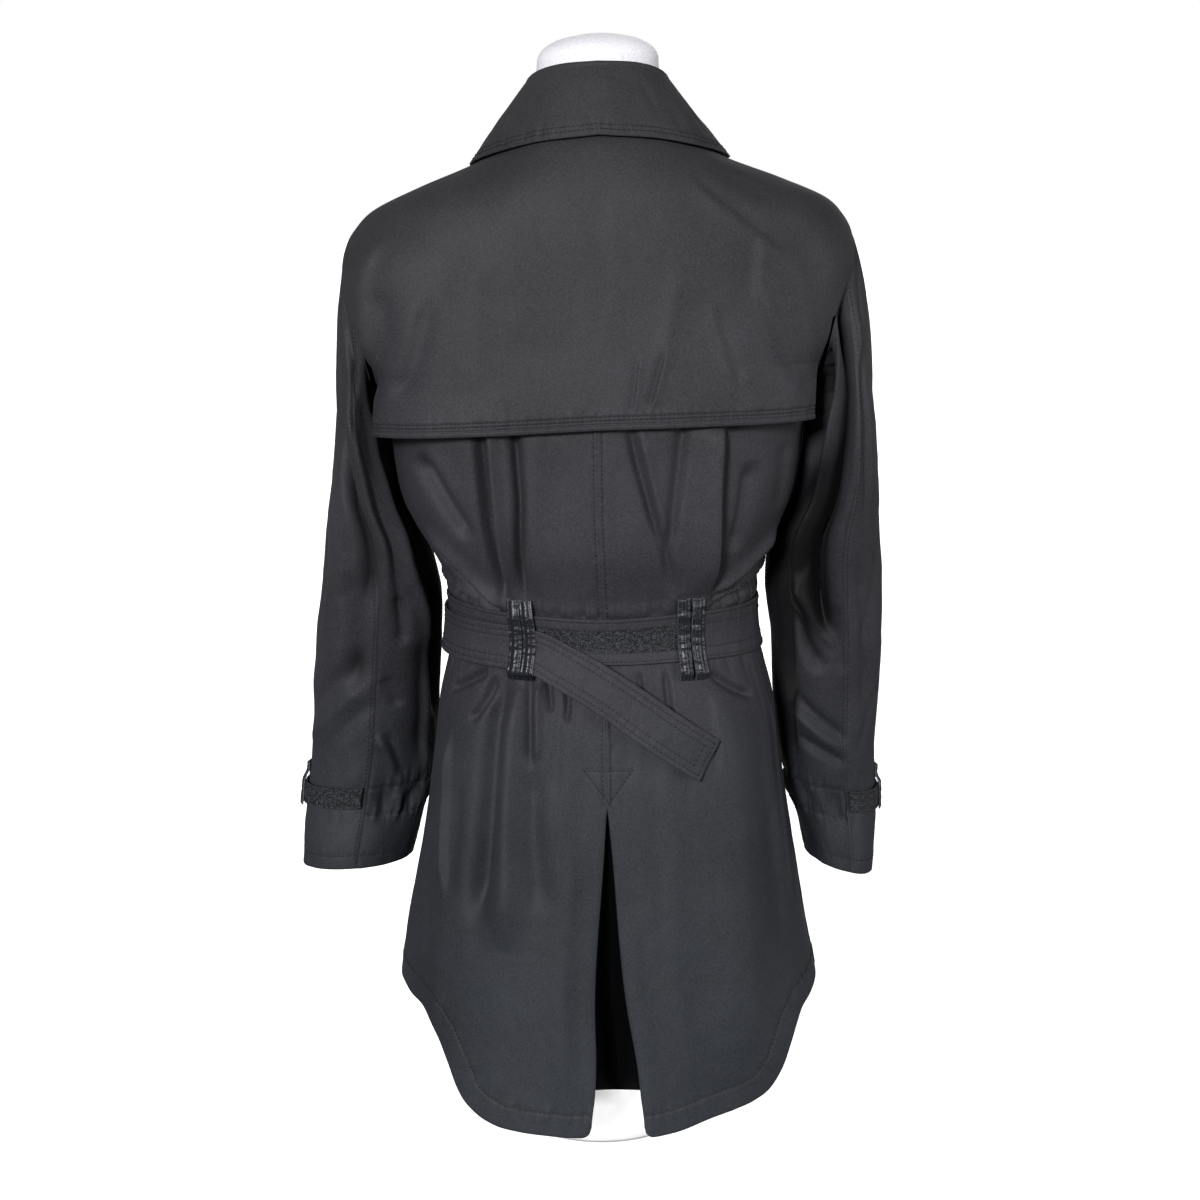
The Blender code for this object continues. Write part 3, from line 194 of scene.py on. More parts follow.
# Creases of the body behind: their line from top to bottom, half width, depth, and how sharply the
# cloth drops across them towards the wearer's right (nothing for a ridge or a trough).
bodyCreases = (
    (
        ((0.1034, 0.690), (0.1005, 0.640), (0.0985, 0.614), (0.0929, 0.560), (0.0876, 0.512)),
        0.0048, -0.0062, 0.0,
    ),
    (((0.0956, 0.690), (0.0907, 0.614), (0.0860, 0.560), (0.0815, 0.518)), 0.0050, 0.0036, 0.0),
    (((0.0740, 0.690), (0.0705, 0.640), (0.0685, 0.595), (0.0693, 0.518)), 0.0046, -0.0056, 0.0),
    (((0.1600, 0.652), (0.1326, 0.606), (0.1132, 0.574)), 0.0085, -0.0058, 0.0),
    (((0.1560, 0.578), (0.1395, 0.563), (0.1140, 0.532), (0.0855, 0.504)), 0.0100, -0.0040, 0.0014),
    (((0.1480, 0.556), (0.1362, 0.547), (0.1094, 0.522), (0.0884, 0.502)), 0.0060, -0.0024, 0.0012),
    (((0.1450, 0.532), (0.1417, 0.5295), (0.1168, 0.5165)), 0.0050, -0.0020, 0.0012),
    (
        ((-0.0270, 0.690), (-0.0289, 0.663), (-0.0406, 0.620), (-0.0503, 0.585), (-0.0639, 0.518)),
        0.0058, -0.0034, 0.0,
    ),
    (((-0.0370, 0.672), (-0.0500, 0.612), (-0.0590, 0.566)), 0.0052, 0.0024, 0.0),
    (((-0.0740, 0.690), (-0.0729, 0.663), (-0.0665, 0.610), (-0.0589, 0.552)), 0.0058, -0.0032, 0.0),
    (((-0.1115, 0.690), (-0.1101, 0.671), (-0.1036, 0.592), (-0.0952, 0.516)), 0.0130, 0.0042, 0.0012),
    (((-0.1600, 0.572), (-0.1448, 0.556), (-0.1215, 0.536), (-0.0954, 0.518)), 0.0095, 0.0042, 0.0014),
    (((-0.1560, 0.549), (-0.1482, 0.5415), (-0.1195, 0.5225), (-0.0962, 0.5121)), 0.0060, 0.0024, 0.0012),
    (((-0.1350, 0.640), (-0.1300, 0.609), (-0.1173, 0.557)), 0.0070, -0.0038, 0.0),
    (
        ((0.0880, 0.458), (0.0915, 0.435), (0.1017, 0.390), (0.1103, 0.300), (0.1200, 0.215)),
        0.0115, -0.0084, 0.0,
    ),
    (((0.0790, 0.452), (0.0870, 0.390), (0.0900, 0.300), (0.0920, 0.200)), 0.0160, 0.0062, 0.0),
    (((0.0677, 0.458), (0.0683, 0.410), (0.0690, 0.366)), 0.0055, -0.0020, 0.0),
    (((0.0600, 0.452), (0.0610, 0.400), (0.0625, 0.372)), 0.0045, 0.0022, 0.0),
    (((0.0655, 0.372), (0.0706, 0.310), (0.0592, 0.238)), 0.0140, -0.0026, 0.0),
    (((0.1420, 0.392), (0.1526, 0.298), (0.1521, 0.236)), 0.0046, 0.0034, 0.0),
    (
        (
            (-0.0905, 0.462), (-0.0945, 0.446), (-0.1028, 0.398),
            (-0.1119, 0.292), (-0.1170, 0.235), (-0.124, 0.10),
        ),
        0.0150, 0.0020, 0.0,
    ),
    (((-0.1480, 0.424), (-0.1570, 0.386), (-0.1631, 0.304), (-0.1730, 0.225)), 0.0060, 0.0014, 0.0012),
    (((0.1050, 0.4520), (0.1220, 0.4400), (0.1420, 0.4270)), 0.0042, -0.0034, 0.0),
    (((0.0990, 0.4480), (0.1080, 0.4260), (0.1240, 0.4020)), 0.0048, -0.0030, 0.0),
    (((-0.0920, 0.4520), (-0.1120, 0.4350), (-0.1330, 0.4250)), 0.0042, -0.0030, 0.0),
    (((0.0350, 0.4560), (0.0330, 0.4300), (0.0360, 0.4080)), 0.0040, -0.0022, 0.0),
    (((0.0520, 0.4560), (0.0500, 0.4360), (0.0490, 0.4180)), 0.0036, -0.0020, 0.0),
    (((-0.0300, 0.4560), (-0.0320, 0.4340), (-0.0310, 0.4150)), 0.0038, -0.0020, 0.0),
    (((-0.0540, 0.4560), (-0.0560, 0.4300), (-0.0570, 0.4000)), 0.0044, -0.0026, 0.0),
)
flapFolds = (
    ("back", 0.183, 0.845, 0.1920, 0.725, 0.0085, 0.0040, 0.45, 0.004),
    ("back", 0.1150, 0.845, 0.1480, 0.775, 0.0140, -0.0012, 0.20, 0.003),
    ("back", 0.0600, 0.905, 0.0560, 0.740, 0.0220, 0.0015, -0.55, 0.003),
    ("back", -0.0010, 0.890, -0.0020, 0.760, 0.0170, -0.0010, 0.30, 0.000),
    ("back", -0.137, 0.815, -0.144, 0.690, 0.0110, 0.0024, 0.40, 0.003),
    ("back", -0.160, 0.850, -0.188, 0.790, 0.0090, -0.0022, 0.20, 0.000),
)
flapCreases = (
    (((0.1900, 0.800), (0.1810, 0.760), (0.1880, 0.700)), 0.0070, -0.0020, 0.0),
    (((0.1450, 0.790), (0.1560, 0.740), (0.1680, 0.700)), 0.0080, -0.0020, 0.0),
    (((0.1520, 0.795), (0.1650, 0.735), (0.1760, 0.690)), 0.0055, 0.0012, 0.0),
    (((0.1000, 0.830), (0.1080, 0.770), (0.1060, 0.700)), 0.0120, 0.0010, 0.0),
    (((-0.0780, 0.885), (-0.0960, 0.868), (-0.1390, 0.836), (-0.158, 0.815)), 0.0090, 0.0013, 0.0014),
    (((-0.0900, 0.900), (-0.1150, 0.880), (-0.1500, 0.862)), 0.0080, -0.0012, 0.0),
    (((-0.0700, 0.805), (-0.0620, 0.765), (-0.0560, 0.725)), 0.0080, 0.0010, 0.0),
    (((-0.0590, 0.738), (-0.0520, 0.712), (-0.0440, 0.684)), 0.0050, -0.0013, 0.0013),
    (((-0.0360, 0.735), (-0.0330, 0.705), (-0.0290, 0.680)), 0.0050, -0.0008, 0.0013),
    (((-0.1000, 0.775), (-0.1080, 0.745), (-0.1180, 0.705)), 0.0060, 0.0010, 0.0014),
    (((-0.1380, 0.842), (-0.1330, 0.800), (-0.1420, 0.765), (-0.1580, 0.700)), 0.0110, -0.0013, 0.0030),
    (((-0.1400, 0.790), (-0.1560, 0.745), (-0.1690, 0.690)), 0.0050, 0.0014, 0.0),
    (((-0.1580, 0.830), (-0.1720, 0.770), (-0.1790, 0.700)), 0.0080, 0.0016, 0.0),
    (((0.0800, 0.700), (0.0770, 0.685), (0.0760, 0.672)), 0.0050, 0.0008, 0.0),
    (((-0.1250, 0.720), (-0.1290, 0.700), (-0.1300, 0.676)), 0.0050, 0.0010, 0.0),
)
print("tables: read")


def readTable(table, name, at):
    columns, rows = table
    places = np.array([row[0] for row in rows], float)
    values = np.array([row[columns.index(name)] for row in rows], float)
    slopes = np.gradient(values, places)
    at = np.clip(at, places[0], places[-1])
    row = np.clip(np.searchsorted(places, at) - 1, 0, len(places) - 2)
    step = places[row + 1] - places[row]
    share = (at - places[row]) / step
    start = (2 * share**3 - 3 * share**2 + 1) * values[row]
    start = start + (share**3 - 2 * share**2 + share) * step * slopes[row]
    end = (3 * share**2 - 2 * share**3) * values[row + 1]
    return start + end + (share**3 - share**2) * step * slopes[row + 1]


def ramp(low, high, at):
    share = np.clip((np.asarray(at, float) - low) / (high - low), 0.0, 1.0)
    return share * share * (3 - 2 * share)


def bump(middle, width, at):
    return np.exp(-(((np.asarray(at, float) - middle) / width) ** 2))


def together(*values):
    # the values as arrays of one shape
    return np.broadcast_arrays(*[np.asarray(value, float) for value in values])


noiseCells = 61


def softNoise(u, v, seed):
    # smooth uneven rise and fall from -1 to 1, with a hill or a hollow about every unit
    lattice = np.random.default_rng(seed).uniform(-1, 1, (noiseCells, noiseCells))
    u, v = together(u, v)
    left, low = np.floor(u).astype(int), np.floor(v).astype(int)
    a, b = u - left, v - low
    a, b = a * a * (3 - 2 * a), b * b * (3 - 2 * b)
    right, high = (left + 1) % noiseCells, (low + 1) % noiseCells
    left, low = left % noiseCells, low % noiseCells
    west = lattice[left, low] * (1 - b) + lattice[left, high] * b
    east = lattice[right, low] * (1 - b) + lattice[right, high] * b
    return west * (1 - a) + east * a


def section(angle, z, halfWidth, behind, before, behindSquare, beforeSquare):
    cosine, sine = np.cos(np.radians(angle)), np.sin(np.radians(angle))
    depth = np.where(sine >= 0, behind, before)
    square = np.where(sine >= 0, behindSquare, beforeSquare)
    radius = (np.abs(cosine / halfWidth) ** square + np.abs(sine / depth) ** square) ** (-1 / square)
    return np.stack([radius * cosine, radius * sine, z + 0 * radius], axis=-1)


def bodyBase(angle, z):
    angle, z = together(angle, z)
    return section(angle, z, *[readTable(bodyRows, name, z) for name in bodyRows[0][1:]])


flapLook = {"halfWidth": 0.2070, "square": 3.05, "flare": 0.004, "sideAngle": 20.3}


def flapBase(angle, z):
    # it hangs straight down from the widest line of the back
    angle, z = together(angle, z)
    straight = 1 - ramp(coat["looseTop"] - 0.015, coat["looseTop"] + 0.030, z)
    halfWidth = np.maximum(readTable(bodyRows, "halfWidth", z), flapLook["halfWidth"] * straight)
    square = np.maximum(readTable(bodyRows, "backSquare", z), flapLook["square"] * straight)
    flare = flapLook["flare"] * (1 - ramp(coat["flapEdge"], coat["looseTop"] - 0.020, z))
    back = readTable(bodyRows, "back", z) + flare
    return section(angle, z, halfWidth, back, back, square, square)


def unit(vectors):
    return vectors / np.linalg.norm(vectors, axis=-1, keepdims=True)


def normalsOf(base, angle, z):
    turn, rise = 0.6, 0.002
    along = base(angle + turn, z) - base(angle - turn, z)
    up = base(angle, z + rise) - base(angle, z - rise)
    normal = np.cross(along, up)
    return unit(normal)


def angleAt(x, z, face):
    # the angle at which the body's surface stands this far from the middle
    x, z = together(x, z)
    low, high = 0 * x, 0 * x + 180.0
    sign = 1 if face == "back" else -1
    for _ in range(34):
        middle = (low + high) / 2
        wide = bodyBase(sign * middle, z)[..., 0] > x
        low, high = np.where(wide, middle, low), np.where(wide, high, middle)
    return sign * (low + high) / 2


def foldLift(folds, across, along):
    # soft ridges and troughs, each along its own line, that fade at both ends
    lift = 0 * (across + along)
    for x0, z0, x1, z1, width, depth, uneven, bend in folds:
        dx, dz = x1 - x0, z1 - z0
        length = math.hypot(dx, dz)
        share = ((across - x0) * dx + (along - z0) * dz) / length**2
        inside = np.clip(share, 0, 1)
        aside = ((across - x0) * dz - (along - z0) * dx) / length - bend * 4 * inside * (1 - inside)
        beyond = (share - inside) * length
        reach = width * (1 + uneven * np.tanh(aside / width * 1.5))
        fade = ramp(-0.02, 0.22, inside) * ramp(-1.02, -0.78, -inside)
        lift = lift + depth * fade * np.exp(-((aside / reach) ** 2) - (beyond / width) ** 2)
    return lift


def smoothLine(points, count):
    # an even, rounded line through a short list of points
    points = np.array(points, float)
    for _ in range(3):
        middle = (points[:-1] * 3 + points[1:]) / 4
        later = (points[:-1] + points[1:] * 3) / 4
        cut = np.empty((2 * len(middle), points.shape[1]))
        cut[0::2], cut[1::2] = middle, later
        points = np.concatenate([points[:1], cut, points[-1:]])
    steps = np.concatenate([[0], np.cumsum(np.linalg.norm(np.diff(points, axis=0), axis=1))])
    wanted = np.linspace(0, steps[-1], count)
    return np.stack([np.interp(wanted, steps, points[:, k]) for k in range(points.shape[1])], axis=-1)


def creaseLift(creases, across, along):
    # ridges, troughs and sharp drops, each along its own bent line, that fade at both ends
    across, along = together(across, along)
    lift = np.zeros(across.shape)
    for points, width, depth, drop in creases:
        line = smoothLine(points, 15)
        reach = 3 * width
        near = (across > line[:, 0].min() - reach) & (across < line[:, 0].max() + reach)
        near = near & (along > line[:, 1].min() - reach) & (along < line[:, 1].max() + reach)
        if not near.any():
            continue
        spots = np.stack([across[near], along[near]], axis=-1)[:, None, :]
        spans = line[1:] - line[:-1]
        lengths = np.linalg.norm(spans, axis=1)
        offset = spots - line[None, :-1]
        share = np.sum(offset * spans, axis=-1) / lengths**2
        inside = np.clip(share, 0, 1)
        gaps = offset - inside[..., None] * spans
        distance = np.linalg.norm(gaps, axis=-1)
        best = np.argmin(distance, axis=1)
        row = np.arange(len(best))
        distance = distance[row, best]
        side = np.sign(offset[row, best, 0] * spans[best, 1] - offset[row, best, 1] * spans[best, 0])
        place = (best + inside[row, best]) / len(spans)
        fade = ramp(-0.04, 0.20, place) * ramp(-1.04, -0.80, -place)
        shape = np.exp(-((distance / width) ** 2))
        if drop:
            shape = shape * np.tanh(side * distance / drop)
        lift[near] += depth * fade * shape
    return lift


def placedCreases(creases, strength):
    placed = []
    for points, width, depth, drop in creases:
        line = [(math.radians(float(angleAt(x, z, "back"))) * coat["meanRadius"], z) for x, z in points]
        placed.append((line, width, depth * strength, drop))
    return placed


def placedFolds(folds):
    # the same rows, with distances round the body in place of distances from the middle
    placed = []
    for face, x0, z0, x1, z1, *shape in folds:
        first = math.radians(float(angleAt(x0, z0, face))) * coat["meanRadius"]
        last = math.radians(float(angleAt(x1, z1, face))) * coat["meanRadius"]
        placed.append((first, z0, last, z1, *shape))
    return placed


bodyFoldLines = placedFolds(bodyFolds)
flapFoldLines = placedFolds(flapFolds)

drapeLook = {
    "bodyCreases": 2.0,  # how strong the creases of the tables are made
    "flapCreases": 1.9,
    "wave": 0.0009,  # broad unevenness of the whole cloth
    "skirtWave": 0.0013,  # long soft folds that hang from the belt
    "crumple": 0.00022,
    "gatherAbove": 0.0021,  # short folds where the cloth goes under the belt
    "gatherBelow": 0.0009,
    "blouse": 0.0014,  # how far the cloth swells over the belt's upper edge
}
bodyCreaseLines = placedCreases(bodyCreases, drapeLook["bodyCreases"])
flapCreaseLines = placedCreases(flapCreases, drapeLook["flapCreases"])
loopX = (0.0755, 0.0648, -0.0685, -0.0815)
loopWidth = 0.0091


def roundBody(angle):
    wrapped = (np.asarray(angle, float) + 180) % 360 - 180
    return wrapped, np.radians(wrapped) * coat["meanRadius"]


def clothWave(across, z, seed):
    lift = drapeLook["wave"] * softNoise(across / 0.046 + 9, z / 0.110 + 3, seed)
    lift = lift + 0.45 * drapeLook["wave"] * softNoise(across / 0.021 + 5, z / 0.050, seed + 1)
    return lift + drapeLook["crumple"] * softNoise(across / 0.0085, z / 0.013, seed + 2)


def bodyLift(angle, z):
    wrapped, across = roundBody(angle)
    z = np.asarray(z, float)
    lift = foldLift(bodyFoldLines, across, z) + creaseLift(bodyCreaseLines, across, z)
    lift = lift + clothWave(across, z, 11)
    middle, width = readTable(beltRows, "z", wrapped), readTable(beltRows, "width", wrapped)
    above, below = z - middle - width / 2, middle - width / 2 - z
    gather = softNoise(across / 0.0075 + 20, z / 0.080, 21) + 0.6 * softNoise(across / 0.0040, z / 0.050, 22)
    near = np.exp(-np.maximum(above, 0) / 0.018) * ramp(-0.002, 0.004, above) * drapeLook["gatherAbove"]
    under = np.exp(-np.maximum(below, 0) / 0.032) * ramp(-0.002, 0.004, below) * drapeLook["gatherBelow"]
    lift = lift + (near + under) * gather + drapeLook["blouse"] * bump(0.007, 0.006, above)
    hang = ramp(0.02, 0.10, below)
    lift = lift + hang * drapeLook["skirtWave"] * softNoise(across / 0.019 + 40, z / 0.260 + 0.4, 23)
    # Nothing stands out under the belt, its loops or the storm flap.
    underBelt = ramp(-0.003, 0.0015, -above) * ramp(-0.003, 0.0015, -below)
    x = bodyBase(wrapped, z)[..., 0]
    for place in loopX:
        reach = bump(place, 0.008, x) * ramp(0.436, 0.444, z) * ramp(-0.527, -0.519, -z) * (wrapped > 0)
        underBelt = np.maximum(underBelt, reach)
    lift = lift - np.maximum(lift + 0.0001, 0) * underBelt
    underFlap = ramp(0.664, 0.690, z) * (wrapped > 0)
    return lift - np.maximum(lift + 0.0004, 0) * underFlap


def flapLift(angle, z):
    _, across = roundBody(angle)
    z = np.asarray(z, float)
    lift = foldLift(flapFoldLines, across, z) + creaseLift(flapCreaseLines, across, z)
    return lift + 0.6 * clothWave(across, z, 31)


def posed(points):
    points = np.array(points, float)
    z = points[..., 2].copy()
    points[..., 2] = z - readTable(stanceRows, "tilt", z) * points[..., 0]
    points[..., 0] = points[..., 0] + readTable(stanceRows, "shift", z)
    return points


def posedTurn(points, normals):
    # unit vectors carried into the stance with their points
    step = 0.0005
    moved = posed(points + normals * step) - posed(points)
    return unit(moved)


def plainPoint(angle, z, out):
    angle, z, out = together(angle, z, out)
    return bodyBase(angle, z) + normalsOf(bodyBase, angle, z) * out[..., None]


def gridNormals(points):
    normal = np.cross(np.gradient(points, axis=1), np.gradient(points, axis=0))
    return normal / np.maximum(np.linalg.norm(normal, axis=-1, keepdims=True), 1e-12)


# Materials


def newMaterial(name, colour, roughness, shaderValues=()):
    material = bpy.data.materials.new(name)
    material.use_nodes = True
    shader = material.node_tree.nodes["Principled BSDF"]
    values = {"Base Color": (*colour, 1.0), "Roughness": roughness, **dict(shaderValues)}
    for socket, value in values.items():
        shader.inputs[socket].default_value = value
    return material, material.node_tree, shader


def addNode(tree, kind, inputs=(), **settings):
    node = tree.nodes.new(kind)
    for name, value in settings.items():
        setattr(node, name, value)
    for name, value in dict(inputs).items():
        node.inputs[name].default_value = value
    return node


def mixColours(tree, factor, first, second):
    mix = addNode(tree, "ShaderNodeMix", {6: (*first, 1.0), 7: (*second, 1.0)}, data_type="RGBA")
    tree.links.new(factor, mix.inputs[0])
    return mix.outputs[2]


def multiplyColours(tree, first, second):
    mix = addNode(tree, "ShaderNodeMix", {0: 1.0}, data_type="RGBA", blend_type="MULTIPLY")
    tree.links.new(first, mix.inputs[6])
    tree.links.new(second, mix.inputs[7])
    return mix.outputs[2]


def addTexture(tree, place, kind, inputs, **settings):
    # a texture that stays with the object's own coordinates
    texture = addNode(tree, kind, inputs, **settings)
    tree.links.new(place.outputs["Object"], texture.inputs["Vector"])
    return texture


def addRange(tree, value, low, high):
    span = addNode(tree, "ShaderNodeMapRange", {"From Min": low, "From Max": high})
    tree.links.new(value, span.inputs["Value"])
    return span.outputs["Result"]


def addBump(tree, shader, height, distance, strength, under=None):
    node = addNode(tree, "ShaderNodeBump", {"Distance": distance, "Strength": strength})
    tree.links.new(height, node.inputs["Height"])
    if under:
        tree.links.new(under, node.inputs["Normal"])
    tree.links.new(node.outputs["Normal"], shader.inputs["Normal"])
    return node.outputs["Normal"]


clothLookAndShade = {
    "dark": (0.0150, 0.0147, 0.0160),
    "light": (0.0425, 0.0415, 0.0442),
    "roughness": 0.62,
    "specular": 0.22,
    "sheen": 0.02,
    "sheenRoughness": 0.40,
    "threadPitch": 0.00055,
    "slub": 0.0016,
    "low": (0.68, 0.79, 0.91),  # painted light and shade by height: its tint at the hem, at the waist and at the shoulders
    "middle": (1.02, 1.00, 1.12),
    "high": (0.92, 0.895, 0.940),
    "tintHeights": (0.20, 0.92),
    "foldShadeColour": (0.10, 0.10, 0.11),  # painted shade: what is left of its colour deep in a fold
}


def weaveMaterial(name, look):
    shaderValues = {
        "Sheen Weight": look["sheen"],
        "Sheen Roughness": look["sheenRoughness"],
        "Sheen Tint": (0.90, 0.90, 1.0, 1.0),
        "Specular IOR Level": look["specular"],
    }
    material, tree, shader = newMaterial(name, look["light"], look["roughness"], shaderValues)
    place = addNode(tree, "ShaderNodeTexCoord")
    slubNoise = {"Scale": 1 / look["slub"], "Detail": 3.0, "Roughness": 0.65}
    slub = addTexture(tree, place, "ShaderNodeTexNoise", slubNoise)
    shade = addTexture(tree, place, "ShaderNodeTexNoise", {"Scale": 9.0, "Detail": 3.0})
    both = addNode(tree, "ShaderNodeMath", {1: 0.35}, operation="MULTIPLY_ADD")
    tree.links.new(shade.outputs["Fac"], both.inputs[0])
    share = addNode(tree, "ShaderNodeMath", {1: 0.65}, operation="MULTIPLY")
    tree.links.new(slub.outputs["Fac"], share.inputs[0])
    tree.links.new(share.outputs[0], both.inputs[2])
    colour = mixColours(tree, addRange(tree, both.outputs[0], 0.33, 0.67), look["dark"], look["light"])
    # Painted light and shade by height: the colour is made darker and cooler towards the hem and warmer on
    # the shoulders.
    parts = addNode(tree, "ShaderNodeSeparateXYZ")
    tree.links.new(place.outputs["Object"], parts.inputs[0])
    tint = addNode(tree, "ShaderNodeValToRGB")
    tint.color_ramp.elements[0].color = (*look["low"], 1.0)
    tint.color_ramp.elements[1].color = (*look["high"], 1.0)
    tint.color_ramp.elements.new(0.55).color = (*look["middle"], 1.0)
    tree.links.new(addRange(tree, parts.outputs["Z"], *look["tintHeights"]), tint.inputs["Fac"])
    shadedByHeight = multiplyColours(tree, colour, tint.outputs["Color"])
    # Painted shade: the colour is darkened by each point's painted shade, deep in folds and where the coat's
    # side shades the sleeves.
    depth = addNode(tree, "ShaderNodeAttribute", attribute_name="paintedShade")
    foldShadeFactor = mixColours(tree, depth.outputs["Fac"], (1.0, 1.0, 1.0), look["foldShadeColour"])
    tree.links.new(multiplyColours(tree, shadedByHeight, foldShadeFactor), shader.inputs["Base Color"])
    weave = addNode(tree, "ShaderNodeMath", operation="MAXIMUM")
    threadWave = {"Scale": 0.314 / look["threadPitch"], "Distortion": 0.6, "Detail Scale": 2.0}
    for socket, direction in enumerate(("X", "Y")):
        threads = addNode(tree, "ShaderNodeTexWave", threadWave, bands_direction=direction)
        tree.links.new(place.outputs["UV"], threads.inputs["Vector"])
        tree.links.new(threads.outputs["Fac"], weave.inputs[socket])
    rough = addBump(tree, shader, slub.outputs["Fac"], 0.0003, 0.35)
    addBump(tree, shader, weave.outputs[0], 0.0001, 0.30, rough)
    return material


def leatherMaterial():
    shaderValues = {"Specular IOR Level": 0.40, "Coat Weight": 0.10, "Coat Roughness": 0.26}
    material, tree, shader = newMaterial("loopLeather", (0.008, 0.010, 0.016), 0.36, shaderValues)
    place = addNode(tree, "ShaderNodeTexCoord")
    grain = addTexture(tree, place, "ShaderNodeTexVoronoi", {"Scale": 900.0})
    crease = addTexture(tree, place, "ShaderNodeTexNoise", {"Scale": 320.0, "Detail": 4.0})
    colour = mixColours(tree, crease.outputs["Fac"], (0.0020, 0.0026, 0.0050), (0.0100, 0.0125, 0.0200))
    tree.links.new(colour, shader.inputs["Base Color"])
    low = addBump(tree, shader, crease.outputs["Fac"], 0.0008, 0.6)
    addBump(tree, shader, grain.outputs["Distance"], 0.0002, 0.4, low)
    return material


speckledLooks = {
    "paleEdge": {
        "name": "loopEdge",
        "plain": (0.090, 0.095, 0.110),
        "roughness": 0.7,
        "noise": {"Scale": 900.0, "Detail": 3.0},
        "dark": (0.050, 0.054, 0.066),
        "light": (0.140, 0.150, 0.175),
    },
    "cover": {
        "name": "formCover",
        "plain": (0.74, 0.73, 0.77),
        "roughness": 0.8,
        "noise": {"Scale": 700.0, "Detail": 4.0, "Roughness": 0.7},
        "dark": (0.66, 0.65, 0.70),
        "light": (0.88, 0.87, 0.91),
        "span": (0.35, 0.65),
        "height": (0.0004, 0.4),
        "shaderValues": {"Sheen Weight": 0.15},
    },
    "paint": {
        "name": "standPaint",
        "plain": (0.80, 0.80, 0.80),
        "roughness": 0.38,
        "noise": {"Scale": 260.0, "Detail": 2.0},
        "dark": (0.84, 0.84, 0.84),
        "light": (0.89, 0.89, 0.89),
        "height": (0.0002, 0.25),
    },
    "plastic": {
        "name": "buttonPlastic",
        "plain": (0.030, 0.029, 0.032),
        "roughness": 0.30,
        "noise": {"Scale": 90.0, "Detail": 4.0, "Distortion": 1.5},
        "dark": (0.016, 0.015, 0.017),
        "light": (0.060, 0.056, 0.058),
        "height": (0.0002, 0.2),
    },
    "coatThread": {
        "name": "coatThread",
        "plain": (0.0065, 0.0062, 0.0076),
        "roughness": 0.7,
        "noise": {"Scale": 2500.0, "Detail": 2.0},
        "dark": (0.0020, 0.0020, 0.0026),
        "light": (0.0065, 0.0062, 0.0076),
    },
    "paleThread": {
        "name": "paleThread",
        "plain": (0.040, 0.044, 0.058),
        "roughness": 0.6,
        "noise": {"Scale": 2500.0, "Detail": 2.0},
        "dark": (0.010, 0.011, 0.016),
        "light": (0.040, 0.044, 0.058),
    },
}


def speckledMaterial(name, plain, roughness, noise, dark, light, span=None, height=None, shaderValues=()):
    # a fine noise chooses between two colours, and raises the surface where a height is given
    material, tree, shader = newMaterial(name, plain, roughness, shaderValues)
    place = addNode(tree, "ShaderNodeTexCoord")
    speck = addTexture(tree, place, "ShaderNodeTexNoise", noise)
    level = addRange(tree, speck.outputs["Fac"], *span) if span else speck.outputs["Fac"]
    tree.links.new(mixColours(tree, level, dark, light), shader.inputs["Base Color"])
    if height:
        addBump(tree, shader, speck.outputs["Fac"], *height)
    return material


# Painted shade: a darker copy of the cloth for the under sleeves, for the shade between the arms and the
# body.
underSleeveShade = {"dark": (0.0135, 0.0132, 0.0146), "light": (0.0385, 0.0376, 0.0402), "specular": 0.18}
# Painted shade: a near-black copy of the cloth for the pleat's underlay, for the deep shade inside the
# pleat.
deepPleatShade = {
    "dark": (0.0010, 0.0010, 0.0012),
    "light": (0.0022, 0.0022, 0.0025),
    "roughness": 0.9,
    "specular": 0.05,
    "sheen": 0.0,
}
clothMaterial = weaveMaterial("coatCloth", clothLookAndShade)
shadedUnderSleeveMaterial = weaveMaterial("underSleeveShadedCloth", {**clothLookAndShade, **underSleeveShade})
shadedPleatMaterial = weaveMaterial("pleatShadedCloth", {**clothLookAndShade, **deepPleatShade})


def tapeWeave():
    # crinkled tape: dark, with close raised knots
    shaderValues = {"Specular IOR Level": 0.35}
    material, tree, shader = newMaterial("strapTape", (0.02, 0.02, 0.024), 0.55, shaderValues)
    place = addNode(tree, "ShaderNodeTexCoord")
    knotCells = {"Scale": 760.0, "Randomness": 0.8}
    knots = addTexture(tree, place, "ShaderNodeTexVoronoi", knotCells, feature="SMOOTH_F1")
    looseNoise = {"Scale": 330.0, "Detail": 3.0, "Roughness": 0.7}
    loose = addTexture(tree, place, "ShaderNodeTexNoise", looseNoise)
    both = addNode(tree, "ShaderNodeMath", {1: -0.9}, operation="MULTIPLY_ADD")
    tree.links.new(knots.outputs["Distance"], both.inputs[0])
    tree.links.new(loose.outputs["Fac"], both.inputs[2])
    tone = addRange(tree, both.outputs[0], -0.02, 0.34)
    colour = mixColours(tree, tone, (0.0010, 0.0013, 0.0020), (0.0400, 0.0420, 0.0520))
    tree.links.new(colour, shader.inputs["Base Color"])
    addBump(tree, shader, tone, 0.0009, 0.8)
    return material


tapeMaterial = tapeWeave()
materials = {"leather": leatherMaterial()}
for key, look in speckledLooks.items():
    materials[key] = speckledMaterial(**look)
print("materials: made")


# Cloth as a thin shell: a fine outer face, a plainer inner face, and rounded edges between them.


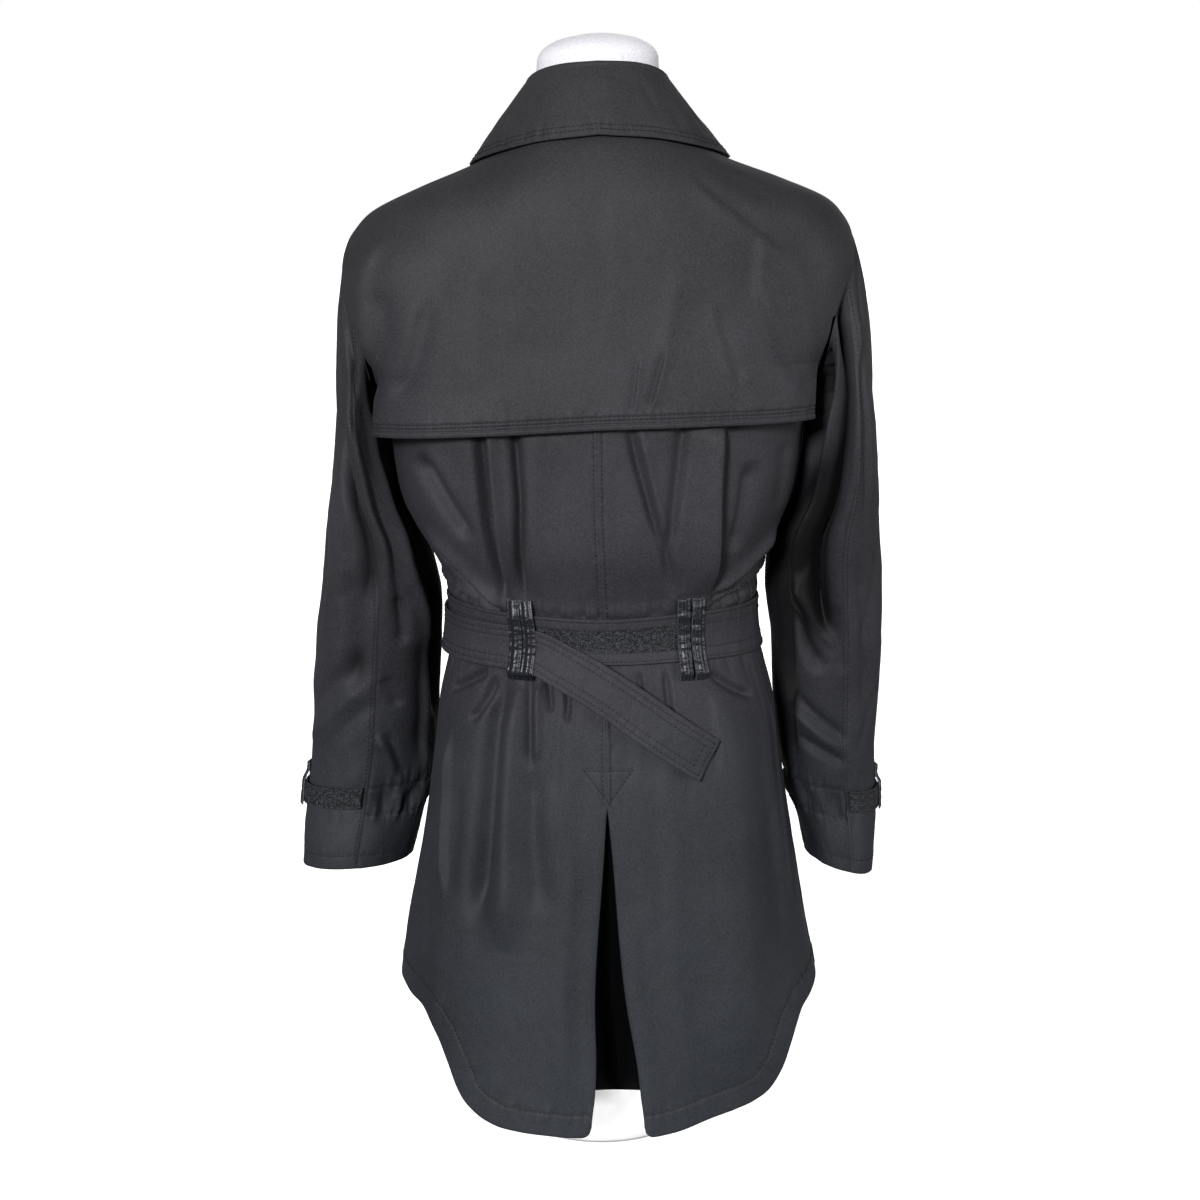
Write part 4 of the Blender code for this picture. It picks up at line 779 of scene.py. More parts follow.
def padEnds(points, normals, thick, axis):
    points, normals = np.moveaxis(points, axis, 0), np.moveaxis(normals, axis, 0)
    added = []
    for end, other in ((0, 1), (-1, -2)):
        away = points[end] - points[other]
        away = away - normals[end] * np.sum(away * normals[end], axis=-1, keepdims=True)
        away = away / np.maximum(np.linalg.norm(away, axis=-1, keepdims=True), 1e-9)
        first = points[end] + away * thick * 0.20 - normals[end] * thick * 0.18
        second = points[end] + away * thick * 0.28 - normals[end] * thick * 0.55
        added.append((first, second))
    (low1, low2), (high1, high2) = added
    points = np.concatenate([[low2, low1], points, [high1, high2]])
    normals = np.concatenate([normals[:1], normals[:1], normals, normals[-1:], normals[-1:]])
    return np.moveaxis(points, 0, axis), np.moveaxis(normals, 0, axis)


def padUv(uv, axis):
    uv = np.moveaxis(uv, axis, 0)
    uv = np.concatenate([uv[:1], uv[:1], uv, uv[-1:], uv[-1:]])
    return np.moveaxis(uv, 0, axis)


def meshPiece(name, points, faces, material, uv=None, sharp=60, moreMaterials=(), faceMaterial=None):
    mesh = bpy.data.meshes.new(name)
    mesh.from_pydata(np.asarray(points).tolist(), [], faces)
    mesh.update()
    if uv is not None:
        layer = mesh.uv_layers.new(name="UVMap")
        corner = np.empty(len(mesh.loops), dtype=np.int32)
        mesh.loops.foreach_get("vertex_index", corner)
        layer.data.foreach_set("uv", np.asarray(uv, float)[corner].ravel())
    mesh.materials.append(material)
    for extra in moreMaterials:
        mesh.materials.append(extra)
    if faceMaterial is not None:
        mesh.polygons.foreach_set("material_index", np.asarray(faceMaterial, dtype=np.int32))
    mesh.shade_smooth()
    mesh.set_sharp_from_angle(angle=math.radians(sharp))
    piece = bpy.data.objects.new(name, mesh)
    bpy.context.scene.collection.objects.link(piece)
    return piece


def quadsOf(index):
    quads = [index[:-1, :-1], index[:-1, 1:], index[1:, 1:], index[1:, :-1]]
    return np.stack(quads, axis=-1).reshape(-1, 4)


innerStep = 3  # the inner face has every third row and column


def shell(name, outer, normals, thick, material, uv, ring=False, rimMaterial=None, picked=None, deep=None):
    coarse = (slice(None, None, innerStep), slice(None, None, innerStep))
    inner = outer[coarse] - normals[coarse] * thick
    innerUv = uv[coarse]
    fine, fineNormals = padEnds(outer, normals, thick, 0)
    fineUv = padUv(uv, 0)
    if not ring:
        fine, fineNormals = padEnds(fine, fineNormals, thick, 1)
        fineUv = padUv(fineUv, 1)
    tall, wide = fine.shape[:2]
    tallIn, wideIn = inner.shape[:2]
    index = np.arange(tall * wide).reshape(tall, wide)
    indexIn = tall * wide + np.arange(tallIn * wideIn).reshape(tallIn, wideIn)
    if ring:
        index = np.concatenate([index, index[:, :1]], axis=1)
        indexIn = np.concatenate([indexIn, indexIn[:, :1]], axis=1)
    quads = quadsOf(index)
    quadsIn = quadsOf(indexIn)[:, [0, 3, 2, 1]]
    rims = []

    def joinRim(fineLine, coarseLine, rising, padded):
        lead = 2 if padded else 0
        last = len(coarseLine) - 2
        for j in range(len(coarseLine) - 1):
            start = 0 if j == 0 else lead + j * innerStep
            stop = len(fineLine) if j == last else lead + (j + 1) * innerStep + 1
            line = list(fineLine[start:stop])
            if rising:
                rims.append(line + [coarseLine[j + 1], coarseLine[j]])
            else:
                rims.append(line[::-1] + [coarseLine[j], coarseLine[j + 1]])

    joinRim(index[0].tolist(), indexIn[0].tolist(), False, not ring)
    joinRim(index[-1].tolist(), indexIn[-1].tolist(), True, not ring)
    if not ring:
        joinRim(index[:, 0].tolist(), indexIn[:, 0].tolist(), True, True)
        joinRim(index[:, -1].tolist(), indexIn[:, -1].tolist(), False, True)
    faces = quads.tolist() + quadsIn.tolist() + rims
    points = np.concatenate([fine.reshape(-1, 3), inner.reshape(-1, 3)])
    a, b, c, d = [points[quads[:, k]] for k in range(4)]
    facing = np.sum(np.cross(c - a, d - b) * (fineNormals.reshape(-1, 3)[quads[:, 0]]))
    if facing < 0:
        faces = [face[::-1] for face in faces]
    allUv = np.concatenate([fineUv.reshape(-1, 2), innerUv.reshape(-1, 2)])
    slots = None
    more = ()
    if picked is not None:
        grid = np.pad(np.asarray(picked, int), ((2, 2), (0, 0) if ring else (2, 2)), mode="edge")
        grid = grid[: tall - 1, : index.shape[1] - 1]
        slots = np.concatenate([grid.ravel(), np.zeros(len(quadsIn) + len(rims), int)])
        more = (rimMaterial,)
    elif rimMaterial:
        grid = np.zeros((tall - 1, index.shape[1] - 1), int)
        grid[[0, -1]] = 1
        if not ring:
            grid[:, [0, -1]] = 1
        slots = np.concatenate([grid.ravel(), np.zeros(len(quadsIn), int), np.ones(len(rims), int)])
        more = (rimMaterial,)
    piece = meshPiece(name, points, faces, material, allUv, 75, more, slots)
    if deep is not None:
        # painted shade: how dark each point is painted, from how deep it lies in a fold and from the coat
        # side's shade; the cloth's material reads it
        wider = padUv(deep, 0) if ring else padUv(padUv(deep, 0), 1)
        layer = piece.data.attributes.new("paintedShade", "FLOAT", "POINT")
        layer.data.foreach_set("value", np.concatenate([wider.ravel(), deep[coarse].ravel()]))
    return piece


def settle(piece, slotName, *nodes):
    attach(piece, "root")
    if nodes:
        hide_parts(*nodes)


def surfaceArea(points):
    side = np.cross(points[1:, 1:] - points[:-1, :-1], points[1:, :-1] - points[:-1, 1:])
    return float(np.sum(np.linalg.norm(side, axis=-1)) / 2)


clothPieces = []


def clothPiece(name, node, outer, normal, uv, sheet, thick=coat["cloth"], material=clothMaterial, **look):
    # sheet gives the flat size of its cut, how it is held and what it rests on
    slotName = "strap_tape" if material == tapeMaterial else "coat_cloth"
    piece = shell(name, posed(outer), posedTurn(outer, normal), thick, material, uv, **look)
    settle(piece, slotName, node)
    clothPieces.append((piece, surfaceArea(outer), *sheet))


stitchPaths = {"coatThread": [], "paleThread": []}


def addStitches(colour, points, normals, lift=0.00042):
    stitchPaths[colour].append(posed(points + normals * lift))


def stitchBody(angle, z, lift):
    # a row on the body's surface, raised as the cloth is there
    normal = normalsOf(bodyBase, angle, z)
    addStitches("coatThread", bodyBase(angle, z) + normal * lift[:, None], normal)


# The body's panels


def sideAngle(z, face):
    seam = np.degrees(0.5 * coat["seam"] / readTable(bodyRows, "halfWidth", z))
    inside = (z > coat["armholeBottom"]) & (z < coat["shoulderTip"])
    return np.maximum(seam, readTable(armholeRows, face, z) * inside)


def topEdge(share, face, middle):
    neck = neckBackRows if face == "back" else neckFrontRows
    roundNeck = np.clip(share / coat["neckShare"], 0, 1)
    alongShoulder = np.clip((share - coat["neckShare"]) / (1 - coat["neckShare"]), 0, 1)
    angle = middle * (1 - roundNeck)
    tip = float(readTable(bodyRows, "halfWidth", coat["shoulderTip"]))
    neckX = float(readTable(bodyRows, "halfWidth", coat["neckSide"]))
    x = neckX + (tip - neckX) * alongShoulder
    heights = np.linspace(coat["shoulderTip"], coat["neckSide"], 60)
    shoulderZ = np.interp(-x, -readTable(bodyRows, "halfWidth", heights), heights)
    z = np.where(share <= coat["neckShare"], readTable(neck, "z", angle), shoulderZ)
    return angle, z, alongShoulder


def upperRows(face, share, steps, middleAngle, leastSide=0.0):
    neck = neckBackRows if face == "back" else neckFrontRows
    topAngle, topZ, alongShoulder = topEdge(share, face, middleAngle(neck[1][-1][1]))
    angles, heights = [], []
    for step in steps:
        z = coat["armholeBottom"] + (topZ - coat["armholeBottom"]) * step
        side = float(sideAngle(z[-1], face))
        if z[-1] < coat["looseTop"]:
            side = max(side, leastSide)
        middle = middleAngle(float(z[0]))
        level = middle + (side - middle) * share
        seam = np.degrees(0.5 * coat["seam"] / readTable(bodyRows, "halfWidth", z))
        edge = np.maximum(topAngle, seam) + side * alongShoulder * (step < 1)
        angle = level + (edge - level) * step**2.2
        angle[-1] = side if step < 1 else seam[-1]
        angles.append(angle)
        heights.append(z)
    return angles, heights


def evenSteps(start, stop, count, easeIn=0.0):
    share = np.linspace(0, 1, count)
    return start + (stop - start) * ((1 - easeIn) * share + easeIn * share**2)


def panelRows(face, side, look, middleX):
    share = np.linspace(0, 1, look["columns"])
    levels = np.linspace(0.02, 0.94, 185)
    middleAngles = np.abs(angleAt(np.array([middleX(z) for z in levels]), levels, face))

    def middleAngle(z):
        return np.interp(z, levels, middleAngles)

    angles, heights = [], []
    for step in evenSteps(0, 1, look["skirtRows"], 0.45)[:-1]:
        z = np.full(len(share), 0.2)
        for _ in range(4):
            angle = middleAngle(z[0]) * (1 - share) + sideAngle(z, face) * share
            hem = readTable(hemRows, side, angle)
            z = hem + (coat["skirtTop"] - hem) * step
        angles.append(angle)
        heights.append(z)
    for level in np.linspace(coat["skirtTop"], coat["armholeBottom"] - 0.001, look["waistRows"]):
        z = np.full(len(share), level)
        angles.append(middleAngle(level) * (1 - share) + sideAngle(z, face) * share)
        heights.append(z)
    steps = np.linspace(0.02, 1.0, look["topRows"])
    moreAngles, moreHeights = upperRows(face, share, steps, middleAngle)
    return np.array(angles + moreAngles), np.array(heights + moreHeights)


def facing(angle, face, side):
    sign = 1 if face == "back" else -1
    return sign * (angle if side == "left" else 180 - angle)


pleatLook = {
    "left": 0.0205,  # each panel's edge from the middle at the hem
    "right": 0.0262,
    "depth": 0.058,
    "edgeRoll": 0.0022,  # how softly the fold's edge turns in
    "hemSlope": 0.40,  # the folded cloth hangs lower, the deeper it lies
    "hemDepth": 0.103,
}


def pleatEdge(side):
    def place(z):
        share = min(max((coat["pleatTop"] - z) / (coat["pleatTop"] - coat["hemMiddle"]), 0), 1)
        start = 0.5 * coat["gap"] + pleatLook[side] * share
        return start + 0.0007 * float(ramp(0.0, 0.006, coat["pleatTop"] - z))

    return place


hemLook = {
    "width": 0.0205,  # from the edge to the row of stitches
    "scale": 0.180,  # radius that turns angles into lengths along the hem
    "step": 0.00045,
    "pucker": 0.00080,
    "corner": 0.0095,
    "reach": 0.215,  # height above which the hem is far away
    "batch": 3000,  # points measured at a time
}


def hemLine(side, last):
    angle = np.linspace(0, last, 260)
    return np.stack([np.radians(angle) * hemLook["scale"], readTable(hemRows, side, angle)], axis=-1)


def hemField(side, last, angle, z):
    # how far each point lies above the hem's edge, and how far along it
    line = hemLine(side, last)
    spans = line[1:] - line[:-1]
    lengths = np.linalg.norm(spans, axis=1)
    starts = np.concatenate([[0], np.cumsum(lengths)[:-1]])
    flat = np.stack([np.radians(angle).ravel() * hemLook["scale"], z.ravel()], axis=-1)
    away = np.full(len(flat), 1.0)
    along = np.zeros(len(flat))
    low = np.nonzero(flat[:, 1] < hemLook["reach"])[0]
    for part in np.array_split(low, max(len(low) // hemLook["batch"], 1)):
        offset = flat[part][:, None, :] - line[None, :-1, :]
        share = np.clip(np.sum(offset * spans, axis=-1) / lengths**2, 0, 1)
        distance = np.linalg.norm(offset - share[..., None] * spans, axis=-1)
        best = np.argmin(distance, axis=1)
        away[part] = distance[np.arange(len(part)), best]
        along[part] = starts[best] + share[np.arange(len(part)), best] * lengths[best]
    return away.reshape(angle.shape), along.reshape(angle.shape)


def hemLift(away, along):
    groove = -0.00060 * bump(hemLook["width"], 0.0014, away)
    band = hemLook["step"] * (1 - ramp(hemLook["width"] - 0.001, hemLook["width"] + 0.001, away))
    wrinkle = softNoise(along / 0.0036, away / 0.020, 41) + 0.6 * softNoise(along / 0.0080, away / 0.030, 42)
    pucker = hemLook["pucker"] * wrinkle * bump(hemLook["width"] - 0.001, 0.0085, away)
    edge = -0.0003 * bump(0.0, 0.0012, away)
    return groove + band + pucker + edge


def hemStitches(side, face, last, liftAt):
    line = hemLine(side, last)
    across = np.gradient(line, axis=0)
    across = unit(across)
    inward = np.stack([-across[:, 1], across[:, 0]], axis=-1)
    inward = inward * np.where(inward[:, 1:] < 0, -1, 1)
    path = line + inward * hemLook["width"]
    angle, z = np.degrees(path[:, 0] / hemLook["scale"]), path[:, 1]
    keep = angle > 1.0
    if face == "back":
        edge = np.array([pleatEdge(side)(level) for level in z])
        keep = keep & (np.abs(bodyBase(angle, z)[..., 0]) > edge + 0.0015)
    angle, z = angle[keep], z[keep]
    turned = facing(angle, face, side)
    stitchBody(turned, z, liftAt(turned, angle, z))


seamLook = {
    "row": 0.0036,
    "ridge": 0.00040,
    "groove": 0.00055,
    "triangle": ((0.0198, 0.3678), (-0.0232, 0.3687), (-0.0019, 0.3390)),
    "rowParts": ((0.334, 0.458), (0.505, 0.672)),  # heights of its rows, below and above the belt
}


def centreSeamLift(x, z):
    # the seam allowance pressed under the middle of the back, and its two rows of stitches
    above = ramp(coat["pleatTop"] - 0.002, coat["pleatTop"] + 0.004, z)
    ridge = seamLook["ridge"] * (1 - ramp(seamLook["row"] - 0.0006, seamLook["row"] + 0.0006, np.abs(x)))
    groove = -seamLook["groove"] * bump(seamLook["row"], 0.0009, np.abs(x))
    wrinkle = 0.00045 * softNoise(z / 0.0040, x / 0.004, 51) * bump(seamLook["row"], 0.0035, np.abs(x))
    return (ridge + groove + wrinkle) * above


def triangleLines():
    corners = [*seamLook["triangle"], seamLook["triangle"][0]]
    lines = []
    for (x0, z0), (x1, z1) in zip(corners[:-1], corners[1:]):
        share = np.linspace(0, 1, 30)
        lines.append((x0 + (x1 - x0) * share, z0 + (z1 - z0) * share))
    return lines


def triangleLift(x, z):
    lift = 0 * x
    for xs, zs in triangleLines():
        dx, dz = xs[-1] - xs[0], zs[-1] - zs[0]
        length = math.hypot(dx, dz)
        share = np.clip(((x - xs[0]) * dx + (z - zs[0]) * dz) / length**2, 0, 1)
        distance = np.hypot(x - xs[0] - share * dx, z - zs[0] - share * dz)
        lift = np.minimum(lift, -0.00050 * bump(0, 0.0013, distance))
    return lift


def backLift(turned, fromSide, z, side):
    x = bodyBase(turned, z)[..., 0]
    away, along = hemField(side, 90, fromSide, z)
    lift = bodyLift(turned, z) + hemLift(away, along) + centreSeamLift(x, z) + triangleLift(x, z)
    under = np.minimum(flapLift(turned, z) - 0.0004, 0) * ramp(0.664, 0.672, z)
    return lift + under


backLook = {
    "columns": 160,
    "skirtRows": 170,
    "waistRows": 166,
    "topRows": 13,
    "sheet": ((0.34, 0.93), "draped", ["form_torso"]),
}


def makeBack(side):
    angle, z = panelRows("back", side, backLook, pleatEdge(side))
    turned = facing(angle, "back", side)
    # The corner beside the pleat is rounded.
    radius = hemLook["corner"]
    fromCorner = np.abs(bodyBase(turned, z)[..., 0]) - np.abs(bodyBase(turned, z)[:, :1, 0])
    missing = np.clip(1 - np.abs(fromCorner) / radius, 0, 1)
    z = z + radius * (1 - np.sqrt(1 - missing**2)) * (1 - ramp(0.0, 0.040, z - z[:1]))
    base, normal = bodyBase(turned, z), normalsOf(bodyBase, turned, z)
    lift = backLift(turned, angle, z, side)
    # The pleat's folded edge turns in softly.
    fold = np.abs(base[..., 0] - base[:, :1, 0])
    below = 1 - ramp(coat["pleatTop"] - 0.030, coat["pleatTop"], z)
    lift = lift - pleatLook["edgeRoll"] * 0.5 * below * np.exp(-fold / 0.0020)
    outer = base + normal * lift[..., None]
    uv = np.stack([np.radians(turned) * coat["meanRadius"], z], axis=-1)
    clothPiece(f"backPanel_{side}", f"back_{side}", outer, normal, uv, backLook["sheet"])
    hemStitches(side, "back", 86 if side == "left" else 84, lambda t, a, h: backLift(t, a, h, side))
    sign = 1 if side == "left" else -1
    heights = np.linspace(coat["pleatTop"] + 0.006, seamLook["rowParts"][-1][1], 170)
    for low, high in seamLook["rowParts"]:
        part = heights[(heights > low) & (heights < high)]
        turnedRow = angleAt(sign * seamLook["row"], part, "back")
        fromSide = turnedRow if side == "left" else 180 - turnedRow
        stitchBody(turnedRow, part, backLift(turnedRow, fromSide, part, side))


for side in ("left", "right"):
    makeBack(side)
for xs, zs in triangleLines():
    turned = angleAt(xs, zs, "back")
    fromSide = np.where(turned < 90, turned, 180 - turned)
    stitchBody(turned, zs, backLift(turned, fromSide, zs, "left"))
print("back panels: made")

frontLook = {
    "columns": 94,
    "skirtRows": 88,
    "waistRows": 106,
    "topRows": 70,
    "overlap": 0.075,
    "neckOverlap": 0.042,
    "edgeRow": 0.006,  # of the front edge's stitches
    "rowParts": ((0.045, 0.455), (0.512, 0.86)),  # their heights, below and above the belt
    "sheet": ((0.42, 0.90), "draped", ["form_torso"]),
}


def frontOut(angle, z, side):
    if side == "left":
        return 0 * angle
    base = bodyBase(angle, z)
    return coat["lap"] * ramp(-0.125, -0.100, base[..., 0]) * ramp(0.005, 0.045, -base[..., 1])


def lapOut(angle, z):
    # how far the two fronts, where they lap, stand outside the body's surface
    base = bodyBase(angle, z)
    x, y = base[..., 0], base[..., 1]
    return coat["lap"] * ramp(-0.131, -0.106, x) * (1 - ramp(0.080, 0.100, x)) * ramp(0.005, 0.045, -y)


def frontLift(turned, fromSide, z, side):
    away, along = hemField(side, 130, fromSide, z)
    return bodyLift(turned, z) + hemLift(away, along) + frontOut(turned, z, side)


def pastMiddle(z):
    narrower = frontLook["overlap"] - frontLook["neckOverlap"]
    return -frontLook["overlap"] + narrower * float(ramp(0.800, 0.885, z))


def makeFront(side):
    angle, z = panelRows("front", side, frontLook, pastMiddle)
    turned = facing(angle, "front", side)
    base, normal = bodyBase(turned, z), normalsOf(bodyBase, turned, z)
    lift = frontLift(turned, angle, z, side)
    fromEdge = np.abs(base[..., 0] - base[:, :1, 0])
    if side == "right":
        # The right front lies on top and has a stitched edge.
        wrinkle = softNoise(z / 0.0045, fromEdge / 0.010, 61)
        lift = lift - 0.0004 * bump(frontLook["edgeRow"], 0.0011, fromEdge)
        lift = lift + 0.00030 * wrinkle * bump(frontLook["edgeRow"], 0.005, fromEdge)
    outer = base + normal * lift[..., None]
    uv = np.stack([np.radians(turned) * coat["meanRadius"], z], axis=-1)
    clothPiece(f"frontPanel_{side}", f"front_{side}", outer, normal, uv, frontLook["sheet"])
    hemStitches(side, "front", 118, lambda t, a, h: frontLift(t, a, h, side))
    if side == "right":
        for low, high in frontLook["rowParts"]:
            part = np.linspace(low, high, 160)
            x = np.array([-pastMiddle(h) for h in part]) - frontLook["edgeRow"]
            row = angleAt(x, part, "front")
            stitchBody(row, part, frontLift(row, 180 + row, part, side))


for side in ("left", "right"):
    makeFront(side)
print("fronts: made")


backNodes = ["back_left", "back_right"]


def makeUnderlay():
    # the cloth behind the pleat: under each panel's edge, then folded in and across
    rows = []
    for z in np.linspace(coat["pleatTop"] + 0.004, coat["pleatHem"], 55):
        openShare = max(coat["pleatTop"] - z, 0) / (coat["pleatTop"] - coat["hemMiddle"])
        left, right = pleatEdge("left")(z), -pleatEdge("right")(z)
        middle = (left + right) / 2
        half = 0.002 + 0.010 * openShare
        lap = 0.006 + 0.026 * openShare
        under = float(readTable(bodyRows, "back", z)) - coat["cloth"] - 0.0018
        deep = under - 0.004 - pleatLook["depth"] * openShare
        turnedIn = lap * openShare
        edge = [(0.0015, 0.0006), (lap / 2, 0.0015 + 0.10 * turnedIn), (lap, 0.0045 + 0.30 * turnedIn)]
        leftPart = [(left + aside, under - inward) for aside, inward in reversed(edge)]
        rightPart = [(right - aside, under - inward) for aside, inward in edge]
        wallDepth = (under + 2 * deep) / 3
        fold = [(middle + half, wallDepth), (middle, deep), (middle - half, wallDepth)]
        line = smoothLine([*leftPart, *fold, *rightPart], 67)
        share = (coat["pleatTop"] + 0.004 - z) / (coat["pleatTop"] + 0.004 - coat["pleatHem"])
        lower = (pleatLook["hemSlope"] * (line[:, 1] - pleatLook["hemDepth"])) * share**2
        rows.append(np.column_stack([line, z + lower]))
    sheet = np.array(rows)
    normal = gridNormals(sheet)
    wave = 0.0004 * softNoise(sheet[..., 0] / 0.012, sheet[..., 2] / 0.05, 71)
    outer = sheet + normal * (coat["cloth"] / 2 + wave)[..., None]
    uv = np.stack([sheet[..., 0] + sheet[..., 1], sheet[..., 2]], axis=-1)
    flat = ((0.26, 0.27), "folded", backNodes)
    # The underlay's cloth is painted near black, as the shade deep in the pleat.
    clothPiece("pleatUnderlay", "pleat_underlay", outer, normal, uv, flat, material=shadedPleatMaterial)


makeUnderlay()
print("pleat underlay: made")

flapLook.update(
    {
        "halfColumns": 133,
        "looseRows": 44,
        "topRows": 84,
        "rows": (0.0078, 0.0112),  # of its stitches above the edge
        "lip": 0.0046,
        "pucker": 0.00085,
        "cornerIn": 0.0065,
        "rise": ((-0.21, 0.0040), (-0.12, 0.0060), (0.0, 0.0068), (0.10, 0.0045), (0.21, 0.0020)),
    }
)


def flapOut(angle, z):
    loose = 1 - ramp(coat["flapEdge"], coat["looseTop"], z)
    lift = flapLift(angle, z)
    away = z - coat["flapEdge"]
    _, across = roundBody(angle)
    edge = -0.00090 * bump(flapLook["lip"], 0.0008, away) + 0.0006 * bump(0.0022, 0.0019, away)
    for row in flapLook["rows"]:
        edge = edge - 0.00075 * bump(row, 0.0009, away)
    wrinkle = softNoise(across / 0.0031, away / 0.020, 81)
    wrinkle = wrinkle + 0.7 * softNoise(across / 0.0070, away / 0.030, 82)
    edge = edge + flapLook["pucker"] * wrinkle * bump(0.0100, 0.0075, away)
    wave = 0.0010 * softNoise(across / 0.030, 0.0, 83) * (1 - ramp(0.0, 0.030, away))
    return coat["cloth"] + 4 * coat["gap"] + 0.0025 * loose**2 + lift + edge + wave


def flapHang(points):
    # The edge is a little higher in the middle, and the corner on the wearer's right further in.
    points = np.array(points, float)
    free = 1 - ramp(coat["flapEdge"], coat["flapEdge"] + 0.080, points[..., 2])
    places, rises = zip(*flapLook["rise"])
    points[..., 2] = points[..., 2] + np.interp(points[..., 0], places, rises) * free
    points[..., 0] = points[..., 0] + flapLook["cornerIn"] * free * ramp(0.120, 0.205, -points[..., 0])
    return points


def makeFlap():
    share = np.linspace(0, 1, flapLook["halfColumns"])
    steps = np.linspace(0.02, 1.0, flapLook["topRows"])
    angles, heights = upperRows("back", share, steps, lambda z: 90.0, flapLook["sideAngle"])
    loose = 90.0 + (flapLook["sideAngle"] - 90.0) * share
    low = evenSteps(coat["flapEdge"], coat["armholeBottom"], flapLook["looseRows"], 0.35)
    angle = np.array([*[loose] * len(low), *angles])
    z = np.array([*[share * 0 + level for level in low], *heights])
    angle[:, -1] = angle[:, -1] + 0.25
    angle = np.concatenate([angle[:, ::-1], 180 - angle[:, 1:]], axis=1)
    z = np.concatenate([z[:, ::-1], z[:, 1:]], axis=1)
    out = flapOut(angle, z)
    base, normal = flapBase(angle, z), normalsOf(flapBase, angle, z)
    outer = flapHang(base + normal * out[..., None])
    uv = np.stack([np.radians(angle) * coat["meanRadius"], z], axis=-1)
    clothPiece("stormFlap", "storm_flap", outer, normal, uv, ((0.50, 0.30), "hung", backNodes))
    for row in flapLook["rows"]:
        path = np.linspace(flapLook["sideAngle"] + 0.8, 180 - flapLook["sideAngle"] - 0.8, 500)
        level = np.full(len(path), coat["flapEdge"] + row)
        pathNormal = normalsOf(flapBase, path, level)
        points = flapBase(path, level) + pathNormal * flapOut(path, level)[:, None]
        addStitches("coatThread", flapHang(points), pathNormal)


makeFlap()
print("storm flap: made")

collarLook = {
    "rollHalfWidth": 0.0605,
    "rollBack": 0.0600,
    "rollFront": 0.0740,
    "rollRadius": 0.0032,
    "lift": 0.0050,
    "columns": 271,
    "fallRows": 46,
    "rows": (0.0052, 0.0092),  # of its stitches above the edge
    "pucker": 0.00075,
    "meanRadius": 0.09,
    # its folds, with angles in place of lengths along it
    "folds": (
        (118, 0.075, 128, 0.020, 0.0045, -0.0012, 0.4, 0.0),
        (140, 0.070, 149, 0.012, 0.0060, 0.0016, 0.3, 0.0),
        (158, 0.060, 164, 0.010, 0.0050, -0.0014, 0.0, 0.0),
        (30, 0.070, 24, 0.014, 0.0070, 0.0012, 0.3, 0.0),
    ),
}
collarRows = (
    ("angle", "edgeZ", "rollZ", "bow"),
    (
        (-84.0, 0.832, 0.917, 0.0240),
        (-68.0, 0.853, 0.925, 0.0200),
        (-45.0, 0.880, 0.942, 0.0120),
        (-20.0, 0.893, 0.960, 0.0050),
        (0.0, 0.899, 0.970, 0.0025),
        (25.0, 0.906, 0.978, 0.0050),
        (55.0, 0.915, 0.984, 0.0070),
        (90.0, 0.920, 0.986, 0.0080),
    ),
)


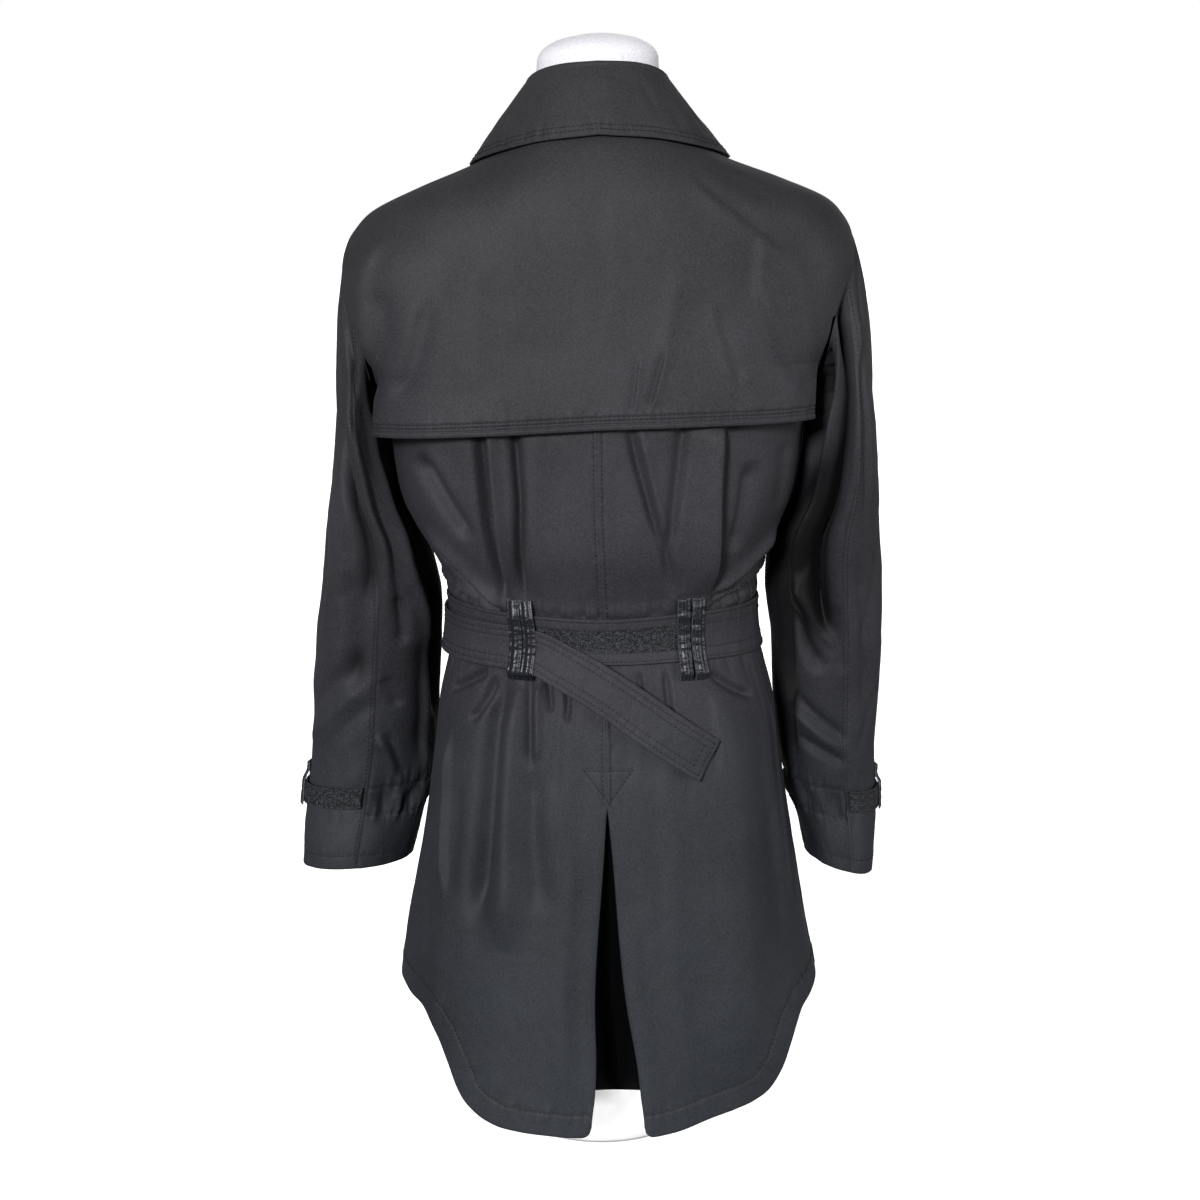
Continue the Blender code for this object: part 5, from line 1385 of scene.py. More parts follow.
def makeCollar():
    angle = np.linspace(-84, 264, collarLook["columns"])
    fromSide = np.where(angle <= 90, angle, 180 - angle)
    backZ, frontZ = [readTable(rows, "z", np.abs(fromSide)) for rows in (neckBackRows, neckFrontRows)]
    neckZ = np.where(fromSide >= 0, backZ, frontZ)
    edgeZ, rollZ, bow = [readTable(collarRows, name, fromSide) for name in collarRows[0][1:]]
    lift = collarLook["lift"] + lapOut(angle, edgeZ)
    edge = plainPoint(angle, edgeZ, lift + coat["cloth"] / 2)
    outward = np.stack([np.cos(np.radians(angle)), np.sin(np.radians(angle)), 0 * angle], axis=-1)
    up = np.array([0.0, 0.0, 1.0])
    radius = collarLook["rollRadius"]
    rollSize = [collarLook[name] for name in ("rollHalfWidth", "rollBack", "rollFront")]
    roll = section(angle, rollZ, *rollSize, 2.1, 2.1)
    topOfFall = roll - up * radius + outward * radius
    control = (edge + topOfFall) / 2 + (outward * 0.8 + up * 0.6) * bow[:, None]
    seam = plainPoint(angle, neckZ, 0 * angle - coat["cloth"] / 2)
    seam = seam + up * (coat["cloth"] * 0.5 + 2 * coat["gap"] + lapOut(angle, neckZ))[:, None]
    rows = []
    for share in np.linspace(0, 1, collarLook["fallRows"])[:-1]:
        rows.append((1 - share) ** 2 * edge + 2 * share * (1 - share) * control + share**2 * topOfFall)
    centre = roll - up * radius
    for turn in np.radians(np.linspace(0, 180, 11)):
        rows.append(centre + radius * (math.cos(turn) * outward + math.sin(turn) * up))
    start = rows[-1]
    for share in np.linspace(0, 1, 9)[1:]:
        rows.append(start + (seam - start) * share)
    sheet = np.array(rows)
    extra = (len(sheet) - 1) % innerStep
    if extra:
        sheet = sheet[: len(sheet) - extra]
        sheet[-1] = seam
    normal = gridNormals(sheet)
    steps = np.linalg.norm(np.diff(sheet, axis=0), axis=-1)
    away = np.concatenate([np.zeros((1, len(angle))), np.cumsum(steps, axis=0)])
    along = np.radians(angle)[None, :] * collarLook["meanRadius"] + 0 * away
    fall = 1 - ramp(0.045, 0.060, away)
    relief = 0.0007 * softNoise(along / 0.022, away / 0.030, 91) * ramp(0.004, 0.020, away) * fall
    relief = relief + 0.00020 * softNoise(along / 0.008, away / 0.010, 92) * fall
    for row in collarLook["rows"]:
        relief = relief - 0.00035 * bump(row, 0.0009, away)
    wrinkle = softNoise(along / 0.0028, away / 0.020, 93)
    wrinkle = wrinkle + 0.7 * softNoise(along / 0.0065, away / 0.030, 94)
    relief = relief + collarLook["pucker"] * wrinkle * bump(0.0075, 0.0060, away)
    folds = []
    for a0, away0, a1, away1, *shape in collarLook["folds"]:
        first, last = [math.radians(turn) * collarLook["meanRadius"] for turn in (a0, a1)]
        folds.append((first, away0, last, away1, *shape))
    relief = relief + foldLift(folds, along, away) * fall
    outer = sheet + normal * (coat["cloth"] / 2 + relief)[..., None]
    uv = np.stack([along, away], axis=-1)
    clothPiece("turnedCollar", "collar", outer, normal, uv, ((0.62, 0.16), "folded", backNodes))
    for row in collarLook["rows"]:
        points, normals = [], []
        for k in range(4, len(angle) - 4):
            place = np.array([np.interp(row, away[:, k], outer[:, k, axis]) for axis in range(3)])
            points.append(place)
            normals.append(normal[np.searchsorted(away[:, k], row), k])
        addStitches("coatThread", np.array(points), np.array(normals))


makeCollar()
print("collar: made")

sleeveColumns = ("z", "inner", "outer", "centreY", "halfDepth")
sleeveRows = {
    "left": (
        sleeveColumns,
        (
            (0.240, 0.1880, 0.2940, -0.0460, 0.0500),
            (0.270, 0.1800, 0.2925, -0.0460, 0.0495),
            (0.300, 0.1730, 0.2890, -0.0450, 0.0450),
            (0.340, 0.1650, 0.2840, -0.0440, 0.0485),
            (0.400, 0.1570, 0.2792, -0.0380, 0.0510),
            (0.460, 0.1525, 0.2714, -0.0260, 0.0560),
            (0.520, 0.1515, 0.2617, -0.0160, 0.0610),
            (0.560, 0.1600, 0.2556, -0.0110, 0.0670),
            (0.600, 0.1790, 0.2487, -0.0080, 0.0740),
            (0.640, 0.1885, 0.2427, -0.0050, 0.0770),
            (0.688, 0.1970, 0.2380, -0.0050, 0.0760),
        ),
    ),
    "right": (
        sleeveColumns,
        (
            (0.240, 0.1900, 0.2570, -0.0500, 0.0600),
            (0.270, 0.1835, 0.2578, -0.0500, 0.0590),
            (0.300, 0.1745, 0.2580, -0.0490, 0.0540),
            (0.340, 0.1665, 0.2570, -0.0460, 0.0570),
            (0.400, 0.1600, 0.2596, -0.0380, 0.0570),
            (0.460, 0.1570, 0.2610, -0.0260, 0.0600),
            (0.520, 0.1530, 0.2608, -0.0160, 0.0640),
            (0.560, 0.1600, 0.2585, -0.0110, 0.0690),
            (0.600, 0.1790, 0.2586, -0.0080, 0.0740),
            (0.640, 0.1885, 0.2554, -0.0050, 0.0760),
            (0.688, 0.1970, 0.2495, -0.0050, 0.0760),
        ),
    ),
}
# Folds of the sleeves, with angles round the sleeve: 0 is its outer edge and 90 its back.
sleeveFolds = {
    "left": (
        (20.0, 0.640, 26.0, 0.500, 0.0110, -0.0020, 0.3, 0.002),
        (285.0, 0.560, 215.0, 0.500, 0.0120, -0.0060, 0.2, 0.000),
        (280.0, 0.480, 230.0, 0.445, 0.0110, -0.0050, 0.2, 0.000),
        (330.0, 0.620, 300.0, 0.500, 0.0110, -0.0030, 0.3, 0.003),
        (320.0, 0.440, 290.0, 0.380, 0.0100, -0.0025, 0.3, 0.003),
    ),
    "right": (
        (30.0, 0.560, 58.0, 0.460, 0.0100, -0.0024, 0.3, 0.003),
        (290.0, 0.570, 220.0, 0.510, 0.0120, -0.0060, 0.2, 0.000),
        (275.0, 0.470, 225.0, 0.430, 0.0110, -0.0050, 0.2, 0.000),
        (330.0, 0.620, 300.0, 0.500, 0.0110, -0.0030, 0.3, 0.003),
        (320.0, 0.440, 290.0, 0.380, 0.0100, -0.0025, 0.3, 0.003),
    ),
}
# Creases of the sleeves behind, as for the body: angle and height, half width, depth and drop.
sleeveCreases = {
    "left": (
        (((74, 0.825), (83, 0.812), (100, 0.790), (126, 0.761)), 0.0060, -0.0050, 0.0),
        (((60, 0.800), (72, 0.770), (90, 0.735), (104, 0.700)), 0.0080, -0.0045, 0.0),
        (((66, 0.775), (80, 0.740), (96, 0.705)), 0.0055, 0.0025, 0.0),
        (((140, 0.770), (142, 0.741), (151, 0.697), (146, 0.660), (154, 0.630)), 0.0105, -0.0150, 0.0),
        (
            (
                (122, 0.720), (128, 0.680), (132, 0.644), (138, 0.597),
                (126, 0.549), (130, 0.516), (142, 0.486), (150, 0.450),
            ),
            0.0065, 0.0065, 0.0,
        ),
        (
            (
                (150, 0.670), (156, 0.636), (160, 0.589), (154, 0.544),
                (160, 0.503), (168, 0.452), (172, 0.378),
            ),
            0.0120, -0.0260, 0.0,
        ),
        (
            ((50, 0.690), (58, 0.674), (76, 0.625), (90, 0.589), (88, 0.540), (80, 0.490)),
            0.0080, -0.0130, 0.0,
        ),
        (((80, 0.700), (89, 0.675), (99, 0.628), (104, 0.579), (106, 0.530)), 0.0070, 0.0055, 0.0),
        (((110, 0.640), (116, 0.590), (110, 0.535), (112, 0.480)), 0.0055, -0.0045, 0.0),
        (((62, 0.540), (72, 0.500), (76, 0.455), (74, 0.410)), 0.0105, -0.0085, 0.0),
        (((40, 0.600), (52, 0.560), (60, 0.510)), 0.0070, 0.0025, 0.0),
        (((108, 0.512), (112, 0.500), (114, 0.462)), 0.0060, -0.0048, 0.0),
        (((96, 0.430), (103, 0.419), (112, 0.400)), 0.0055, -0.0036, 0.0),
        (((92, 0.372), (104, 0.362), (116, 0.335), (124, 0.317)), 0.0055, 0.0060, 0.0),
        (((100, 0.376), (112, 0.352), (120, 0.328)), 0.0045, -0.0050, 0.0),
        (((0, 0.380), (50, 0.416), (86, 0.456)), 0.0110, -0.0038, 0.0),
        (((10, 0.360), (55, 0.390), (92, 0.432)), 0.0060, 0.0024, 0.0),
        (((19, 0.341), (64, 0.373), (93, 0.409)), 0.0070, -0.0032, 0.0),
        (((136, 0.470), (142, 0.420), (146, 0.345)), 0.0120, -0.0060, 0.0),
        (((142, 0.440), (150, 0.380), (150, 0.320)), 0.0060, 0.0040, 0.0),
        (((14, 0.618), (24, 0.544), (20, 0.462)), 0.0060, -0.0026, 0.0),
        (((34, 0.760), (44, 0.700), (48, 0.640)), 0.0080, -0.0026, 0.0),
    ),
    "right": (
        (
            ((92, 0.800), (99, 0.764), (110, 0.688), (128, 0.618), (127, 0.572), (131, 0.552), (140, 0.520)),
            0.0060, 0.0070, 0.0,
        ),
        (
            (
                (136, 0.760), (140, 0.714), (146, 0.666), (152, 0.603),
                (154, 0.546), (152, 0.480), (152, 0.400),
            ),
            0.0145, -0.0330, 0.0,
        ),
        (
            ((90, 0.790), (92, 0.720), (98, 0.660), (104, 0.612), (104, 0.555), (100, 0.500), (93, 0.450)),
            0.0100, -0.0280, 0.0,
        ),
        (((72, 0.770), (74, 0.710), (78, 0.650), (78, 0.590)), 0.0070, 0.0045, 0.0),
        (((100, 0.600), (114, 0.555), (122, 0.520)), 0.0070, -0.0080, 0.0),
        (((130, 0.520), (118, 0.512), (104, 0.486), (88, 0.458)), 0.0050, 0.0045, 0.0),
        (((138, 0.500), (124, 0.490), (116, 0.462), (96, 0.438)), 0.0080, -0.0085, 0.0),
        (((150, 0.470), (148, 0.400), (142, 0.330)), 0.0120, -0.0120, 0.0),
        (((86, 0.505), (84, 0.470), (80, 0.435)), 0.0060, -0.0038, 0.0),
        (((140, 0.420), (120, 0.404), (96, 0.386), (74, 0.368)), 0.0060, -0.0056, 0.0),
        (((136, 0.398), (112, 0.384), (84, 0.362)), 0.0050, 0.0034, 0.0),
        (((134, 0.374), (104, 0.362), (74, 0.345)), 0.0050, -0.0044, 0.0),
        (((60, 0.735), (69, 0.715), (60, 0.645), (54, 0.570)), 0.0085, -0.0052, 0.0),
        (((48, 0.700), (52, 0.640), (46, 0.580)), 0.0070, 0.0026, 0.0),
        (((64, 0.550), (54, 0.480), (49, 0.387)), 0.0090, -0.0042, 0.0),
        (((38, 0.520), (36, 0.450), (34, 0.380)), 0.0080, 0.0020, 0.0),
        (((40, 0.820), (52, 0.790), (60, 0.750)), 0.0070, -0.0030, 0.0),
        (((20, 0.430), (40, 0.395), (62, 0.352)), 0.0080, -0.0026, 0.0),
    ),
}
# where shade is painted on a sleeve's cloth, as it lies in the shade of the coat's side
sleeveShades = {
    "left": ((((166, 0.560), (168, 0.500), (168, 0.420), (164, 0.330)), 0.0120, 0.9, 0.0),),
    "right": (
        (((150, 0.640), (160, 0.560), (166, 0.480), (164, 0.400), (158, 0.320)), 0.0180, 1.0, 0.0),
        (((150, 0.330), (140, 0.290), (136, 0.245)), 0.0120, 0.6, 0.0),
        (((122, 0.660), (124, 0.560), (118, 0.500), (102, 0.450)), 0.0150, 1.0, 0.0),
    ),
}
sleeveLook = {
    "darkFrom": (0.0050, 0.0170),  # depths of a fold where its painted shade begins and is full
    "cuffZ": 0.240,
    "capZ": 0.688,  # where the sleeve's cap ends and its arm begins
    "slantTop": 0.420,
    "casing": (0.2935, 0.3205),  # the two rows of stitches of the elastic casing
    "casingZ": 0.307,
    "casingHalf": 0.014,
    "gathers": 5,
    "gatherWave": 0.0032,
    "hemRow": 0.0150,  # of the stitches above the cuff's edge
    "slant": {"left": -0.0035, "right": -0.0100},
    "backSeam": {"left": 92.0, "right": 78.0},
    "frontSeam": {"left": 250.0, "right": 250.0},
    "meanRadius": 0.055,
    "thin": 0.0375,
    "topColumns": 106,
    "underColumns": 94,
    "capRows": 64,
    "armRows": 212,
    "row": 0.0028,  # of the stitches beside the back seam
    "sheet": ((0.21, 0.62), "hung"),
}


def sleeveRing(table, angle, z):
    inner, outer, centreY, halfDepth = [readTable(table, name, z) for name in table[0][1:]]
    turn = np.radians(angle)
    power = 2 / 2.2
    x = (inner + outer) / 2 + (outer - inner) / 2 * np.sign(np.cos(turn)) * np.abs(np.cos(turn)) ** power
    y = centreY + halfDepth * np.sign(np.sin(turn)) * np.abs(np.sin(turn)) ** power
    return np.stack(np.broadcast_arrays(x, y, z + 0 * x), axis=-1)


def slantedRing(side, angle, level):
    # the ring at this level, tipped as the cuff is
    ring = sleeveRing(sleeveRows[side], angle, level)
    low, high = sleeveLook["cuffZ"], sleeveLook["slantTop"]
    slant = sleeveLook["slant"][side] * (1 - float(ramp(low, high, level)))
    ring[:, 2] = ring[:, 2] + slant * np.cos(np.radians(angle))
    return ring


def armholePoint(angle):
    share = (1 + np.cos(np.radians(angle))) / 2
    z = coat["armholeBottom"] + (coat["shoulderTip"] - coat["armholeBottom"]) * share
    behind = np.sin(np.radians(angle)) >= 0
    seam = np.where(behind, readTable(armholeRows, "back", z), -readTable(armholeRows, "front", z))
    return bodyBase(seam, z) + np.array([coat["armholeGap"], 0, 0])


def armGrid(side, angle):
    # rows from the armhole down to the cuff
    start = armholePoint(angle)
    first = sleeveRing(sleeveRows[side], angle, sleeveLook["capZ"])
    control = first.copy()
    control[:, 1] = (start[:, 1] + first[:, 1]) / 2
    control[:, 2] = 0.65 * start[:, 2] + 0.35 * first[:, 2]
    rows = []
    for share in np.linspace(0, 1, sleeveLook["capRows"]):
        rows.append((1 - share) ** 2 * start + 2 * share * (1 - share) * control + share**2 * first)
    for level in np.linspace(sleeveLook["capZ"], sleeveLook["cuffZ"], sleeveLook["armRows"])[1:]:
        rows.append(slantedRing(side, angle, level))
    return np.array(rows)


def roundSleeve(creases):
    # the same rows, with distances round the sleeve in place of angles
    placed = []
    for points, *shape in creases:
        line = [(math.radians(turn) * sleeveLook["meanRadius"], height) for turn, height in points]
        placed.append((line, *shape))
    return placed


def armNormals(side, angle):
    turn = 2.0
    before, after, grid = armGrid(side, angle - turn), armGrid(side, angle + turn), armGrid(side, angle)
    normal = np.cross(after - before, -np.gradient(grid, axis=0))
    return unit(normal)


def sleeveLift(side, part, angle, z, level):
    # level is the height before the cuff's slant, and z the true height
    wide = sleeveLook["meanRadius"]
    across = np.radians(angle) * wide + 0 * z
    folds = []
    for a0, z0, a1, z1, *shape in sleeveFolds[side]:
        for turn in (-360, 0):
            folds.append((math.radians(a0 + turn) * wide, z0, math.radians(a1 + turn) * wide, z1, *shape))
    flatter = 1 - 0.6 * bump(sleeveLook["casingZ"], 0.022, level)
    lift = foldLift(folds, across, z) + creaseLift(roundSleeve(sleeveCreases[side]), across, z) * flatter
    # High up, the sleeve hangs against the body's side.
    room = readTable(sleeveRows[side], "inner", z) - readTable(bodyRows, "halfWidth", z) - 0.0010
    against = np.exp(-(((angle - 180) / 26) ** 4)) * ramp(0.596, 0.630, z)
    lift = lift * (1 - against) + np.clip(room, 0, 0.008) * against
    seed = 101 if side == "left" else 111
    wave = 0.0013 * softNoise(across / 0.030 + 9, z / 0.060, seed)
    wave = wave + 0.0006 * softNoise(across / 0.013 + 5, z / 0.028, seed + 1)
    wave = wave + 0.00022 * softNoise(across / 0.0075, z / 0.010, seed + 2)
    near = bump(sleeveLook["casingZ"], sleeveLook["casingHalf"], level)
    lift = lift + wave * (1 - 0.7 * near)
    seamPlaces = (sleeveLook["backSeam"][side], sleeveLook["frontSeam"][side])
    if part == "under":
        share = (angle - seamPlaces[0]) / (seamPlaces[1] - seamPlaces[0])
        round5 = np.cos(share * 2 * math.pi * sleeveLook["gathers"] + 0.8 * np.sin(share * 9 + z * 60))
        uneven = 1 + 0.35 * softNoise(share * 7, z / 0.03, seed + 3)
        lift = lift + (sleeveLook["gatherWave"] * round5 * uneven - 0.0003) * near
        fine = softNoise(across / 0.0042, z / 0.030, seed + 4)
        fine = fine + 0.6 * softNoise(across / 0.0024, z / 0.020, seed + 5)
        beside = bump(sleeveLook["casing"][0], 0.010, level) + bump(sleeveLook["casing"][1], 0.014, level)
        lift = lift + 0.0016 * fine * beside
        for row in sleeveLook["casing"]:
            lift = lift - 0.0011 * bump(row, 0.0016, level)
    else:
        # Nothing stands out under the cuff's strap, and the cloth swells a little beside it.
        under = ramp(0.2985, 0.3005, level) * ramp(-0.3225, -0.3205, -level)
        lift = lift - np.maximum(lift - 0.0003, 0) * under - 0.0003 * under
        fine = softNoise(across / 0.0060, z / 0.030, seed + 4)
        lift = lift + 0.0010 * fine * (bump(0.330, 0.009, level) + bump(0.292, 0.007, level))
    fromEdge = level - sleeveLook["cuffZ"]
    lift = lift - 0.00045 * bump(sleeveLook["hemRow"], 0.0011, fromEdge)
    hemWrinkle = softNoise(across / 0.0036, fromEdge / 0.02, seed + 6)
    lift = lift + 0.00045 * hemWrinkle * bump(sleeveLook["hemRow"], 0.0070, fromEdge)
    for place in seamPlaces:
        for turn in (-360, 0):
            beside = np.abs(np.radians(angle - place - turn)) * wide
            lift = lift - 0.0010 * np.exp(-beside / 0.0012)
            if part == "top":
                lift = lift - 0.00030 * bump(sleeveLook["row"], 0.0009, beside)
    return lift


def sleeveLevels():
    cap = np.linspace(coat["shoulderTip"], sleeveLook["capZ"], sleeveLook["capRows"])
    arm = np.linspace(sleeveLook["capZ"], sleeveLook["cuffZ"], sleeveLook["armRows"])[1:]
    return np.concatenate([cap, arm])


def mirrored(points, side):
    return points * np.array([-1 if side == "right" else 1, 1, 1])


def sleeveSurface(side, part, angle):
    grid, normal = armGrid(side, angle), armNormals(side, angle)
    level = sleeveLevels()[:, None] + 0 * grid[..., 2]
    lift = sleeveLift(side, part, angle[None, :] + 0 * level, grid[..., 2], level)
    fade = ramp(0.0, 0.10, (np.arange(len(grid)) / sleeveLook["capRows"]))[:, None]
    across = np.radians(angle)[None, :] * sleeveLook["meanRadius"] + 0 * lift
    # Painted shade: each point's darkness, deep in folds and along the lines of sleeveShades.
    beside = creaseLift(roundSleeve(sleeveShades[side]), across, grid[..., 2])
    deep = np.clip(ramp(*sleeveLook["darkFrom"], -lift) * fade + beside, 0, 1)
    return grid + normal * (lift * fade)[..., None], normal, deep


def makeSleeve(side):
    seam = np.degrees(0.5 * coat["seam"] / sleeveLook["thin"])
    back, front = sleeveLook["backSeam"][side], sleeveLook["frontSeam"][side]
    ways = {"top": (front - 360, back, "topColumns"), "under": (back, front, "underColumns")}
    for part, (first, last, columns) in ways.items():
        angle = np.linspace(first + seam, last - seam, sleeveLook[columns])
        # deep is the shade painted on each point.
        outer, normal, deep = sleeveSurface(side, part, angle)
        rows = len(outer) - (len(outer) - 1) % innerStep
        outer, normal, deep = outer[:rows], normal[:rows], deep[:rows]
        across = np.radians(angle)[None, :] * sleeveLook["meanRadius"] + 0 * outer[..., 2]
        uv = np.stack([across, outer[..., 2]], axis=-1)
        outer, normal = mirrored(outer, side), mirrored(normal, side)
        name, node = f"sleeve{part.capitalize()}_{side}", f"sleeve_{side}_{part}"
        # The under sleeves take the darker copy of the cloth, painted shade.
        cloth = clothMaterial if part == "top" else shadedUnderSleeveMaterial
        sheet = (*sleeveLook["sheet"], [f"back_{side}"])
        clothPiece(name, node, outer, normal, uv, sheet, material=cloth, deep=deep)
        stitchAcross(side, part, angle[1:-1], sleeveLook["cuffZ"] + sleeveLook["hemRow"])
        if part == "under":
            for row in sleeveLook["casing"]:
                stitchAcross(side, part, angle[1:-1], row)
    beside = math.degrees(sleeveLook["row"] / sleeveLook["meanRadius"])
    stitchDown(side, back - beside)


def stitchAcross(side, part, angle, row):
    surface, normal, _ = sleeveSurface(side, part, angle)
    nearest = int(np.argmin(np.abs(sleeveLevels() - row)))
    addStitches("coatThread", mirrored(surface[nearest], side), mirrored(normal[nearest], side))


def stitchDown(side, angle):
    surface, normal, _ = sleeveSurface(side, "top", np.array([angle - 0.5, angle, angle + 0.5]))
    keep = slice(6, len(surface) - 6)
    addStitches("coatThread", mirrored(surface[keep, 1], side), mirrored(normal[keep, 1], side))


for side in ("left", "right"):
    makeSleeve(side)
print("sleeves: made")

cuffLook = {
    "strapZ": (0.301, 0.320),
    "strapOut": 0.0010,
    "loopZ": (0.2975, 0.3375),
    "loopWidth": 0.011,
    "row": 0.0022,  # of the strap's stitches from its edges
}


def sleeveBand(side, angles, levels, out):
    table = sleeveRows[side]
    grid, normals = [], []
    for level, far in zip(levels, out):
        ring = slantedRing(side, angles, level)
        ahead = sleeveRing(table, angles + 2, level) - sleeveRing(table, angles - 2, level)
        normal = np.stack([ahead[:, 1], -ahead[:, 0], 0 * ahead[:, 0]], axis=-1)
        normal = unit(normal)
        grid.append(ring + normal * np.asarray(far)[..., None])
        normals.append(normal)
    return mirrored(np.array(grid), side), mirrored(np.array(normals), side)


def zigzag(along, across):
    return np.abs(((along + across) % 1) - 0.5) + np.abs(((along - across) % 1) - 0.5)


def softened(values):
    return np.convolve(np.pad(values, 3, mode="edge"), np.ones(7) / 7, mode="valid")


def tapeRelief(along, across, width):
    # close zigzag of the woven tape between its two stitched edges
    inside = ramp(0.0028, 0.0042, across) * ramp(0.0028, 0.0042, width - across)
    knots = softNoise(along / 0.0016, across / 0.0016, 121)
    return inside * ((zigzag(along / 0.0030, across / 0.0042) - 0.5) * 0.0007 + knots * 0.00035)


def makeCuffStrap(side):
    angles = np.linspace(-100, sleeveLook["backSeam"][side] - 4, 151)
    low, high = cuffLook["strapZ"]
    levels = np.linspace(low, high, 25)
    stitchRows = (cuffLook["row"], high - low - cuffLook["row"])
    out = cuffLook["strapOut"] + coat["strap"]
    along = np.radians(angles)[None, :] * sleeveLook["meanRadius"] + 0 * levels[:, None]
    across = (levels - low)[:, None] + 0 * along
    relief = tapeRelief(along, across, high - low) + 0.0003 * softNoise(along / 0.012, across / 0.02, 122)
    for row in stitchRows:
        relief = relief - 0.0003 * bump(row, 0.0008, across)
    outer, normal = sleeveBand(side, angles, levels, out + relief)
    uv = np.stack([along, across], axis=-1)
    sheet = ((0.24, 0.025), "stretched", [f"sleeve_{side}_top"])
    clothPiece(
        f"cuffStrap_{side}", f"cuff_strap_{side}", outer, normal, uv, sheet, coat["strap"], tapeMaterial
    )
    for row in stitchRows:
        k = int(round(row / (high - low) * (len(levels) - 1)))
        addStitches("coatThread", outer[k], normal[k])


leatherLook = {"edgeRow": 0.0017, "wrinkle": 0.00050}


def leatherStrip(name, grid, normals, length, width, node):
    rows, columns = grid.shape[:2]
    along = np.linspace(0, length, rows)[:, None] + np.zeros((1, columns))
    across = np.linspace(0, width, columns)[None, :] + np.zeros((rows, 1))
    seed = sum(ord(letter) for letter in name)
    stitchRows = (leatherLook["edgeRow"], width - leatherLook["edgeRow"])
    relief = leatherLook["wrinkle"] * softNoise(along / 0.0042, across / 0.012, seed)
    relief = relief + 0.5 * leatherLook["wrinkle"] * softNoise(along / 0.0018, across / 0.0040, seed + 1)
    relief = relief + 0.0013 * bump(width / 2, width / 4.5, across)
    for row in stitchRows:
        relief = relief - 0.00035 * bump(row, 0.00055, across)
    surface = grid + normals * relief[..., None]
    uv = np.stack([across, along], axis=-1)
    leather, edge = materials["leather"], materials["paleEdge"]
    turned = posedTurn(surface, normals)
    piece = shell(name, posed(surface), turned, coat["leather"], leather, uv, rimMaterial=edge)
    settle(piece, "loop_leather", node)
    for row in stitchRows:
        k = int(round(row / width * (columns - 1)))
        addStitches("paleThread", surface[2:-2, k], normals[2:-2, k])
    for k in (2, rows - 3):
        addStitches("paleThread", surface[k, 3:-3], normals[k, 3:-3])


def makeCuffLoop(side):
    radius = float(readTable(sleeveRows[side], "halfDepth", sleeveLook["casingZ"]))
    half = math.degrees(0.5 * cuffLook["loopWidth"] / radius)
    angles = np.linspace(4 - half, 4 + half, 19)
    low, high = cuffLook["loopZ"]
    over = cuffLook["strapOut"] + coat["strap"] + 2 * coat["gap"]
    corners = (low, cuffLook["strapZ"][0] - 0.0012, cuffLook["strapZ"][1] + 0.0012, high - 0.009, high)
    near = (over * 0.8, over, over, 0.0008, 0.0004)
    levels = np.linspace(low, high, 73)
    out = softened(np.interp(levels, corners, near) + coat["leather"])
    grid, normals = sleeveBand(side, angles, levels, out)
    leatherStrip(f"cuffLoop_{side}", grid, normals, high - low, cuffLook["loopWidth"], f"cuff_loop_{side}")


for side in ("left", "right"):
    makeCuffStrap(side)
    makeCuffLoop(side)
print("cuff straps and loops: made")

beltLook = {
    "columns": 660,
    "rows": 34,
    "edgeRow": 0.0024,
    "tape": 0.0100,  # of the textured tape's edges from the belt's edges
    "tapeEnds": (-0.064, 0.062),
    "crinkle": 0.0010,
    "sheet": ((0.86, 0.048), "stretched", backNodes),
}


def beltRelief(angle, share, width):
    wrapped, across = roundBody(angle)
    up = (share + 0.5) * width
    x = bodyBase(wrapped, 0.482 + 0 * wrapped)[..., 0]
    behind = (wrapped > 0) * ramp(beltLook["tapeEnds"][0] - 0.004, beltLook["tapeEnds"][0], x)
    behind = behind * ramp(-beltLook["tapeEnds"][1] - 0.004, -beltLook["tapeEnds"][1], -x)
    inside = ramp(beltLook["tape"] - 0.0004, beltLook["tape"] + 0.0008, up)
    inside = inside * ramp(beltLook["tape"] - 0.0004, beltLook["tape"] + 0.0008, width - up)
    knots = softNoise(across / 0.0017, up / 0.0015, 131) + 0.6 * softNoise(across / 0.0032, up / 0.0030, 132)
    weave = (zigzag(across / 0.0034, up / 0.0046) - 0.5) * 0.8 + knots * 0.55
    crinkle = weave * beltLook["crinkle"] * 0.8 - 0.0003
    relief = crinkle * inside * behind
    tapeEdges = bump(beltLook["tape"], 0.0007, up) + bump(beltLook["tape"], 0.0007, width - up)
    relief = relief - 0.0004 * behind * tapeEdges
    rows = [beltLook["edgeRow"], width - beltLook["edgeRow"], width * 0.25, width * 0.75]
    for number, row in enumerate(rows):
        shown = 1.0 if number < 2 else 1 - behind
        relief = relief - 0.0003 * bump(0, 0.0008, up - row) * shown
    plain = 1 - inside * behind
    relief = relief + 0.00045 * softNoise(across / 0.011, up / 0.030, 133) * plain
    return relief + 0.00022 * softNoise(across / 0.0035, up / 0.012, 134) * plain, behind


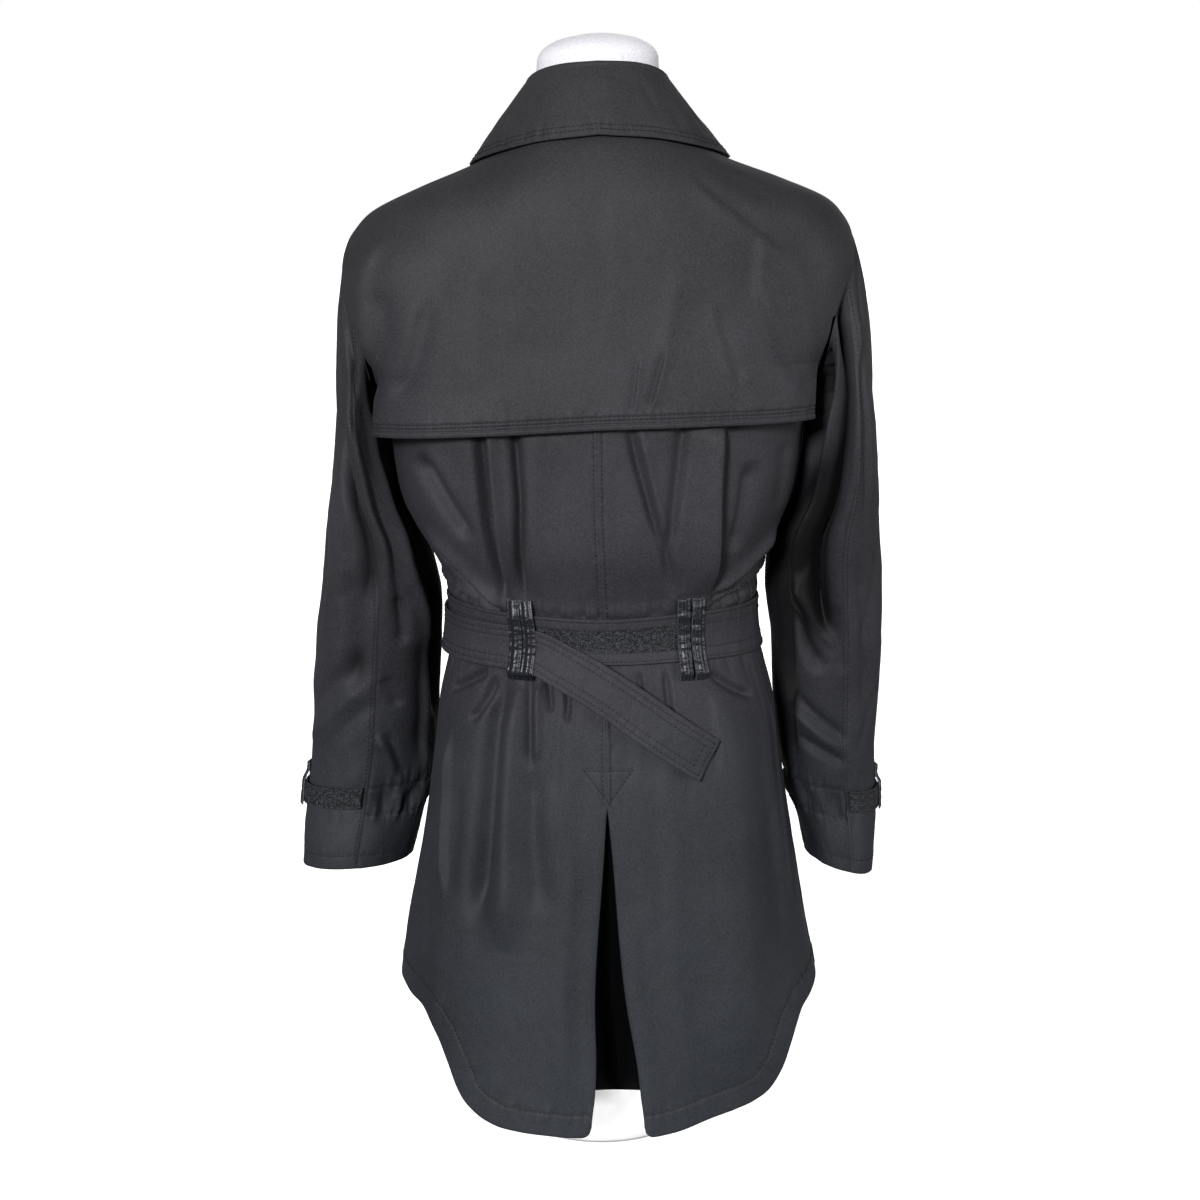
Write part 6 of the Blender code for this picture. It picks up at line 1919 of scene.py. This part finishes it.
def makeBeltBand():
    angle = np.linspace(-180, 180, beltLook["columns"] + 1)[:-1]
    share = np.linspace(-0.5, 0.5, beltLook["rows"])
    middle, width = readTable(beltRows, "z", angle), readTable(beltRows, "width", angle)
    turned = angle[None, :] + 0 * share[:, None]
    z = middle[None, :] + share[:, None] * width[None, :]
    relief, behind = beltRelief(turned, share[:, None] + 0 * turned, width[None, :] + 0 * turned)
    near = coat["beltOut"] + lapOut(angle, middle)
    outer = plainPoint(turned, z, near[None, :] + coat["strap"] + relief)
    normal = normalsOf(bodyBase, turned, z)
    _, across = roundBody(turned)
    uv = np.stack([across, z], axis=-1)
    up = (share[:, None] + 0.5) * width[None, :]
    picked = (behind > 0.5) & (up > beltLook["tape"]) & (width[None, :] - up > beltLook["tape"])
    woven = {"ring": True, "rimMaterial": tapeMaterial, "picked": picked}
    clothPiece("beltBand", "belt_band", outer, normal, uv, beltLook["sheet"], coat["strap"], **woven)
    # Rows from the edges go all round, the inner ones in front alone and the tape's behind alone.
    edge, tape = beltLook["edgeRow"] / width, beltLook["tape"] / width
    middles = (0.25 + 0 * width, -0.25 + 0 * width)
    ways = {"round": (edge - 0.5, -edge + 0.5), "front": middles, "back": (tape - 0.5, -tape + 0.5)}
    for where, place in [(where, place) for where, places in ways.items() for place in places]:
        rowRelief, rowBehind = beltRelief(angle, place, width)
        points = plainPoint(angle, middle + place * width, near + coat["strap"] + rowRelief)
        rowNormal = normalsOf(bodyBase, angle, middle + place * width)
        shown = {"round": rowBehind > -1, "front": rowBehind < 0.5, "back": rowBehind > 0.5}[where]
        for run in np.split(np.arange(len(angle)), np.nonzero(np.diff(shown.astype(int)))[0] + 1):
            if shown[run[0]] and len(run) > 6:
                addStitches("coatThread", points[run], rowNormal[run])


makeBeltBand()

tailRows = (
    ("front", 0.036, 0.4790, 0.0),
    ("front", 0.085, 0.4785, 0.0),
    ("front", 0.125, 0.4780, 0.0),
    ("back", 0.139, 0.4775, 0.0),
    ("back", 0.128, 0.4765, 0.0),
    ("back", 0.106, 0.4755, 0.0),
    ("back", 0.084, 0.4745, 0.0),
    ("back", 0.062, 0.4710, 0.0),
    ("back", 0.038, 0.4580, 0.0004),
    ("back", 0.013, 0.4435, 0.0012),
    ("back", -0.018, 0.4240, 0.0026),
    ("back", -0.052, 0.4010, 0.0040),
    ("back", -0.090, 0.3745, 0.0050),
)
tailLook = {
    "width": 0.0405,
    "clear": 0.0017,
    "columns": 28,
    "rows": 341,
    "edgeRows": (0.0045, 0.0105),
    "wrinkle": 0.0006,
    "sheet": ((0.040, 0.50), "draped", ["belt_band", *backNodes]),
}


def makeBeltTail():
    stations = [(float(angleAt(x, z, face)), z, lift) for face, x, z, lift in tailRows]
    table = (("angle", "z", "lift"), stations)
    angle = np.linspace(stations[0][0], stations[-1][0], tailLook["rows"])
    z, lift = readTable(table, "z", angle), readTable(table, "lift", angle)
    near = coat["beltOut"] + coat["strap"] + tailLook["clear"] + lift + lapOut(angle, z)
    middle = plainPoint(angle, z, near)
    along = np.gradient(middle, axis=0)
    along = unit(along)
    across = np.cross(normalsOf(bodyBase, angle, z), along)
    across = unit(across)
    share = np.linspace(0.5, -0.5, tailLook["columns"])
    place = middle[:, None, :] + across[:, None, :] * (share * tailLook["width"])[None, :, None]
    turned = np.degrees(np.arctan2(place[..., 1], place[..., 0]))
    level = place[..., 2]
    length = np.concatenate([[0], np.cumsum(np.linalg.norm(np.diff(middle, axis=0), axis=1))])
    s = length[:, None] + 0 * level
    side = (0.5 - share)[None, :] * tailLook["width"] + 0 * s
    edge = np.minimum(np.minimum(side, tailLook["width"] - side), length[-1] - s)
    relief = tailLook["wrinkle"] * softNoise(s / 0.016, side / 0.022, 141)
    relief = relief + 0.00025 * softNoise(s / 0.0045, side / 0.010, 142)
    relief = relief + 0.0016 * ramp(0.06, 0.0, length[-1] - s) * softNoise(s / 0.05, side / 0.03, 143)
    for row in tailLook["edgeRows"]:
        relief = relief - 0.0004 * bump(row, 0.0008, edge)
    pucker = softNoise(s / 0.0030, side / 0.0060, 144) * bump(0.0075, 0.0050, edge)
    relief = np.maximum(relief + 0.0003 * pucker, -0.0008)
    outer = plainPoint(turned, level, near[:, None] + coat["strap"] + relief)
    normal = normalsOf(bodyBase, turned, level)
    uv = np.stack([side, s], axis=-1)
    clothPiece("beltTail", "belt_tail", outer, normal, uv, tailLook["sheet"], coat["strap"])
    for row in tailLook["edgeRows"]:
        first = int(round(row / tailLook["width"] * (tailLook["columns"] - 1)))
        last = tailLook["columns"] - 1 - first
        stop = int(np.argmin(np.abs(length[-1] - length - row)))
        for column in (first, last):
            addStitches("coatThread", outer[: stop + 1, column], normal[: stop + 1, column])
        addStitches("coatThread", outer[stop, first : last + 1], normal[stop, first : last + 1])


makeBeltTail()
print("belt: made")


beltLoopLook = {"levels": (0.446, 0.519), "leans": (0.0, 0.35, 0.55, 0.2), "meanRadius": 0.105}


def makeBeltLoop(number, x):
    low, high = beltLoopLook["levels"]
    over = coat["beltOut"] + coat["strap"] + 2 * coat["gap"]
    if x > 0:
        over = over + coat["strap"] + tailLook["clear"]
    corners = (low, low + 0.0030, low + 0.0052, 0.484, high - 0.0140, high - 0.0065, high)
    near = (2 * coat["gap"], over * 0.8, over, over, over, over * 0.65, 2 * coat["gap"])
    levels = np.linspace(low, high, 121)
    out = softened(np.interp(levels, corners, near))
    # The ends stay down on the cloth, and the strip bulges over the belt.
    middle = float(angleAt(x, 0.484, "back"))
    half = math.degrees(0.5 * loopWidth / beltLoopLook["meanRadius"])
    angles = np.linspace(middle - half, middle + half, 16)
    lean = beltLoopLook["leans"][number - 1]
    turned = angles[None, :] + lean * np.sin((levels[:, None] - low) / (high - low) * math.pi)
    z = levels[:, None] + 0 * turned
    grid = plainPoint(turned, z, out[:, None] + coat["leather"])
    normals = normalsOf(bodyBase, turned, z)
    leatherStrip(f"beltLoop_{number}", grid, normals, high - low, loopWidth, f"belt_loop_{number}")


for number, x in enumerate(loopX, 1):
    makeBeltLoop(number, x)
print("belt loops: made")

buckleLook = {"x": 0.030, "width": 0.046, "height": 0.058, "bar": 0.007, "thick": 0.004, "corner": 0.006}


def placedOnFront(x, z, out):
    angle = float(angleAt(x, z, "front"))
    point = plainPoint(angle, z, out)
    normal = normalsOf(bodyBase, np.float64(angle), np.float64(z))
    across = np.cross(np.array([0.0, 0.0, 1.0]), normal)
    across = across / np.linalg.norm(across)
    return point, across, np.cross(normal, across), normal


def roundedLoop(halfWidth, halfHeight, corner, count):
    points = []
    for sx, sy, start in ((1, 1, 0), (-1, 1, 90), (-1, -1, 180), (1, -1, 270)):
        for turn in np.radians(np.linspace(start, start + 90, count)):
            x = sx * (halfWidth - corner) + corner * math.cos(turn)
            points.append((x, sy * (halfHeight - corner) + corner * math.sin(turn)))
    return np.array(points)


def makeBuckle():
    out = coat["beltOut"] + 2 * coat["strap"] + 2 * tailLook["clear"] + 2 * coat["gap"] + coat["lap"]
    centre, across, up, normal = placedOnFront(buckleLook["x"], 0.4825, out)
    bar, thick = buckleLook["bar"] / 2, buckleLook["thick"] / 2
    halfWidth, halfHeight = buckleLook["width"] / 2 - bar, buckleLook["height"] / 2 - bar
    middle = roundedLoop(halfWidth, halfHeight, buckleLook["corner"], 9)
    outward = roundedLoop(1.0, 1.0, 1.0, 9)
    outward = unit(outward)
    rows = []
    for turn in np.radians(np.linspace(0, 360, 21)[:-1]):
        aside = bar * np.sign(math.cos(turn)) * abs(math.cos(turn)) ** 0.6
        high = thick * np.sign(math.sin(turn)) * abs(math.sin(turn)) ** 0.6
        ring = middle + outward * aside
        rows.append(centre + ring[:, :1] * across + ring[:, 1:] * up + (thick + high) * normal)
    grid = np.array(rows)
    tall, wide = grid.shape[:2]
    index = np.arange(tall * wide).reshape(tall, wide)
    following, ahead = np.roll(index, -1, axis=0), np.roll(index, -1, axis=1)
    both = np.roll(following, -1, axis=1)
    faces = np.stack([index, ahead, both, following], axis=-1).reshape(-1, 4).tolist()
    points = grid.reshape(-1, 3)
    if closedVolume(points, faces) < 0:
        faces = [face[::-1] for face in faces]
    piece = meshPiece("beltBuckle", posed(points), faces, materials["plastic"])
    settle(piece, "button_plastic", "belt_buckle")


def closedVolume(points, faces):
    total = 0.0
    for face in faces:
        for k in range(1, len(face) - 1):
            a, b, c = points[face[0]], points[face[k]], points[face[k + 1]]
            total += float(np.dot(a, np.cross(b, c)))
    return total / 6


makeBuckle()

buttonLook = {
    "x": 0.052,
    "levels": (0.775, 0.655, 0.395),
    "radius": 0.011,
    "thick": 0.0038,
    "sides": 40,
    "holeAt": 0.0026,
    "profile": (  # shares of its radius and its thickness
        (0, 0), (0.80, 0), (0.93, 0.12), (1, 0.38), (1, 0.72), (0.965, 0.92),
        (0.90, 1), (0.82, 0.97), (0.74, 0.82), (0.66, 0.72), (0, 0.72),
    ),
}


def lathe(profile, sides, place):
    # a turned body, with its first and last profile points on the axis
    points, rings = [], []
    for radius, height in profile:
        if radius == 0:
            rings.append([len(points)])
            points.append(place(0.0, 0.0, height))
            continue
        rings.append(list(range(len(points), len(points) + sides)))
        for k in range(sides):
            turn = 2 * math.pi * k / sides
            points.append(place(radius * math.cos(turn), radius * math.sin(turn), height))
    faces = []
    for low, high in zip(rings[:-1], rings[1:]):
        for k in range(sides):
            following = (k + 1) % sides
            if len(low) == 1:
                faces.append([low[0], high[following], high[k]])
            elif len(high) == 1:
                faces.append([low[k], low[following], high[0]])
            else:
                faces.append([low[k], low[following], high[following], high[k]])
    points = np.array(points)
    if closedVolume(points, faces) < 0:
        faces = [face[::-1] for face in faces]
    return points, faces


def makeButton(number, x, z):
    centre, across, up, normal = placedOnFront(x, z, coat["lap"] + coat["gap"])
    r, t = buttonLook["radius"], buttonLook["thick"]
    profile = [(wide * r, high * t) for wide, high in buttonLook["profile"]]

    def onFront(a, b, h):
        return centre + a * across + b * up + h * normal

    points, faces = lathe(profile, buttonLook["sides"], onFront)
    piece = meshPiece(f"frontButton_{number}", posed(points), faces, materials["plastic"], sharp=45)
    settle(piece, "button_plastic", f"button_{number}")
    top = 0.72 * t + 0.0001
    reach = buttonLook["holeAt"] / math.sqrt(2)
    for sign in (1, -1):
        share = np.linspace(-1, 1, 9)
        line = [centre + sign * reach * up + s * reach * across + top * normal for s in share]
        addStitches("coatThread", np.array(line), np.array([normal] * len(share)), 0.0004)


places = [(sign * buttonLook["x"], z) for z in buttonLook["levels"] for sign in (1, -1)]
for number, (x, z) in enumerate(places, 1):
    makeButton(number, x, z)
print("buckle and buttons: made")

formRows = (
    ("z", "halfWidth", "back", "front"),
    (
        (0.330, 0.138, 0.098, 0.098),
        (0.400, 0.134, 0.094, 0.094),
        (0.480, 0.118, 0.082, 0.084),
        (0.560, 0.130, 0.088, 0.096),
        (0.640, 0.154, 0.096, 0.113),
        (0.700, 0.170, 0.101, 0.116),
        (0.760, 0.184, 0.103, 0.108),
        (0.800, 0.192, 0.103, 0.101),
        (0.835, 0.188, 0.101, 0.094),
        (0.860, 0.176, 0.098, 0.087),
        (0.885, 0.138, 0.092, 0.076),
        (0.905, 0.092, 0.084, 0.066),
        (0.928, 0.060, 0.068, 0.060),
    ),
)
formNeckRows = (
    ("z", "halfWidth", "back", "front"),
    (
        (0.928, 0.0590, 0.0660, 0.0600),
        (0.944, 0.0570, 0.0570, 0.0590),
        (0.965, 0.0550, 0.0520, 0.0580),
        (0.985, 0.0545, 0.0505, 0.0575),
        (0.996, 0.0525, 0.0485, 0.0555),
        (1.004, 0.0440, 0.0410, 0.0470),
        (1.010, 0.0290, 0.0270, 0.0310),
        (1.013, 0.0120, 0.0110, 0.0130),
    ),
)
formLook = {"sides": 84, "clear": 0.0050, "foot": 0.330, "head": 1.0138}


def formRing(angle, z):
    own = section(angle, z, *[readTable(formRows, name, z) for name in formRows[0][1:]], 2.3, 2.2)
    underCoat = plainPoint(angle, z, -coat["cloth"] - formLook["clear"])
    behind = ramp(-0.75, -0.35, np.sin(np.radians(angle)))
    share = (float(ramp(0.858, 0.885, z)) * behind)[:, None]
    return own * (1 - share) + underCoat * share


def makeForm():
    angle = np.linspace(0, 360, formLook["sides"] + 1)[:-1]
    rings = [formRing(angle, formLook["foot"]) * np.array([wide, wide, 1]) for wide in (0.90, 0.965)]
    for z in [0.3325, *np.linspace(0.338, 0.922, 96)]:
        rings.append(formRing(angle, float(z)))
    top = (0.999, 1.002, 1.0045, 1.007, 1.009, 1.011, 1.0125, 1.013)
    for z in [0.930, 0.937, *np.linspace(0.944, 0.996, 12), *top]:
        neck = [readTable(formNeckRows, name, z) for name in formNeckRows[0][1:]]
        rings.append(section(angle, z, *neck, 2.1, 2.1))
    count = len(angle)
    ends = [(0, 0, formLook["foot"]), (0, 0, formLook["head"])]
    points = np.concatenate([np.array(rings).reshape(-1, 3), ends])
    faces = []
    for ring in range(len(rings) - 1):
        for k in range(count):
            low, high, following = ring * count, (ring + 1) * count, (k + 1) % count
            faces.append([low + k, low + following, high + following, high + k])
    last = (len(rings) - 1) * count
    for k in range(count):
        following = (k + 1) % count
        faces.append([following, k, len(points) - 2])
        faces.append([last + k, last + following, len(points) - 1])
    piece = meshPiece("formTorso", posed(points), faces, materials["cover"])
    settle(piece, "form_cover", "form_torso")


makeForm()

standLook = {
    "baseRadius": 0.080,
    "baseThick": 0.011,
    "poleRadius": 0.014,
    "poleFoot": 0.030,
    "top": 0.3297,
    "sides": 96,
}


def makeStand():
    r, t = standLook["baseRadius"], standLook["baseThick"]
    foot, pole, top = standLook["poleFoot"], standLook["poleRadius"], standLook["top"]
    profile = [(0, 0), (0.97 * r, 0), (0.992 * r, 0.0005), (r, 0.0018), (r, t - 0.0035)]
    profile += [(0.995 * r, t - 0.0016), (0.975 * r, t), (0.70 * r, t + 0.0010), (foot, t + 0.0020)]
    for share in np.linspace(0.1, 1, 10):
        inward = foot + (pole - foot) * math.sin(share * math.pi / 2)
        profile.append((inward, t + 0.0020 + 0.0200 * share**2.2))
    profile += [(pole, top - 0.0005), (pole - 0.0005, top), (0, top)]
    points, faces = lathe(profile, standLook["sides"], lambda a, b, h: (a, b, h))
    piece = meshPiece("formStand", points, faces, materials["paint"], sharp=50)
    settle(piece, "stand_paint", "form_stand")


makeStand()
print("dress form: made")

stitchLook = {
    "coatThread": {
        "Pitch": 0.0040,
        "Stitch Length": 0.0031,
        "Thread Width": 0.00085,
        "Tilt": 0.10,
        "Seed": 3,
    },
    "paleThread": {
        "Pitch": 0.0030,
        "Stitch Length": 0.0024,
        "Thread Width": 0.00050,
        "Tilt": 0.08,
        "Seed": 5,
    },
}


def stitchTree():
    tree = bpy.data.node_groups.new("stitchRows", "GeometryNodeTree")
    sockets = tree.interface
    sockets.new_socket("Geometry", in_out="INPUT", socket_type="NodeSocketGeometry")
    for name in ("Pitch", "Stitch Length", "Thread Width", "Tilt"):
        sockets.new_socket(name, in_out="INPUT", socket_type="NodeSocketFloat")
    sockets.new_socket("Seed", in_out="INPUT", socket_type="NodeSocketInt")
    sockets.new_socket("Thread", in_out="INPUT", socket_type="NodeSocketMaterial")
    sockets.new_socket("Geometry", in_out="OUTPUT", socket_type="NodeSocketGeometry")
    join = tree.links.new
    given = addNode(tree, "NodeGroupInput")
    curve = addNode(tree, "GeometryNodeMeshToCurve")
    join(given.outputs["Geometry"], curve.inputs["Mesh"])
    spots = addNode(tree, "GeometryNodeCurveToPoints", mode="LENGTH")
    join(curve.outputs["Curve"], spots.inputs["Curve"])
    join(given.outputs["Pitch"], spots.inputs["Length"])
    bead = addNode(tree, "GeometryNodeMeshUVSphere", {"Segments": 5, "Rings": 3, "Radius": 0.5})
    size = addNode(tree, "ShaderNodeCombineXYZ")
    for axis, name in (("X", "Thread Width"), ("Y", "Thread Width"), ("Z", "Stitch Length")):
        join(given.outputs[name], size.inputs[axis])
    lean = addNode(tree, "ShaderNodeMath", {1: -1.0}, operation="MULTIPLY")
    join(given.outputs["Tilt"], lean.inputs[0])
    least, most = addNode(tree, "ShaderNodeCombineXYZ"), addNode(tree, "ShaderNodeCombineXYZ")
    for axis in ("X", "Y"):
        join(lean.outputs[0], least.inputs[axis])
        join(given.outputs["Tilt"], most.inputs[axis])
    loose = addNode(tree, "FunctionNodeRandomValue", data_type="FLOAT_VECTOR")
    join(least.outputs[0], loose.inputs[0])
    join(most.outputs[0], loose.inputs[1])
    join(given.outputs["Seed"], loose.inputs["Seed"])
    turn = addNode(tree, "FunctionNodeRotateRotation", rotation_space="LOCAL")
    join(spots.outputs["Rotation"], turn.inputs["Rotation"])
    join(loose.outputs[0], turn.inputs["Rotate By"])
    put = addNode(tree, "GeometryNodeInstanceOnPoints")
    join(spots.outputs["Points"], put.inputs["Points"])
    join(bead.outputs["Mesh"], put.inputs["Instance"])
    join(turn.outputs["Rotation"], put.inputs["Rotation"])
    join(size.outputs[0], put.inputs["Scale"])
    real = addNode(tree, "GeometryNodeRealizeInstances")
    join(put.outputs["Instances"], real.inputs["Geometry"])
    coloured = addNode(tree, "GeometryNodeSetMaterial")
    join(real.outputs["Geometry"], coloured.inputs["Geometry"])
    join(given.outputs["Thread"], coloured.inputs["Material"])
    out = addNode(tree, "NodeGroupOutput")
    join(coloured.outputs["Geometry"], out.inputs["Geometry"])
    return tree


def makeStitches(colour, tree):
    points, edges, start = [], [], 0
    for path in stitchPaths[colour]:
        points.append(path)
        edges += [(start + k, start + k + 1) for k in range(len(path) - 1)]
        start += len(path)
    guide = bpy.data.meshes.new(f"{colour}Guide")
    guide.from_pydata(np.concatenate(points).tolist(), edges, [])
    holder = bpy.data.objects.new(f"{colour}Holder", guide)
    bpy.context.scene.collection.objects.link(holder)
    modifier = holder.modifiers.new("stitchRows", "NODES")
    modifier.node_group = tree
    values = {**stitchLook[colour], "Thread": materials[colour]}
    for item in tree.interface.items_tree:
        if item.in_out == "INPUT" and item.name in values:
            modifier[item.identifier] = values[item.name]
    depsgraph = bpy.context.evaluated_depsgraph_get()
    mesh = bpy.data.meshes.new_from_object(holder.evaluated_get(depsgraph), depsgraph=depsgraph)
    bpy.data.objects.remove(holder, do_unlink=True)
    mesh.name = f"{colour}Stitches"
    mesh.shade_smooth()
    piece = bpy.data.objects.new(f"{colour}Stitches", mesh)
    bpy.context.scene.collection.objects.link(piece)
    settle(piece, "coat_cloth" if colour == "coatThread" else "loop_leather")
    print(f"stitches: {colour}, {len(mesh.polygons)} faces")


rowTree = stitchTree()
for colour in stitchPaths:
    makeStitches(colour, rowTree)

sheetLook = {"spare": 1.005, "leastShown": 0.31}  # shares of the cloth shown and of its cut
for piece, area, (width, length), held, restsOn in clothPieces:
    if width * length < area:
        grow = math.sqrt(area / (width * length)) * sheetLook["spare"]
        width, length = width * grow, length * grow
    area = max(area, sheetLook["leastShown"] * width * length)
    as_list(restsOn)

studio = {
    "cameraPlace": (0.0, 2.10, 0.89),
    "pitch": 10.5,
    "lens": 68.91,
    "sensor": 36,
    "shift": -2 / 1200,
    "floor": (0.86, 0.86, 0.87),
    "floorHalf": 30.0,
    "floorLevel": -0.0005,  # just under the stand
    "ambient": 0.045,
    "reflected": 0.22,
    "key": (0.30, 0.90, 0.30, 3.05, 12.0),  # where it comes from, its strength and its softness
    "wide": (0.85, 0.50, 0.20, 1.15, 60.0),
    "fill": (-0.85, 0.45, 0.20, 1.75, 40.0),
    "front": (-0.20, -0.95, 0.16, 3.2, 30.0),
    "paper": (0.0, 0.0, 1.0, 3.9, 60.0),  # for the floor and the stand alone
}


def addSun(name, x, y, z, power, softness, gloss=True, only=None):
    lamp = bpy.data.lights.new(name, "SUN")
    lamp.energy = power
    lamp.angle = math.radians(softness)
    holder = bpy.data.objects.new(name, lamp)
    holder.rotation_euler = (math.atan2(math.hypot(x, y), z), 0.0, math.atan2(x, -y))
    bpy.context.scene.collection.objects.link(holder)
    holder.visible_glossy = gloss
    if only:
        holder.light_linking.receiver_collection = only
        holder.light_linking.blocker_collection = only


def makeWorld():
    # a white surround that gives only a little light of its own
    world = bpy.data.worlds.new("studioWorld")
    world.use_nodes = True
    tree = world.node_tree
    background = tree.nodes["Background"]
    background.inputs["Color"].default_value = (1.0, 1.0, 1.0, 1.0)
    path = addNode(tree, "ShaderNodeLightPath")
    strengths = {"To Min": studio["ambient"], "To Max": studio["reflected"]}
    around = addNode(tree, "ShaderNodeMapRange", strengths)
    tree.links.new(path.outputs["Is Glossy Ray"], around.inputs["Value"])
    level = addNode(tree, "ShaderNodeMapRange", {"To Max": 1.0})
    tree.links.new(around.outputs["Result"], level.inputs["To Min"])
    tree.links.new(path.outputs["Is Camera Ray"], level.inputs["Value"])
    tree.links.new(level.outputs["Result"], background.inputs["Strength"])
    bpy.context.scene.world = world


def makeStudio():
    camera = bpy.data.cameras.new("studioCamera")
    camera.lens = studio["lens"]
    camera.sensor_width = studio["sensor"]
    camera.shift_x = studio["shift"]
    holder = bpy.data.objects.new("studioCamera", camera)
    holder.location = studio["cameraPlace"]
    holder.rotation_euler = (math.radians(90 - studio["pitch"]), 0.0, math.radians(180))
    bpy.context.scene.collection.objects.link(holder)
    bpy.context.scene.camera = holder
    for name in ("key", "wide", "fill", "front"):
        addSun(name, *studio[name], name in ("key", "fill"))
    reach = studio["floorHalf"]
    floorMesh = bpy.data.meshes.new("floor")
    corners = [(-reach, -reach, 0), (reach, -reach, 0), (reach, reach, 0), (-reach, reach, 0)]
    floorMesh.from_pydata(corners, [], [[0, 1, 2, 3]])
    floorMesh.materials.append(newMaterial("floorPaper", studio["floor"], 0.85)[0])
    floor = bpy.data.objects.new("floor", floorMesh)
    floor.location = (0, 0, studio["floorLevel"])
    floor.visible_diffuse = False
    floor.visible_glossy = False
    bpy.context.scene.collection.objects.link(floor)
    underneath = bpy.data.collections.new("floorAndStand")
    underneath.objects.link(floor)
    underneath.objects.link(bpy.data.objects["formStand"])
    addSun("paper", *studio["paper"], False, underneath)
    makeWorld()
    bpy.context.scene.view_settings.view_transform = "Standard"


makeStudio()
print("studio: set")
